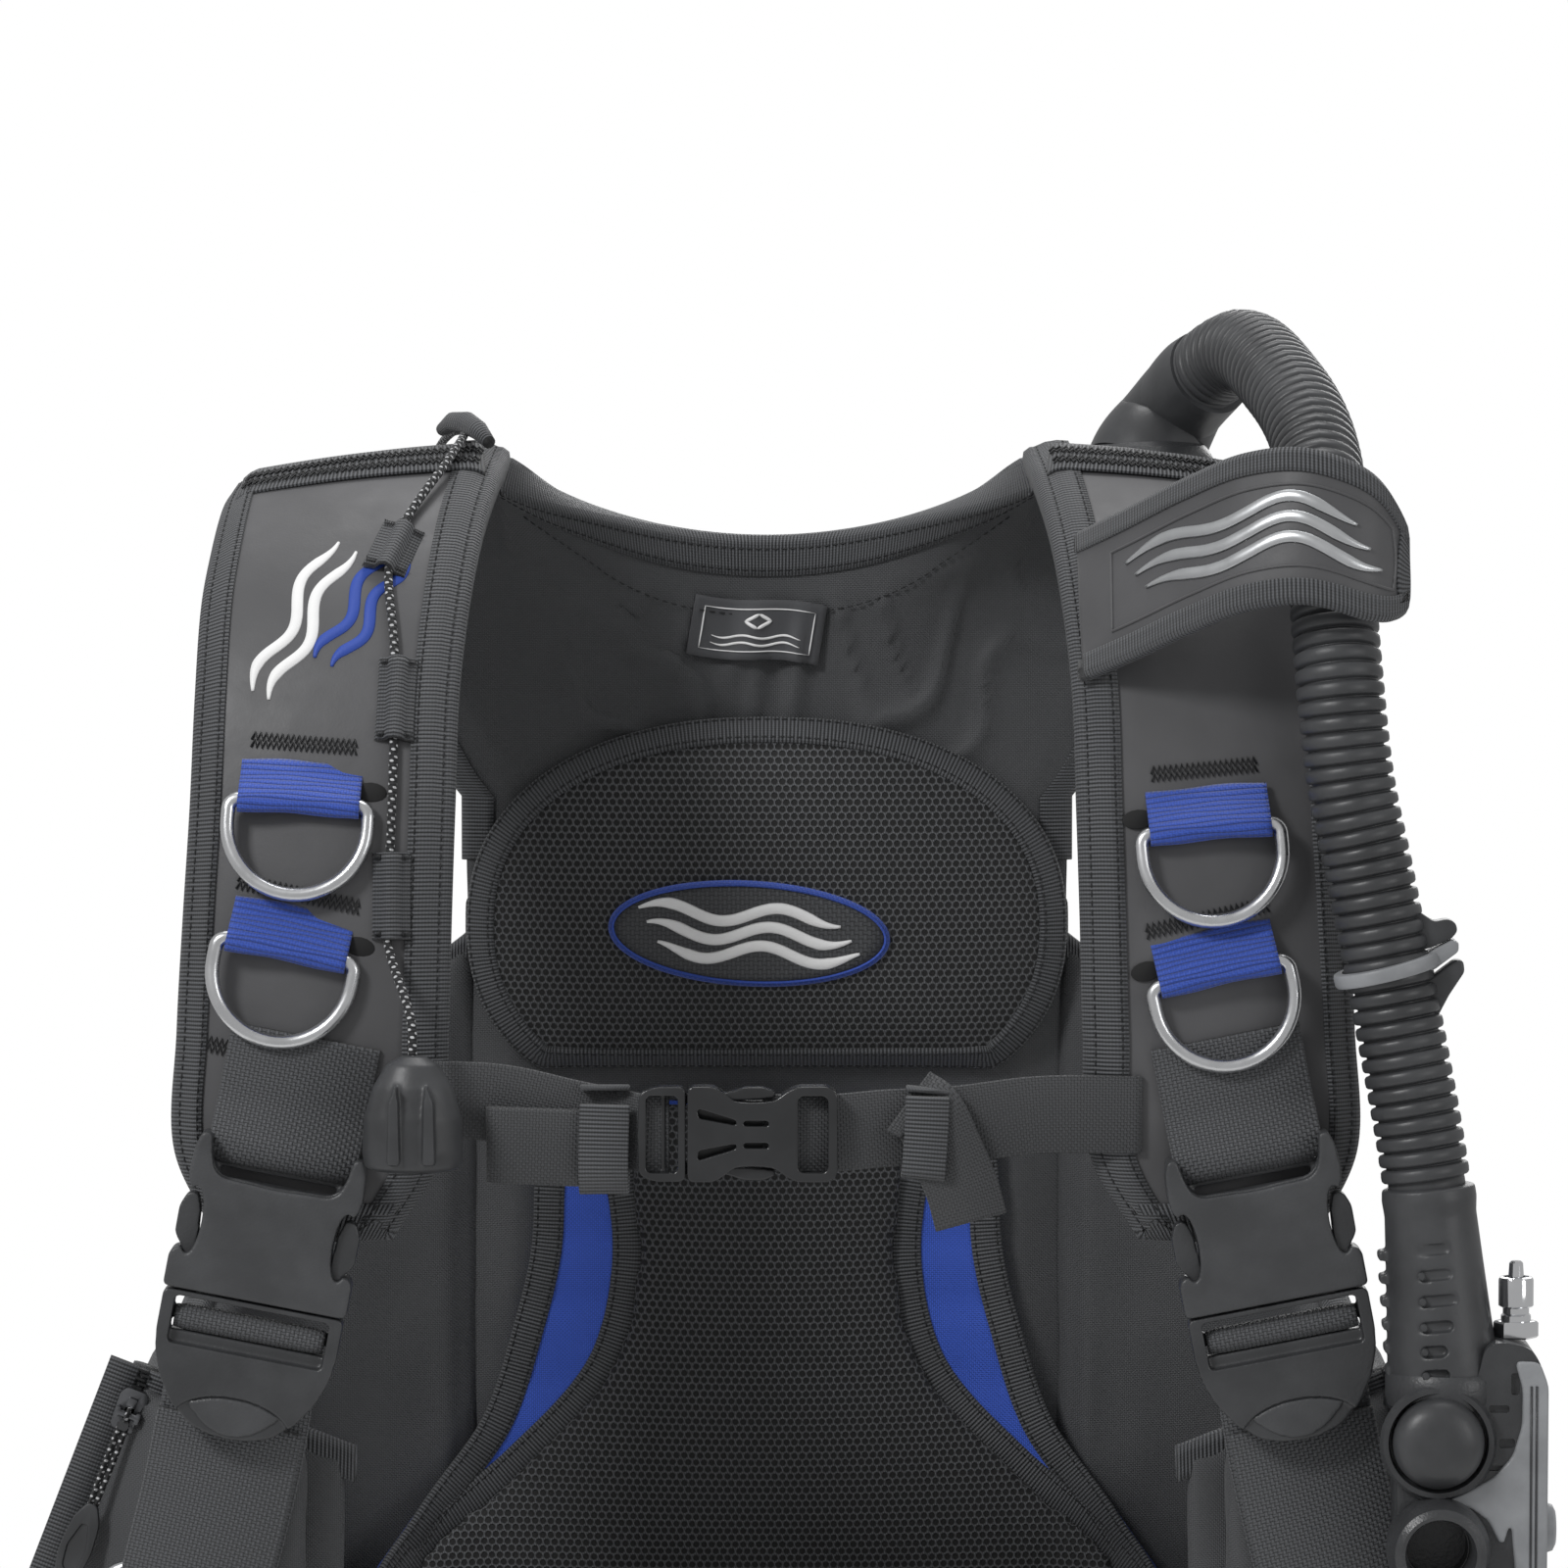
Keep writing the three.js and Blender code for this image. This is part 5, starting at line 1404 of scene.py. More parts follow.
def tape_on(skin, name, pairs, wide, finish, thick=0.0011, closed=False, body="vest", rows=(0.14, 0.86)):
    """Tape and its two stitch rows, laid on a skin along x, z pairs in millimetres."""
    pts, nms = skin.line(pairs)
    n = len(pts)
    sides = []
    for i in range(n):
        way = pts[(i + 1) % n if closed else min(i + 1, n - 1)] - pts[(i - 1) % n if closed else max(i - 1, 0)]
        sides.append(way.normalized().cross(nms[i]).normalized())
    made = [ride(flat_tape(name, pts, nms, sides, wide, thick, finish, closed), body, "webbing")]
    for k, share in enumerate(rows):
        off = (share - 0.5) * wide
        line = [p + s * off + m * thick * 1.05 for p, s, m in zip(pts, sides, nms)]
        turn = list(nms)
        if closed:
            line.append(line[0])
            turn.append(turn[0])
        made.append(ride(stitches(name + "_stitches_%d" % k, line, turn, get("thread")), body, "webbing"))
    return made


def oval_edge(a, out=1.0):
    """x, z of the upper pad's edge at angle a, cut straight along its foot."""
    s, c = math.sin(a), math.cos(a)
    # a little squarer than an ellipse
    k = (abs(c) ** 2.25 + abs(s) ** 2.25) ** (-1 / 2.25)
    x, z = 104 * k * c, 71 * k * s
    low = 46.8 - 95
    if z < low:
        x, z = x * (low / z) ** 0.35, low
    return x * out, 95 + z * out


@register_builder("vest.pads", "Back pads")
class BackPads(Builder):
    """Upper pad with its woven badge, lumbar pad and the blue side panels"""

    def build(self, sizes):
        verts, faces = [], []
        n, rings = 96, 22
        back = -29.9
        for j in range(rings + 1):
            r = 1 - j / rings
            for i in range(n):
                x, z = oval_edge(2 * math.pi * i / n, r)
                verts.append(Vector((x, back - 3 - 17.5 * (1 - r ** 3.2) ** 0.8, z)) * MM)
        for i in range(n):
            x, z = oval_edge(2 * math.pi * i / n)
            verts.append(Vector((x, back, z)) * MM)
        base = (rings + 1) * n
        for j in range(rings):
            for i in range(n):
                k = (i + 1) % n
                faces.append((j * n + i, j * n + k, (j + 1) * n + k, (j + 1) * n + i))
        faces += [(i, base + i, base + (i + 1) % n, (i + 1) % n) for i in range(n)]
        faces.append(tuple(base + i for i in range(n)))
        pad = keep("upper_pad", verts, faces, None, get("mesh"))
        pad.data.validate()
        inflated(pad, 0.0045, 4.0, 0.004, lambda p: p.y > -0.0335)
        ride(pad, "vest", "spacer_mesh", "upper_back_pad")

        lumbar = shell("lumbar_cushion", lumbar_point, 60, 80, self.lumbar_faces, get("mesh"))
        inflated(lumbar, 0.0045, 4.0, 0.0035, lambda p: p.y > -0.036 - 0.011 * max(0, abs(p.x) / MM - 84) ** 2 * MM)
        ride(lumbar, "vest", "spacer_mesh", "lumbar_pad")

        panel = shell("side_panels", panel_point, 60, 70, lambda u, v: (-0.0021 - 0.0009 * bulge((v * 9) % 1), 0.002),
            get("trim"))
        ride(panel, "vest", "blue_fabric", "harness_panel")

        skin = Skin(pad)
        ring = [oval_edge(2 * math.pi * k / 140, 0.945) for k in range(140)]
        tape_on(skin, "upper_pad_binding", ring, 0.0108, get("tape"), closed=True)
        soft = Skin(lumbar, panel)
        edge = Skin(panel)
        for side, sign in (("left", 1), ("right", -1)):
            inner = []
            outer = []
            for k in range(121):
                e, p = pad_edge.at(k / 120) / MM, panel_edge.at(k / 120) / MM
                inner.append((sign * (e.x + 1.8), e.z))
                outer.append((sign * (p.x - 4.5), p.z))
            tape_on(soft, "lumbar_binding_" + side, inner, 0.0130, get("tape"))
            tape_on(edge, "panel_binding_" + side, outer, 0.0105, get("tape"))
        self.badge(skin)

    @staticmethod
    def lumbar_faces(u, v):
        t = 14.5 * bulge(mix(0.05, 0.95, u)) ** 0.55 * bulge(mix(0.14, 0.9, v)) ** 0.3
        return (-0.4 - max(1.2, t)) * MM, -0.2 * MM

    @staticmethod
    def badge(skin):
        """Oval badge: blue rim, woven ground, and a plain wave mark."""
        cx, cz, tilt = -6.0, 93.5, math.radians(-3)

        def turned_pair(x, z):
            return cx + x * math.cos(tilt) - z * math.sin(tilt), cz + x * math.sin(tilt) + z * math.cos(tilt)

        ground, faces = [], []
        n = 72
        for j in range(9):
            for i in range(n):
                a = 2 * math.pi * i / n
                x, z = turned_pair(46 * j / 8 * math.cos(a) + 1e-4 * (i + 1), 16 * j / 8 * math.sin(a))
                p, m = skin.at(x * MM, z * MM)
                ground.append(p + m * 0.0011)
        for j in range(8):
            for i in range(n):
                k = (i + 1) % n
                faces.append((j * n + i, j * n + k, (j + 1) * n + k, (j + 1) * n + i))
        plate = keep("badge_ground", ground, faces, None, get("check"))
        modifier(plate, "WELD", merge_threshold=0.0002)
        modifier(plate, "SOLIDIFY", thickness=0.0014, offset=0.0)
        box_uv(plate)
        ride(plate, "vest", "nylon")
        ring = [turned_pair(46.5 * math.cos(2 * math.pi * k / 120),
            16.5 * math.sin(2 * math.pi * k / 120)) for k in range(120)]
        tape_on(skin, "badge_rim", ring, 0.0032, get("loop"), 0.0021, True, rows=())
        # generic mark: three slanted waves of thread
        strokes = []
        for k, (a, b) in enumerate(((-38, 31), (-35, 35), (-31, 38))):
            pts = []
            for s in range(61):
                t = s / 60
                x = mix(a, b, t)
                pts.append(turned_pair(x, (6.5 - 6.5 * k) + 2.6 * math.sin(x / 6.2 + k * 0.4)))
            strokes.append(mark_on(skin, pts, 0.0040, get("pale"), 0.0022))
        ride(joined(strokes, "badge_waves"), "vest", "coated_fabric")


def mark_on(skin, pairs, wide, finish, lift=0.0006):
    """A raised stroke on a skin, tapering to its ends."""
    pts, nms = skin.line(pairs, lift)
    rings = []
    n = len(pts)
    for i, (p, m) in enumerate(zip(pts, nms)):
        way = (pts[min(i + 1, n - 1)] - pts[max(i - 1, 0)]).normalized()
        side = way.cross(m).normalized()
        w = wide / 2 * min(1, 0.25 + 5 * min(i, n - 1 - i) / n)
        rings.append([p - side * w - m * 0.0004, p - side * w * 0.8 + m * 0.0002, p + m * 0.0004,
            p + side * w * 0.8 + m * 0.0002, p + side * w - m * 0.0004])
    return sweep("stroke", rings, finish)


# ---- webbing ----
CLIP_AT = Vector((164, -214.9, -10))
CLIP_LEAN = math.radians(11)
clip_place = Matrix.Translation(CLIP_AT * MM) @ Matrix.Rotation(-CLIP_LEAN, 4, "Y")
CHEST_Z, CHEST_Y = 44, -217
chest_place = Matrix.Translation(Vector((-25, CHEST_Y, CHEST_Z)) * MM) @ Matrix.Rotation(math.pi / 2, 4, "Y")
waist_place = Matrix.Translation(Vector((-4, -186, -190)) * MM) @ Matrix.Rotation(math.pi / 2, 4, "Y")


def both_sides(ob, slot, *nodes, body="vest", stem=None):
    """Rides a left piece and its mirrored twin; nodes are stems without the side."""
    left = ob.name
    other = mirrored(ob, left.replace("left", "right"))
    for piece, side in ((ob, "left"), (other, "right")):
        ride(piece, body + ("_" + side if body != "vest" else ""), slot, *[n + "_" + side for n in nodes])
    return ob, other


@register_builder("vest.webbing", "Harness webbing")
class Webbing(Builder):
    """Shoulder, chest and waist webbing with folded tails"""

    def build(self, sizes):
        into = lambda pts: [clip_place @ (Vector(p) * MM) for p in pts]
        across = Vector((math.cos(CLIP_LEAN), 0, math.sin(CLIP_LEAN)))
        line = Route([tuple(p / MM) for p in into([(0, 6.2, 86), (0, 6.1, 70), (0, 5.6, 62), (0, 2.6, 55),
            (0, 0.2, 49.5), (0, 0.6, 45), (0, 3.2, 42.4), (0, 5.0, 44)])])
        up = ribbon("upper_webbing_left", line.points(60), across, 0.0485, 0.0024, get("web"))
        both_sides(up, "webbing", "shoulder_webbing")
        low = Route([(167.5, -206.9, -24), (173, -206.4, -58), (178.5, -204.8, -82), (185, -203.8, -106),
            (191, -202.8, -130), (196, -202.0, -152)])
        tilt = lambda v: Vector((math.cos(math.radians(mix(11, 16, v))), 0, math.sin(math.radians(mix(11, 16, v)))))
        lower = ribbon("lower_strap_left", low.points(70), tilt, 0.0485, 0.0024, get("web"))
        both_sides(lower, "webbing", "lower_webbing")
        # the free tail, folded back over the lower webbing
        tail = Route([(172.5, -209.6, -50), (177.5, -209.4, -74), (184, -208.8, -100), (190, -207.6, -126),
            (195, -206.6, -148)])
        tail_piece = ribbon("strap_tail_left", tail.points(50), tilt, 0.0475, 0.0022, get("web"))
        both_sides(tail_piece, "webbing")

        z = CHEST_Z
        left = Route([(-1, -216.4, z), (12, -216.6, z), (24, -214.6, z), (38, -212.4, z + 1), (60, -211.6, z + 2),
            (88, -209.0, z + 5), (121, -208.9, z + 5)])
        right = Route([(-31, -215.2, z), (-38, -216.6, z), (-46, -213.0, z + 1), (-62, -211.4, z + 4),
            (-86, -209.8, z + 9), (-121, -209.0, z + 10)])
        ride(ribbon("chest_strap_left", left.points(70), UP, 0.025, 0.002, get("tape_web")), "vest", "webbing",
            "sternum_strap_left")
        ride(ribbon("chest_strap_right", right.points(60), UP, 0.025, 0.002, get("tape_web")), "vest", "webbing",
            "sternum_strap_right")
        # folded ends in front of the straps
        fold = Route([(-47, -214.2, z - 5), (-58, -216.4, z - 5), (-72, -216.8, z - 4.5), (-88, -215.2, z - 4),
            (-88.6, -213.0, z - 4), (-72, -214.0, z - 4.5), (-56, -213.8, z - 5)])
        ride(ribbon("chest_fold_right", fold.points(60), UP, 0.0245, 0.0019, get("tape_web")), "vest", "webbing")
        band = Route([(-51.5, -218.6, z + 9.5), (-51.8, -219.4, z), (-52.0, -219.2, z - 12),
            (-51.8, -214.6, z - 19.2), (-51.6, -211.0, z - 12), (-51.5, -210.8, z + 2), (-51.5, -212.4, z + 14),
            (-51.5, -217.2, z + 14.6)])
        ride(ribbon("chest_keeper_right", band.points(60), Vector((1, 0, 0)), 0.016, 0.0016, get("tape")), "vest",
            "webbing")
        drop = Route([(46, -213.8, z + 10), (52, -216.4, z + 6), (58, -216.2, z - 6), (63, -214.6, z - 18),
            (66, -213.0, z - 29)])
        ride(ribbon("chest_tail_left", drop.points(40), lambda t: Vector((math.cos(0.42), 0, math.sin(0.42))), 0.0235,
            0.0019, get("tape_web")), "vest", "webbing")
        keep_left = Route([(52, -218.0, z + 12), (51.6, -219.0, z + 2), (50.5, -218.4, z - 13),
            (50.4, -211.0, z - 14), (51, -209.6, z), (52, -210.6, z + 13), (52, -216.8, z + 13.6)])
        ride(ribbon("chest_keeper_left", keep_left.points(50), Vector((1, 0, -0.1)), 0.014, 0.0016, get("tape")),
            "vest", "webbing")

        near = -186 + 1.2
        right_y = -186 + 6.5 - 1.6 + 0.4 + 1.2
        for name, rows, node in (
            ("waist_strap_left", [(33.5, near, -190), (55, near, -190), (84, -182, -190), (139, -182, -190)],
            "waist_webbing_left"),
            ("waist_strap_right", [(-18, right_y, -190), (-40, right_y, -190), (-84, right_y, -190),
            (-139, right_y, -190)], "waist_webbing_right"),
        ):
            ride(ribbon(name, Route(rows).points(40), UP, 0.0485, 0.0024, get("web")), "vest", "webbing", node)
        girth = [(164, -50), (170, -84), (170, -122), (154, -146), (118, -156), (70, -160), (20, -161), (-30, -161)]
        for side, sign, step in (("left", 1, 4.4), ("right", -1, 0)):
            rows = [(sign * x, y - step * min(1, i / 4), -190) for i, (x, y) in enumerate(girth)]
            belt = ribbon("belly_band_" + side, Route(rows).points(70), UP, 0.095, 0.004, get("nylon"), 0.9)
            ride(belt, "vest", "nylon", "cummerbund_" + side)


# ---- side-release buckles ----
def softened(ob, size, rounds=3):
    """Melts a built-up moulding into one skin with soft edges."""
    modifier(ob, "REMESH", mode="VOXEL", voxel_size=size, use_smooth_shade=True)
    modifier(ob, "SMOOTH", factor=0.6, iterations=rounds)
    ob.data.polygons.foreach_set("use_smooth", [True] * len(ob.data.polygons))
    return ob


def mirror_outline(half):
    """Closes a half outline that runs from x = 0 round the right side back to x = 0."""
    return half + [(-x, z) for x, z in reversed(half) if x > 0.01]


def rounded(points, radius, steps=4):
    """Rounds the corners of a closed outline."""
    out = []
    n = len(points)
    for i in range(n):
        a, b, c = (Vector((*points[(i + d) % n], 0)) for d in (-1, 0, 1))
        u, w = (a - b), (c - b)
        if u.length < 1e-6 or w.length < 1e-6:
            continue
        r = min(radius, u.length * 0.45, w.length * 0.45)
        p, q = b + u.normalized() * r, b + w.normalized() * r
        for k in range(steps + 1):
            t = k / steps
            s = p * (1 - t) ** 2 + b * 2 * t * (1 - t) + q * t * t
            out.append((s.x, s.y))
    return out


@register_builder("vest.buckles", "Buckles")
class Buckles(Builder):
    """Side-release buckles: two on the shoulders, one on the chest and one at the waist"""

    def build(self, sizes):
        socket, insert, dish, roll = self.large()
        for side, flip in (("left", Matrix.Identity(4)), ("right", Matrix.Diagonal((-1, 1, 1, 1)))):
            self.put(socket, "clip_socket_" + side, flip @ clip_place, "vest", "moulded_plastic",
                "shoulder_buckle_socket_" + side)
            self.put(insert, "clip_insert_" + side, flip @ clip_place, "shoulder_insert_" + side, "moulded_plastic",
                "shoulder_buckle_insert_" + side)
            self.put(dish, "clip_thumb_" + side, flip @ clip_place, "shoulder_insert_" + side, "moulded_plastic")
            self.put(roll, "clip_roll_" + side, flip @ clip_place, "shoulder_insert_" + side, "webbing")
        self.put(socket, "waist_socket", waist_place, "vest", "moulded_plastic", "waist_buckle_socket")
        self.put(insert, "waist_tongue", waist_place, "waist_insert", "moulded_plastic", "waist_buckle_insert")
        self.put(dish, "waist_thumb", waist_place, "waist_insert", "moulded_plastic")
        self.put(roll, "waist_roll", waist_place, "waist_insert", "webbing")
        for ob in (socket, insert, dish, roll):
            bpy.data.objects.remove(ob)
        s, t = self.small()
        self.put(s, "chest_socket", chest_place, "vest", "moulded_plastic", "sternum_buckle_socket")
        self.put(t, "chest_tongue", chest_place, "sternum_insert", "moulded_plastic", "sternum_buckle_insert")
        for ob in (s, t):
            bpy.data.objects.remove(ob)

    @staticmethod
    def put(ob, name, place, body, slot, *nodes):
        me = ob.data.copy()
        me.name = name
        twin = bpy.data.objects.new(name, me)
        bpy.context.scene.collection.objects.link(twin)
        ride(placed(twin, place), body, slot, *nodes)

    @staticmethod
    def large():
        half = [(0, 0), (29.8, 0), (29.8, 10.5), (28.6, 12.6), (24.8, 13.6), (24.4, 31.0), (27.4, 33.6), (28.2, 38),
            (27.8, 46),
                (26.2, 51), (23.2, 51), (22.0, 44), (20.4, 39.6), (17.5, 37.4), (0, 36.6)]
        shell_ = slab("socket", rounded(mirror_outline(half), 1.8), -6.5, 6.5, get("pebbled"))
        floor = block("floor", (42, 3.4, 18), (0, 4.8, 42), None)
        bar = turned_bar(46, 2.6, (0, 3.4, 47))
        united(shell_, floor, bar)
        throat = block("throat", (53, 7.4, 40), (0, 0.2, 8))
        lip = block("lip", (44, 4.6, 9), (0, -1.5, 39.5))
        slot = block("slot", (38, 3.4, 3.2), (0, 4.8, 38.5))
        cut(shell_, throat, lip, slot)
        for sign in (-1, 1):
            ring = slab("ring", [(sign * 24.6 + 3.6 * math.cos(a / 20 * 2 * math.pi) * 0.9,
                22.4 + 11.2 * math.sin(a / 20 * 2 * math.pi)) for a in range(20)], -8, 8)
            cut(shell_, ring)
        softened(shell_, 0.55, 3)

        half = [(0, -0.7), (29.3, -0.7), (29.3, -14), (28.4, -21), (25.4, -29), (20.4, -36.5), (13.5, -42.6),
            (6, -44.9), (0, -45.2)]
        tongue = slab("insert", rounded(mirror_outline(half), 2.2), -5.6, 4.6, get("plastic"))
        window = slab("window", ring_points(50.6, 15.4, 1.6, 0, -10.2), -9, 9)
        scoop = slab("scoop", [(19.5 * math.cos(a / 32 * 2 * math.pi),
            -42 + 10.5 * math.sin(a / 32 * 2 * math.pi)) for a in range(32)], -7, -4.3)
        cut(tongue, window, scoop)
        rail = turned_bar(52, 2.2, (0, 1.6, -8.4))
        rear = slab("rear", ring_points(53, 3.6, 1.2, 0, -15.6), -2.4, 3.8)
        united(tongue, rail, rear)
        for sign in (-1, 1):
            arm = slab("arm", rounded([(sign * 20, -1), (sign * 25.5, -1), (sign * 25.2, 9), (sign * 26.6, 13.5),
                (sign * 29.3, 17), (sign * 29.4, 26),
                                       (sign * 27.4, 30.6), (sign * 24.2, 31), (sign * 22.4, 26), (sign * 21.4, 12)],
                                       1.6), -3.4, 3.4)
            united(tongue, arm)
        united(tongue, slab("guide", ring_points(9, 24, 2, 0, 10), -3, 3))
        softened(tongue, 0.55, 3)
        for v in tongue.data.vertices:
            if v.co.z < -17:
                v.co.y -= 2.2 * (1 - (v.co.x / 30) ** 2) * bulge((v.co.z + 17) / -56)
        dish = slab("thumb", rounded([(19.0 * math.cos(a / 32 * 2 * math.pi),
            max(-41.5 + 9.6 * math.sin(a / 32 * 2 * math.pi),
            -44.4 + 0.075 * (19.0 * math.cos(a / 32 * 2 * math.pi)) ** 2 * 0.5))
                                      for a in range(32)], 0.3), -5.4, -3.6, get("pebbled"))
        modifier(dish, "REMESH", mode="VOXEL", voxel_size=0.6, use_smooth_shade=True)
        modifier(dish, "SMOOTH", factor=0.6, iterations=4)
        for v in dish.data.vertices:
            v.co.y -= 2.2 * (1 - (v.co.x / 30) ** 2) * bulge((v.co.z + 17) / -56) - 0.3
        section = [(4.6 * math.cos(a / 18 * 2 * math.pi) + 0.6,
            3.4 * math.sin(a / 18 * 2 * math.pi) - 9.6) for a in range(18)]
        rings = []
        for k in range(31):
            x = mix(-24.4, 24.4, k / 30)
            e = 1 - 0.14 * (1 - min(1, min(k, 30 - k) / 2.5))
            rings.append([Vector((x, y * e, (z + 9.6) * e * 1.25 - 9.6)) for y, z in section])
        roll = sweep("roll", rings, get("web"))
        for layer in roll.data.uv_layers:
            for d in layer.data:
                d.uv = d.uv.yx
        return shell_, tongue, dish, roll

    @staticmethod
    def small():
        half = [(0, 0), (15.4, 0), (15.4, 8.5), (12.8, 12.5), (10.6, 15), (10.2, 22), (10.8, 28), (13.6, 31.5),
            (15.4, 35), (15.5, 45), (13.4, 48), (0, 48)]
        body = slab("socket", rounded(mirror_outline(half), 2.2), -4.75, 4.75, get("gloss"))
        window = slab("window", ring_points(24.6, 9.6, 1.8, 0, 40.2), -8, 8)
        throat = block("throat", (27, 5.2, 34), (0, 0.2, 11))
        slots = []
        for sign in (-1, 1):
            slots.append(slab("slot", rounded([(sign * 8.4, 3.2), (sign * 4.6, 15.5), (sign * 2.9, 15.8),
                (sign * 5.2, 3.6)], 0.7), -8, -2))
            slots.append(slab("slot", rounded([(sign * 4.4, 18), (sign * 4.4, 26), (sign * 2.7, 26),
                (sign * 2.7, 18)], 0.7), -8, -2))
        cut(body, window, throat, *slots)
        softened(body, 0.42, 3)

        half = [(0, -0.7), (15.2, -0.7), (15.2, -11), (13.2, -15.6), (0, -16)]
        tongue = slab("tongue", rounded(mirror_outline(half), 2.2), -4.3, 3.6, get("gloss"))
        cut(tongue, slab("window", ring_points(24.8, 10.2, 1.6, 0, -8.2), -8, 8))
        for sign in (-1, 1):
            arm = slab("arm", rounded([(sign * 9.6, -1), (sign * 12.8, -1), (sign * 12.6, 9), (sign * 13.6, 14),
                (sign * 15.0, 18), (sign * 15.1, 24),
                                       (sign * 13.6, 28), (sign * 11.6, 28), (sign * 11.0, 22), (sign * 10.4, 12)],
                                       1.2), -2.4, 2.4)
            united(tongue, arm)
        rail = turned_bar(26, 1.4, (0, 1.4, -8))
        united(tongue, rail)
        softened(tongue, 0.42, 3)
        return body, tongue


def turned_bar(long, radius, at):
    """A bar along X."""
    bar = turned("bar", [(radius, -long / 2), (radius, long / 2)], None, 20)
    bar.data.transform(Matrix.Translation(at) @ Matrix.Rotation(math.pi / 2, 4, "Y"))
    return bar


# ---- power inflator ----
hose_line = Route([(137, -20, 266), (146, -31, 280), (160, -60, 292), (172, -110, 281), (179, -150, 264),
    (181, -193, 235),
                   (183, -211, 196), (187, -216, 157), (193, -218, 128), (202, -221, 82), (209, -224, 44),
                   (212, -225, 24)])
CUFF_TOP, CUFF_FOOT = Vector((212.2, -225, 23.2)), Vector((217, -226, -33))


def basis(at, down):
    """Place whose -Z runs along a direction, its -Y facing forwards."""
    z = -down.normalized()
    y = (Vector((0, 1, 0)) - z * z.y).normalized()
    x = y.cross(z)
    m = Matrix((x, y, z)).transposed().to_4x4()
    m.translation = at * MM
    return m


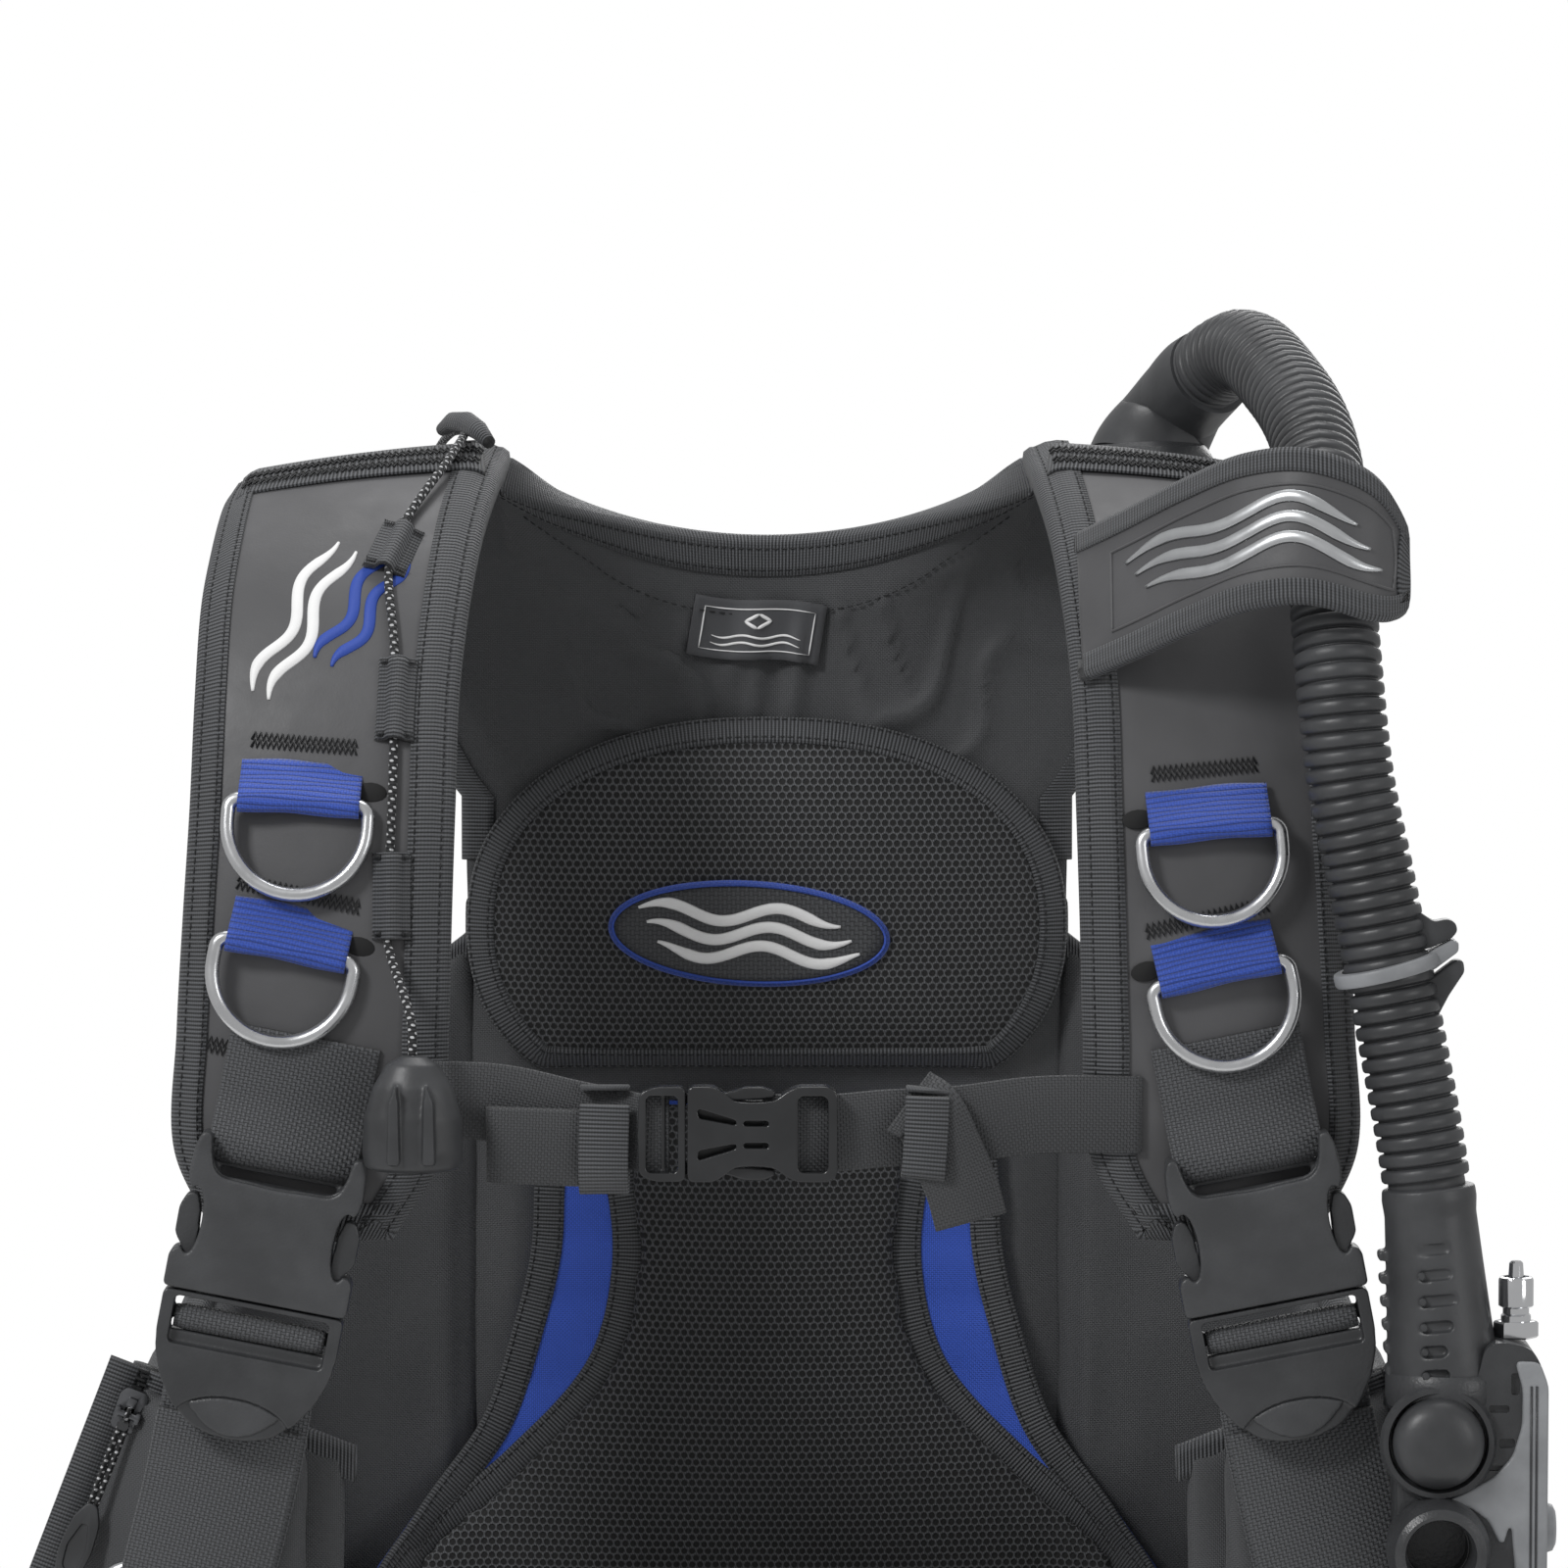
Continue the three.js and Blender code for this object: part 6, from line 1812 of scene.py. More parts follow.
@register_builder("vest.inflator", "Power inflator")
class Inflator(Builder):
    """Corrugated hose, elbow, cuff, handset with its buttons, clip and the strap's flap"""

    def build(self, sizes):
        self.hose(sizes)
        self.elbow()
        self.cuff()
        self.handset()
        self.clip()
        self.flap()

    @staticmethod
    def hose(sizes):
        # rounded ridges with narrow grooves, spaced evenly along the hose
        fine = hose_line.points(900)
        far = lengths(fine)
        count = round((far[-1] - 0.012) / sizes.rib_pitch)
        pitch = (far[-1] - 0.012) / count
        profile = ((0.0, -1.0), (0.06, -0.9), (0.13, -0.25), (0.25, 0.0), (0.5, 0.06), (0.75, 0.0), (0.87, -0.25),
            (0.94, -0.9))
        stations = [(s, 14.0) for s in (0.0, 0.002, 0.004)]
        stations += [(0.006 + (k + a) * pitch, 14.1 + 2.0 * b) for k in range(count) for a, b in profile]
        stations += [(far[-1] - 0.005, 12.4), (far[-1], 12.4)]
        pts, radii, i = [], [], 0
        for s, r in stations:
            while i < len(far) - 2 and far[i + 1] < s:
                i += 1
            pts.append(fine[i].lerp(fine[i + 1], (s - far[i]) / (far[i + 1] - far[i])))
            radii.append(r * MM)
        frames = carried(pts)
        rings = []
        for p, r, (a, b) in zip(pts, radii, frames):
            ring = []
            for k in range(36):
                t = 2 * math.pi * k / 36
                seam = 0.00025 if k in (9, 27) else 0
                ring.append(p + a * (r + seam) * math.cos(t) + b * (r + seam) * math.sin(t))
            rings.append(ring)
        ride(sweep("hose_tube", rings, get("rubber")), "vest", "rubber", "corrugated_hose")

    @staticmethod
    def elbow():
        shift = Matrix.Translation(Vector((131, -30, 247)) * MM)
        cap = turned("elbow_cap", [(15, -52), (15, -1), (20.5, -0.5), (22, 0.8), (22, 8), (21, 10), (19, 12.6),
            (13, 14.6), (12.4, 14.2), (6, 15), (0, 15)], get("plastic"), 64)
        ribs = []
        for k in range(20):
            a = 2 * math.pi * k / 20
            ribs.append(block("rib", (1.6, 3.2, 8), (22 * math.cos(a), 22 * math.sin(a), 4)))
            ribs[-1].data.transform(Matrix.Translation((22 * math.cos(a), 22 * math.sin(a), 4)) @ Matrix.Rotation(a,
                4, "Z") @ Matrix.Translation((-22 * math.cos(a), -22 * math.sin(a), -4)))
        cap = joined([cap] + ribs, "elbow_cap")
        cap.data.materials.clear()
        cap.data.materials.append(get("plastic"))
        placed(cap, shift)
        neck = tube("elbow_neck", Route([(128, -28, 250), (132, -24.6, 258), (137, -21, 266), (144, -28.5, 277.5),
            (148, -34, 281.5)]).points(24),
                    lambda t: mix(19.5, 14.9, smooth(0.1, 0.9, t)) * MM, get("rubber"), 40)
        collar = tube("elbow_collar", Route([(140, -24.2, 271.5), (147, -32.5, 280.8), (151, -39, 284.6)]).points(10),
            lambda t: (15.4 + 0.6 * bulge(t)) * MM, get("rubber"), 40)
        both = joined([cap, neck, collar], "elbow_body")
        shaded(both, 35)
        ride(both, "vest", "moulded_plastic", "inflator_elbow")

    @staticmethod
    def cuff():
        place = basis(CUFF_TOP, CUFF_FOOT - CUFF_TOP)
        long = (CUFF_FOOT - CUFF_TOP).length
        body = turned("cuff", [(13.2, 5), (14.9, 4.4), (15.2, 1), (14.7, -4), (15.6, -20), (16.6, -36),
            (17.6, -long + 6), (17.8, -long - 1), (16, -long - 2)], get("rubber"), 72)
        cuts = []
        for k, (z, w) in enumerate(((-14, 12.5), (-22.2, 13.5), (-30.4, 15.0), (-38.6, 12.5), (-46.4, 8.5),
            (-54, 9.0))):
            s = slab("slot", ring_points(w, 3.6, 1.75, -2.2 - 0.25 * k + (w - 12) * 0.1, z), -22,
                -13.4 - 0.055 * -z * 0.6)
            cuts.append(s)
        for k in range(8):
            cuts.append(block("notch", (6, 7, 3.0), (17.2 + 0.05 * k * 4.4, -8.5, -8 - 6.6 * k)))
        cut(body, *cuts)
        pegs = []
        for k in range(6):
            z = -16 - 7.4 * k
            pegs.append(slab("peg", rounded([(-17.6 + 0.018 * z, z - 1.6), (-13, z - 1.6), (-13, z + 1.6),
                (-17.6 + 0.018 * z, z + 1.6)], 0.9), -4, 4))
        united(body, *pegs)
        softened(body, 0.6, 2)
        dots = []
        for k, z in enumerate((-22.2, -30.4, -38.6, -46.4, -54)):
            d = turned("dot", [(1.3, 0), (1.3, 1.2), (0.9, 1.7), (0, 1.8)], get("rubber"), 16)
            d.data.transform(Matrix.Translation((-5.5 - 0.3 * k, -13.9 - 0.03 * -z, z)) @ Matrix.Rotation(math.pi / 2,
                4, "X"))
            dots.append(d)
        piece = joined([body] + dots, "cuff_body")
        placed(piece, place)
        ride(piece, "vest", "rubber", "hose_cuff")

    @staticmethod
    def handset():
        front = -241.5
        outline = [(203, -40), (207, -35.5), (226, -34), (229, -22), (234, -20), (244, -22), (248, -30), (248, -112),
            (243, -121), (230, -123.5), (212, -121), (204, -114), (202, -100), (201, -60)]
        body = slab("handset", rounded(outline, 5, 6), front + 0.5, -210.5, get("plastic"))
        forward = Matrix.Rotation(math.pi / 2, 4, "X")
        sideways = Matrix.Translation((246, -226, -82)) @ Matrix.Rotation(math.pi / 2, 4, "Y")
        holes = []
        for r, depth, spot in ((9.9, -16, Matrix.Translation((214, front, -86)) @ forward),
            (15.2, -6.5, Matrix.Translation((214, front, -52)) @ forward),
                               (8.6, -8, sideways)):
            holes.append(turned("hole", [(r, depth), (r, 20)], None, 56))
            holes[-1].data.transform(spot)
        for x, z, w, t in ((233.5, -41.5, 6.5, 2.4), (236.0, -52.5, 5, 3.0), (232.5, -60.5, 9, 1.7),
            (238.6, -33.5, 2.6, 7)):
            holes.append(slab("notch", ring_points(w, t, 0.8, x, z), front - 4, front + 2.2))
        cut(body, *holes)
        eased(body, 1.0, 3, 50)
        fittings = []
        for profile, spot in (([(18.4, -4), (19.2, -1), (19.2, 5), (18.0, 7)],
            Matrix.Translation((217.5, -226, -38))),
                              ([(15.5, -10), (16.5, 2), (16.2, 9), (14.6, 14.2), (12.6, 15.6), (11.4, 15.2),
                              (10.6, 12), (10.2, 3), (10, -15), (0, -15)],
                               Matrix.Translation((214, front, -86)) @ forward),
                              ([(17.2, -3), (18.6, 1.6), (17.6, 3.4), (16.0, 3.4), (15.4, 1.5), (15.3, -5.8),
                              (0, -5.8)], Matrix.Translation((214, front, -52)) @ forward)):
            fittings.append(turned("fitting", profile, get("plastic"), 60))
            fittings[-1].data.transform(spot)
        body = joined([body] + fittings, "handset_body")
        shaded(body, 35)
        placed(body, Matrix.Identity(4))
        ride(body, "vest", "moulded_plastic", "inflator_handset")

        # grey cover: a band down the outer side with a wave across the front
        edge = [(238.3, -26), (240.9, -35), (240.8, -46.7), (237.8, -56.7), (231.5, -63.6), (222.5, -68.2),
            (214, -68.9), (205, -65.2), (203.4, -67.4), (209, -70.6),
                (216.5, -71.4), (224.5, -73.2), (230.5, -77.6), (233.4, -84.0), (235.2, -84.6), (237.4, -77.0),
                (238.6, -92), (239.6, -112), (241.5, -119.6), (246, -113), (249.0, -104), (249.2, -34),
                (246.4, -26.4)]
        cover = slab("handset_cover", rounded(edge, 2.2, 4), front - 0.9, -224, get("grey"))
        hole = turned("hole", [(8.6, -8), (8.6, 10)], None, 40)
        hole.data.transform(Matrix.Translation((246, -226, -82)) @ Matrix.Rotation(math.pi / 2, 4, "Y"))
        cut(cover, hole)
        softened(cover, 0.6, 4)
        lines = []
        for k in range(2):
            pts = [Vector((243.6 + 1.7 * k, front - 1.0, z)) for z in (-34, -60, -90, -108)]
            lines.append(tube("line", [p * MM for p in pts], 0.0004, get("plastic"), 6))
        cover_lines = joined(lines, "handset_lines")
        placed(cover, Matrix.Identity(4))
        ride(cover, "vest", "grey_plastic")
        ride(cover_lines, "vest", "moulded_plastic")

        dome = turned("deflate_dome", [(14.6, -6), (14.6, 3), (14.2, 5.4), (12.8, 7.8), (10, 9.6), (6, 10.6),
            (0, 10.9)], get("rubber"), 64)
        placed(dome, Matrix.Translation(Vector((214, front, -52)) * MM) @ Matrix.Rotation(math.pi / 2, 4, "X"))
        ride(shaded(dome, 60), "deflate_button", "rubber", "deflate_button")
        knob = turned("inflate_cap", [(8, -4), (8, 5.2), (7.4, 7.0), (5.6, 7.9), (5.2, 7.5), (0, 7.3)], get("grey"),
            48)
        placed(knob, Matrix.Translation(Vector((245, -226, -82)) * MM) @ Matrix.Rotation(math.pi / 2, 4, "Y"))
        ride(shaded(knob, 40), "inflate_button", "grey_plastic", "inflate_button")

        hexagon = turned("nipple_hex", [(6.6, 0), (7.2, 0.6), (7.2, 4.8), (6.6, 5.4), (4.6, 5.6)], get("chrome"), 6)
        stem = turned("nipple_stem", [(4.8, 5), (4.8, 7.2), (4.2, 7.8), (4.2, 9.6), (5.2, 10), (5.6, 10.4),
            (5.6, 18.6), (5.2, 19.4), (4.2, 19.6), (4.2, 18.2), (2.6, 18), (2.2, 24.0), (1.6, 24.6), (0, 24.6)],
            get("chrome"), 40)
        placed(stem, Matrix.Translation(Vector((240, -226, -20.6)) * MM))
        placed(hexagon, Matrix.Translation(Vector((240, -226, -20.6)) * MM) @ Matrix.Rotation(0.4, 4, "Z"))
        nipple = shaded(joined([stem, hexagon], "nipple"), 30)
        ride(nipple, "vest", "plated_brass", "low_pressure_nipple")

    @staticmethod
    def clip():
        place = Matrix.Translation(Vector((198.7, -220, 97)) * MM) @ Matrix.Rotation(math.radians(-14), 4, "Y")
        ring = turned("clip_ring", [(14.5, -2.4), (17, -2.2), (17.4, -1.2), (17.4, 1.2), (17, 2.2), (14.5, 2.4),
            (14.3, 0)], get("grey"), 60)
        hole = turned("hole", [(14.3, -6), (14.3, 6)], None, 60)
        cut(ring, hole)
        modifier(ring, "BEVEL", width=0.4, segments=2, limit_method="ANGLE", angle_limit=0.7)
        placed(ring, place)
        ride(shaded(ring, 40), "vest", "grey_plastic", "hose_clip")
        spot = Matrix.Translation(Vector((198.7, -220, 97)) * MM)
        ears = []
        for outline in ([(8, 20), (14.7, 15.6), (19.1, 16.5), (21.6, 15.2), (22.2, 12.5), (20.1, 10), (13.8, 7.4),
            (8, 5.4)],
                        [(8, -3.6), (14.1, -2.1), (21.4, 3.4), (24.1, 3.1), (24.6, -0.5), (19.6, -8.1), (15.6, -15.8),
                        (10, -16)]):
            ear = slab("ear", rounded(outline, 1.2), -3.4, 3.4, get("rubber"))
            ears.append(eased(ear, 1.0, 3))
        tab = slab("clip_tab", rounded([(9, 3.6), (13.8, 6.4), (20.6, 9.9), (22.4, 9.2), (22.4, 6.2), (14.7, 0.4),
            (9, -1.4)], 1.0), -5.5, 5.5, get("grey"))
        eased(tab, 0.6, 2)
        placed(tab, spot)
        ride(tab, "vest", "grey_plastic")
        piece = joined(ears, "clip_ears")
        placed(piece, spot)
        ride(piece, "vest", "rubber")

    @staticmethod
    def flap():
        route = Route([(103, -173, 211), (118, -189, 219), (136, -206, 229), (154, -221, 237), (172, -229, 239),
            (191, -228, 233), (205, -217, 224)])

        def point(u, v):
            taper = mix(0.95, 1, bulge(u)) * math.sqrt(max(0.02, 1 - max(0, (u - 0.78) / 0.24) ** 2))
            reach = (v - 0.5) * 46 * taper * MM
            return route.at(u) + Vector((0, mix(0.62, 0.15, math.sqrt(u)) * reach, reach))

        faces = lambda u, v: (-0.0018, 0.0018 + 0.0006 * bulge(u) * bulge(v))
        body = shell("flap_cloth", point, 90, 34, faces, get("coated"), span=(0.0, 0.985, 0, 1))
        ride(body, "hose_flap", "coated_fabric", "hose_flap")
        path = [(mix(0.0, 0.975, k / 70), 1.0, (0, -1)) for k in range(71)]
        path += [(0.982, mix(0.97, 0.03, k / 14), (-1, 0)) for k in range(1, 14)]
        path += [(mix(0.975, 0.0, k / 70), 0.0, (0, 1)) for k in range(71)]
        tape = binding("flap_binding", point, faces, path, 0.0062, get("tape"), 0.0008)
        ride(tape, "hose_flap", "webbing")
        # raised frame and a plain wave mark
        skin = Skin(body)
        rim = []
        for k in range(161):
            t = k / 160 * 4
            side = int(t) % 4
            f = t - int(t)
            a, b, c, d = 0.1, 0.93, 0.23, 0.79
            u, v = ((mix(a, b, f), d), (b + 0.012 * bulge(f), mix(d, c, f)), (mix(b, a, f), c),
                (a, mix(c, d, f)))[side]
            p = point(u, v) / MM
            rim.append((p.x, p.z))
        rim = rim[:-1]
        pts, _ = skin.line(rim, 0.0001)
        ride(tube("flap_frame", pts + [pts[0]], 0.00055, get("coated"), 6), "hose_flap", "coated_fabric")
        marks = []
        for k in range(3):
            pairs = []
            for s in range(61):
                t = s / 60
                p = point(mix(0.15 + 0.03 * k, 0.88 - 0.04 * (2 - k), t),
                    0.66 - 0.14 * k + 0.05 * math.sin(11 * t + 0.6 * k)) / MM
                pairs.append((p.x, p.z))
            marks.append(mark_on(skin, pairs, 0.0042, get("silver"), 0.0006))
        ride(joined(marks, "flap_waves"), "hose_flap", "coated_fabric")


# ---- shoulder dump ----
@register_builder("vest.dump", "Dump valves")
class Dump(Builder):
    """Shoulder and rear dump valves, the pull cord with its keepers, and the knob"""

    def build(self, sizes):
        rows = [(118, -27, 236), (113, -37, 256), (107, -62, 264.2), (101, -94, 265.0), (104.5, -122, 258.0)]
        for u, z in ((0.3, 226), (0.24, 196), (0.22, 160), (0.22, 130), (0.22, 106)):
            rows.append(tuple(on_strap(u, z, 2.4).translation / MM))
        knob_top = (112.5, -229.5, 70.5)
        rows += [(113, -226.5, 80.5), (112.5, -229.5, 69.0)]
        cord = tube("pull_cord", [Vector((-p.x, p.y, p.z)) for p in Route(rows).points(420)], 0.00145, get("cord"),
            12)
        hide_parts("dump_cord")
        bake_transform(cord)

        for n, (u, z, wide, tall, tilt) in enumerate(((0.295, 228, 15, 21, 12), (0.218, 181, 13, 28, 0),
            (0.208, 119, 13, 28, -2))):
            place = Matrix.Diagonal((-1, 1, 1, 1)) @ on_strap(u, z, 1.5, tilt)
            pts = []
            half = wide / 2
            section = [(-half, 1.4), (-half + 0.6, -0.4), (-3.4, -1.0), (-2.2, -3.2), (0, -4.2), (2.2, -3.2),
                (3.4, -1.0), (half - 0.6, -0.4), (half, 1.4),
                       (half - 1.2, 1.6), (3.2, 0.6), (1.6, -2.0), (0, -2.8), (-1.6, -2.0), (-3.2, 0.6),
                       (-half + 1.2, 1.6)]
            rings = [[Vector((x, y, mix(-tall / 2, tall / 2, k / 16))) for x, y in section] for k in range(17)]
            keeper = placed(sweep("cord_keeper_%d" % n, rings, get("tape")), place)
            ride(keeper, "vest", "webbing")
            tacks = []
            for dz in (-tall / 2 + 1.6, tall / 2 - 1.6):
                for a, b in ((-half + 0.8, -3.6), (3.6, half - 0.8)):
                    line = [place @ (Vector((mix(a, b, k / 6), -1.2, dz)) * MM) for k in range(7)]
                    tacks.append(zigzag("tack", line, [FRONT] * 7, get("thread"), 0.0018, 0.0016, 0.0006))
            ride(joined(tacks, "keeper_tacks_%d" % n), "vest", "webbing")

        # folded tab at the crest that the cord comes out of
        pts = [Vector((-x, y, z)) * MM for x, y, z in ((92, -112, 262.5), (96, -104, 266.5), (100, -95, 268.6), (105,
            -88, 268.8), (109, -80, 266))]
        tab = tube("crest_tab", pts, lambda t: (2.2 + 1.6 * bulge(t)) * MM, get("tape"), 16)
        ride(tab, "vest", "webbing")

        # gumdrop knob with two upright ridges
        body = turned("knob", [(12.5, -37), (15.4, -35.6), (16.2, -31), (15.6, -20), (12.6, -10), (8.4, -3),
            (4.2, -0.4), (0, 0)], get("rubber"), 60)
        ridges = []
        for x in (-5.6, 5.6):
            ridges.append(slab("ridge", rounded([(x - 2.1, -34), (x + 2.1, -34), (x + 1.5, -14), (x * 0.85, -8),
                (x - 1.5, -14)], 1.0), -19.0, -8))
        united(body, *ridges)
        softened(body, 0.7, 4)
        body.data.transform(Matrix.Diagonal((1, 0.75, 1, 1)))
        body.name = "pull_knob"
        body.data.materials.clear()
        body.data.materials.append(get("rubber"))
        placed(body, Matrix.Translation(Vector((-knob_top[0], knob_top[1], knob_top[2])) * MM))
        ride(body, "dump_knob", "rubber", "dump_knob")

        tilt = Matrix.Rotation(math.radians(-78), 4, "X")
        valve = turned("valve", [(20, -14), (20, -3.2), (19.4, -2.2), (16.4, 0.4), (16, 1.2), (16, 6.6), (15.4, 7.6),
            (14.6, 7.8), (14.0, 7.2), (13.4, 2.4), (5, 1.8), (4.4, 3.6), (0, 3.8)], get("plastic"), 64)
        placed(valve, Matrix.Diagonal((-1, 1, 1, 1)) @ Matrix.Translation(Vector((121, -16, 208)) * MM) @ tilt)
        valve.name = "shoulder_valve"
        ride(valve, "vest", "moulded_plastic", "shoulder_dump_valve")
        back = Matrix.Rotation(-math.pi / 2, 4, "X")
        seat = turned("rear_valve", [(21, 0), (21, 5.2), (20.2, 6.2), (17.4, 8.6), (17, 10.2), (16.4, 11), (10.4, 11),
            (9.7, 10.4), (9.6, 3), (0, 3)], get("plastic"), 64)
        placed(seat, Matrix.Translation(Vector((-88, -14.0, -205)) * MM) @ back)
        ride(seat, "vest", "moulded_plastic", "rear_dump_valve")
        plunger = turned("rear_plunger", [(9, 0), (9, 7.4), (8.4, 8.8), (6.8, 9.5), (6.2, 9.1), (0, 9.0)],
            get("rubber"), 48)
        placed(plunger, Matrix.Translation(Vector((-88, -10.6, -205)) * MM) @ back)
        ride(plunger, "rear_dump_plunger", "rubber", "rear_dump_plunger")


# ---- pockets ----
pocket_inner = Route([(147, -191, -62), (146, -195, -120), (147, -195, -180), (150, -190, -236)])
pocket_outer = Route([(203, -158, -40), (229, -146, -92), (239, -138, -150), (236, -136, -236)])
ZIP_TOP, ZIP_FOOT = Vector((204, -170, -42)), Vector((242, -170, -140))
ZIP_WAY = (ZIP_FOOT - ZIP_TOP).normalized()


def pocket_point(u, v):
    p = pocket_inner.at(v).lerp(pocket_outer.at(v), u)
    return p + Vector((7.7 * bulge(u), -11 * bulge(u), 0)) * MM


@register_builder("vest.pockets", "Pockets")
class Pockets(Builder):
    """Zipped pockets on the front of the wings, with sliders, pulls and the low D-ring"""

    def build(self, sizes):
        def faces(u, v):
            t = 4 + 6 * math.sqrt(bulge(mix(0.06, 0.94, u)) * bulge(mix(0.1, 0.9, v)))
            return -t * MM, 0.006

        pocket = shell("pocket_cloth_left", pocket_point, 40, 56, faces, get("nylon"))
        inflated(pocket, 0.0048, 4.0, 0.003, lambda p: False)
        both_sides(pocket, "nylon", "pocket")
        lean = math.atan2(ZIP_WAY.x, -ZIP_WAY.z)
        base = Matrix.Rotation(-lean, 4, "Y")

        # tapes and coil of the zip, along its rail
        top, foot = ZIP_TOP - ZIP_WAY * 4 + Vector((0, -4.2, 0)), ZIP_FOOT + ZIP_WAY * 6 + Vector((0, -4.2, 0))
        long = (foot - top).length
        out = Vector((0, -1, 0))
        side = ZIP_WAY.cross(out).normalized()
        if side.x < 0:
            side = -side
        strips = []
        for name, off, wide in (("outer", 7.0, 10.5), ("inner", -6.5, 9.5)):
            pts = [(top + (foot - top) * k / 40 + side * off + Vector((0, 0.6, 0))) * MM for k in range(41)]
            strips.append(ribbon("zip_tape_" + name, pts, side, wide * MM, 0.0013, get("tape")))
        both_sides(joined(strips, "zip_tapes_left"), "webbing")
        rail = tube("zip_rail_left", [(ZIP_TOP - ZIP_WAY * 4 + (ZIP_FOOT - ZIP_TOP + ZIP_WAY * 10) * k / 12 + Vector((0, 1.6, 0))) * MM for k in range(13)], 0.0048, get("nylon"), 14)
        both_sides(rail, "nylon")
        verts, faces_ = [], []
        for k in range(int(long / 1.5)):
            at = (top + ZIP_WAY * (k + 0.5) * 1.5) * MM
            hand = 1 if k % 2 else -1
            b = len(verts)
            for dx in (-2.2, 1.0):
                for dy, dw in ((0.2, -0.5), (-1.1, -0.35), (-1.1, 0.35), (0.2, 0.5)):
                    verts.append(at + (side * dx * hand + Vector((0, dy, 0)) + ZIP_WAY * dw) * MM)
            faces_ += [tuple(b + q for q in f) for f in ((0, 1, 2, 3), (4, 7, 6, 5), (0, 4, 5, 1), (1, 5, 6, 2),
                (2, 6, 7, 3), (3, 7, 4, 0))]
        both_sides(keep("zip_teeth_left", verts, faces_, None, get("thread"), True), "nylon")

        at = (ZIP_TOP + ZIP_WAY * 10 + Vector((0, -5 - 0.4 - 2.5, 0)))
        place = Matrix.Translation(at * MM) @ base
        slider = slab("slider", rounded([(-4.4, -6), (-3.0, -7), (3.0, -7), (4.4, -6), (4.9, 4.5), (3.2, 7),
            (-3.2, 7), (-4.9, 4.5)], 1.0), -1.6, 2.4, get("dark_metal"))
        bridge = slab("bridge", rounded([(-1.5, -4.5), (1.5, -4.5), (1.5, 4.5), (-1.5, 4.5)], 0.6), -4.6, 0)
        hole = slab("hole", ring_points(6, 4.6, 0.8, 0, 0), -3.4, -1.7)
        cut(slider, hole)
        posts = [slab("post", ring_points(1.5, 3.6, 0.5, x, -1), -6.6, -1) for x in (-3.5, 3.5)]
        pin = turned_bar(7.6, 1.1, (0, -5.7, -1))
        united(slider, bridge, pin, *posts)
        eased(slider, 0.35, 2)
        placed(slider, place)
        slider.name = "slider_body_left"
        other = mirrored(slider, "slider_body_right")
        for ob, sd in ((slider, "left"), (other, "right")):
            ride(ob, "zip_slider_" + sd, "moulded_plastic", "zip_slider_" + sd)

        # woven cord and a teardrop rubber grip
        grip = slab("grip", rounded([(-1.6, -31), (1.6, -31), (4.6, -37), (5.4, -47), (4.4, -55), (0, -58.6),
            (-4.4, -55), (-5.4, -47), (-4.6, -37)], 2.4, 5), -2.6, 1.2, get("rubber"))
        well = slab("well", rounded([(-1.0, -38), (1.0, -38), (3.2, -46), (2.4, -53), (0, -55), (-2.4, -53),
            (-3.2, -46)], 1.2, 4), -4, -1.9)
        cut(grip, well)
        eased(grip, 0.6, 3)
        strand = tube("strand", [Vector((x, y, z)) for x, y,
            z in ((-1.1, 0, -3), (-1.2, -0.6, -16), (-0.9, -0.8, -32))], 0.95, get("cord"), 10)
        strand2 = tube("strand", [Vector((x, y, z)) for x, y,
            z in ((1.1, 0, -3), (1.2, -0.6, -16), (0.9, -0.8, -32))], 0.95, get("cord"), 10)
        loop = tube("loop", [Vector((0, 2.0 * math.cos(a),
            2.0 * math.sin(a))) for a in (2 * math.pi * k / 20 for k in range(20))], 0.8, get("cord"), 8, True)
        eye = slab("eye", ring_points(3.4, 3.4, 1.2, 0, -3.4), -1.2, 1.0, get("rubber"))
        pull = joined([grip, strand, strand2, loop, eye], "pull_body_left")
        placed(pull, place @ Matrix.Translation(Vector((0, -5.7, -1)) * MM))
        other = mirrored(pull, "pull_body_right")
        for ob, sd in ((pull, "left"), (other, "right")):
            ride(ob, "zip_pull_" + sd, "rubber", "zip_pull_" + sd)

        low = Matrix.Diagonal((-1, 1, 1, 1)) @ Matrix.Translation(Vector((197, -200,
            -114)) * MM) @ Matrix.Rotation(math.radians(-100), 4, "Y") @ Matrix.Rotation(math.radians(2), 4, "X")
        ring = d_ring("low_ring", 28, 21, 4.2, low)
        ride(ring, "d_ring_low_right", "stainless", "d_ring_low_right")
        tongue = [(-2.9 * math.cos(a), 2.9 * math.sin(a)) for a in (math.radians(d) for d in range(-90, 91, 20))]
        section = [(p[0], p[1]) for p in tongue] + [(12, 3.4), (20, 3.2), (20, 1.2), (11, 0.6), (3.2, -1.4)]
        rings = [[Vector((x, y, z)) for y, z in section] for x in [mix(-8.6, 8.6, k / 14) for k in range(15)]]
        hold = sweep("low_ring_loop", rings, get("web"))
        placed(hold, Matrix.Diagonal((-1, 1, 1, 1)) @ Matrix.Translation(Vector((197, -200,
            -114)) * MM) @ Matrix.Rotation(math.radians(-100), 4, "Y"))
        ride(hold, "vest", "webbing")


# ---- tank side ----
@register_builder("vest.tank_side", "Tank side")
class TankSide(Builder):
    """Backplate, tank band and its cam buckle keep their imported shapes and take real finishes"""

    def build(self, sizes):
        for name, finish in (("backplate", "plastic"), ("tank_band", "plain_band"), ("cam_buckle_base", "plastic"),
            ("cam_lever", "pebbled")):
            ob = frame["nodes"][name]
            ob.data.materials.clear()
            ob.data.materials.append(get(finish))


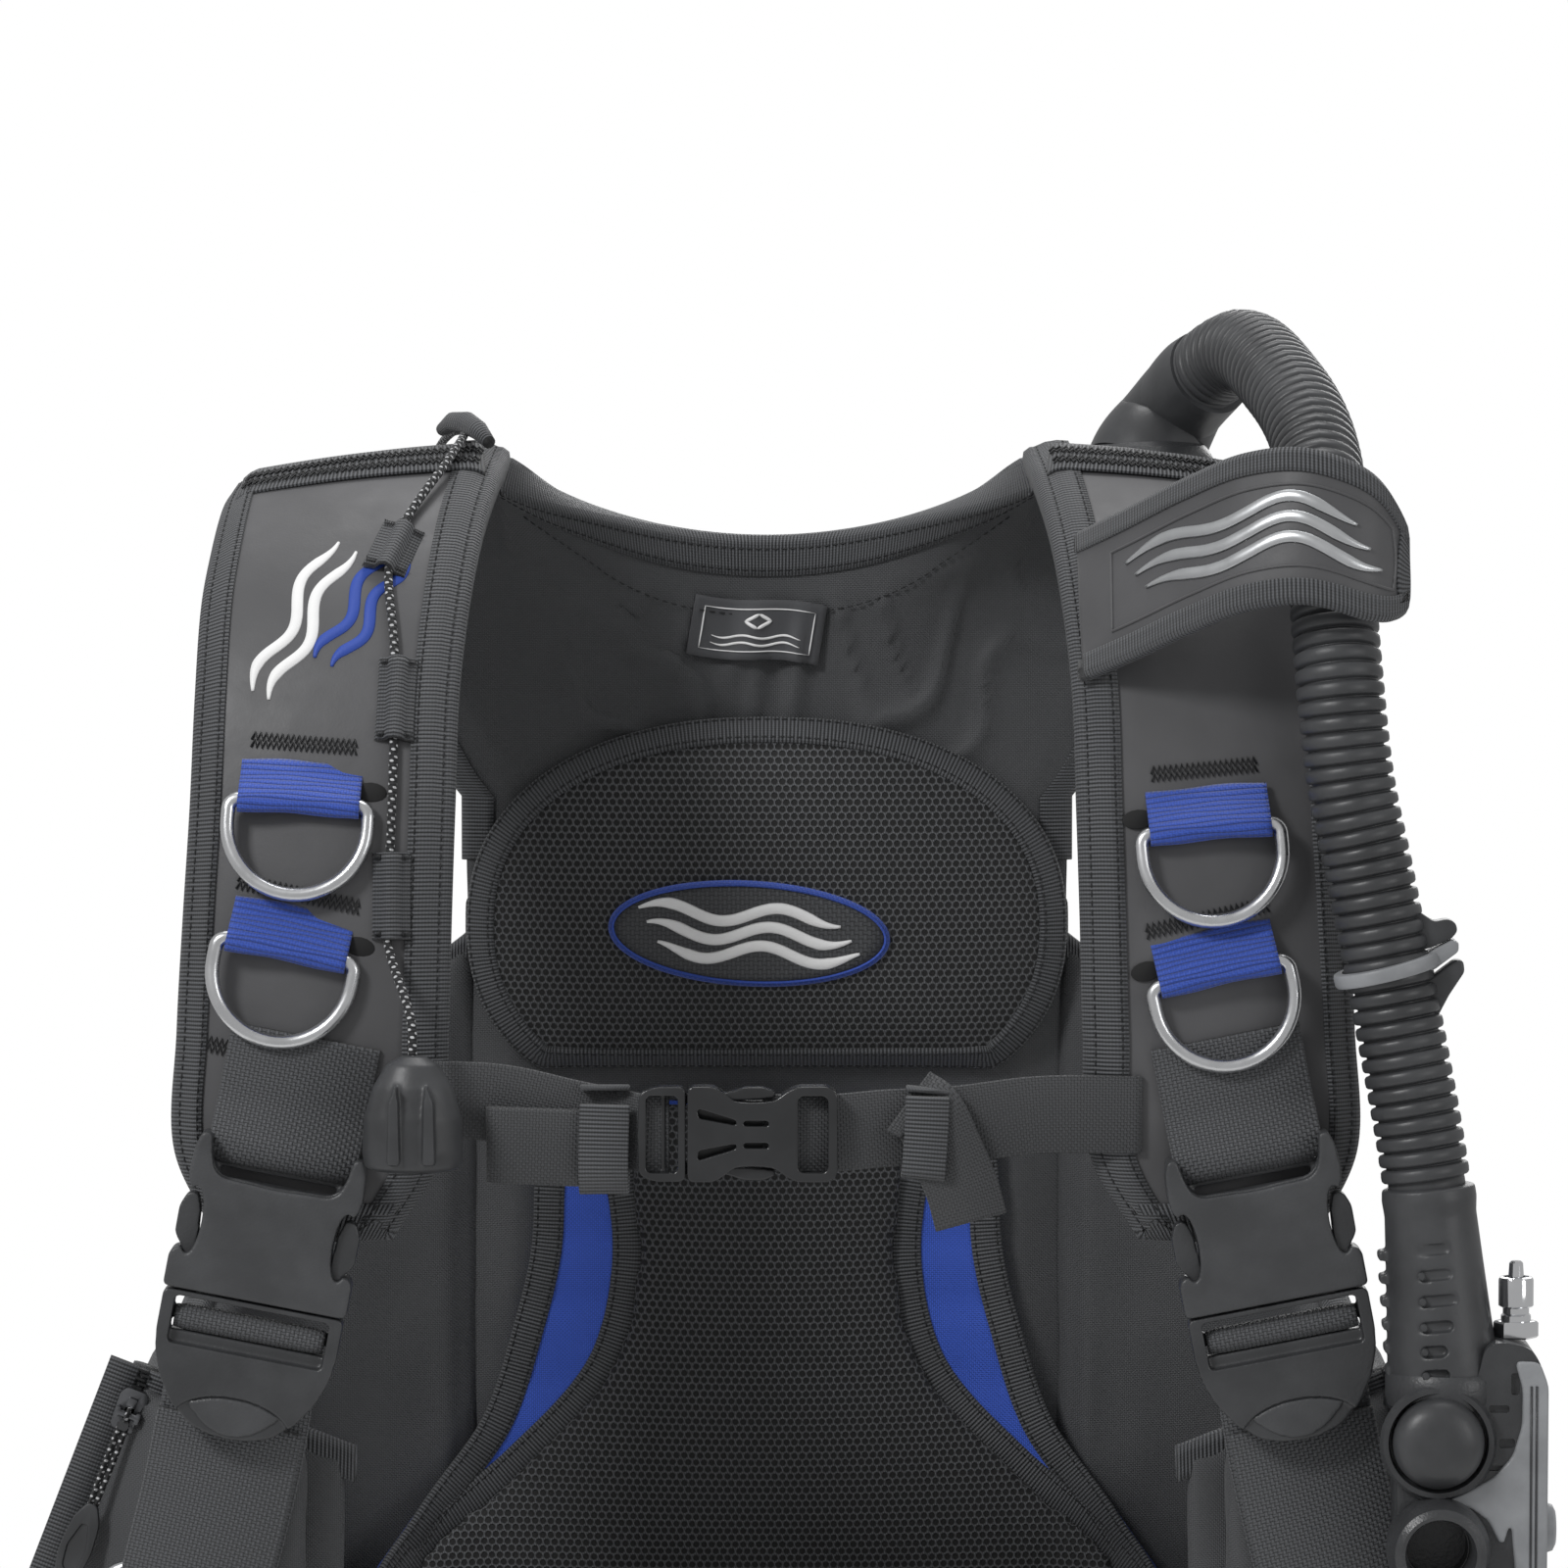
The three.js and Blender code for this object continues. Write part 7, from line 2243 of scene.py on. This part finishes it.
# ---- marks and the neck label ----
@register_builder("vest.labels", "Label and marks")
class Labels(Builder):
    """Neck label with its frame, and the strap's two-tone wave mark"""

    def build(self, sizes):
        cell = Skin(bpy.data.objects["air_cell"])

        def spot(x, z):
            return cell.at(x * MM, z * MM)

        def on_label(a, b):
            """Where the label's own place (a across, b down) hangs, as (x, z) in millimetres."""
            return -2.0 + 45 * a - 3.4 * (b - 0.1), 206.5 - 20.5 * b - 4.5 * a + 0.9 * math.sin(6 * a)

        verts, faces = [], []
        nu, nv = 24, 12
        for j in range(nv + 1):
            for i in range(nu + 1):
                a, b = i / nu - 0.5, j / nv
                x, z = on_label(a, b)
                p, _ = spot(x, max(z, 176))
                verts.append(Vector((x * MM, p.y - (1.6 + 1.6 * b + 0.7 * math.sin(5 * a + 1)) * MM, z * MM)))
        for j in range(nv):
            for i in range(nu):
                k = j * (nu + 1) + i
                faces.append((k, k + 1, k + nu + 2, k + nu + 1))
        label = keep("neck_label", verts, faces, None, get("label"))
        modifier(label, "SOLIDIFY", thickness=0.0006, offset=0)
        box_uv(label)
        ride(label, "vest", "nylon")
        face = Skin(label)
        lines = []
        for a0, b0, a1, b1 in ((-0.42, 0.16, 0.42, 0.16), (0.42, 0.16, 0.42, 0.86), (0.42, 0.86, -0.42, 0.86),
            (-0.42, 0.86, -0.42, 0.16)):
            pts = []
            for k in range(21):
                a, b = mix(a0, a1, k / 20), mix(b0, b1, k / 20)
                pts.append(on_label(a, b))
            lines.append(mark_on(face, pts, 0.0005, get("pale"), 0.0002))
        for a0, b0, a1, b1 in ((-0.1, 0.36, 0.0, 0.24), (0.0, 0.24, 0.1, 0.36), (0.1, 0.36, 0.0, 0.48),
            (0.0, 0.48, -0.1, 0.36)):
            pts = []
            for k in range(9):
                a, b = mix(a0, a1, k / 8), mix(b0, b1, k / 8)
                pts.append(on_label(a, b))
            lines.append(mark_on(face, pts, 0.0013, get("pale"), 0.0002))
        for row in range(2):
            pts = []
            for k in range(41):
                a, b = mix(-0.34, 0.34, k / 40), 0.62 + 0.12 * row + 0.03 * math.sin(k / 3)
                pts.append(on_label(a, b))
            lines.append(mark_on(face, pts, 0.0009, get("pale"), 0.0002))
        ride(joined(lines, "neck_label_print"), "vest", "coated_fabric")

        strap = Skin(bpy.data.objects["strap_cloth_right"])
        whites, blues = [], []
        for n, (x0, z0, x1, z1, made, swing) in enumerate(((-166, 184, -142, 232, whites, 2.6),
            (-160, 181, -136, 229, whites, 2.6),
                                                          (-145, 194, -123, 231, blues, 2.2),
                                                          (-139, 191, -117.5, 226, blues, 2.2))):
            pairs = []
            way = Vector((x1 - x0, z1 - z0)).normalized()
            for k in range(61):
                t = k / 60
                s = swing * math.sin(t * 11 + n * 0.3)
                pairs.append((mix(x0, x1, t) - way.y * s, mix(z0, z1, t) + way.x * s))
            made.append(mark_on(strap, pairs, 0.0042, get("pale" if made is whites else "blue_ink"), 0.0002))
        ride(joined(whites, "strap_mark_pale"), "vest", "coated_fabric")
        ride(joined(blues, "strap_mark_blue"), "vest", "blue_fabric")


class VestPanel(bpy.types.Panel):
    """The vest's pieces in the sidebar"""
    bl_label = "Vest"
    bl_idname = "VIEW3D_PT_vest"
    bl_space_type = "VIEW_3D"
    bl_region_type = "UI"
    bl_category = "Vest"

    def draw(self, context):
        scene = context.scene
        for group in (scene.vest_sizes, scene.vest_colours):
            for name in group.bl_rna.properties.keys():
                if name not in ("rna_type", "name"):
                    self.layout.prop(group, name)
        for cls in BUILDERS:
            self.layout.operator(cls.bl_idname)


def register():
    for cls in (VestColours, VestSizes, *BUILDERS, VestPanel):
        bpy.utils.register_class(cls)
    bpy.types.Scene.vest_colours = bpy.props.PointerProperty(type=VestColours)
    bpy.types.Scene.vest_sizes = bpy.props.PointerProperty(type=VestSizes)


def unregister():
    del bpy.types.Scene.vest_colours
    del bpy.types.Scene.vest_sizes
    for cls in reversed((VestColours, VestSizes, *BUILDERS, VestPanel)):
        bpy.utils.unregister_class(cls)


def main():
    register()
    for cls in BUILDERS:
        group, name = cls.bl_idname.split(".")
        getattr(getattr(bpy.ops, group), name)()


if __name__ == "__main__":
    main()
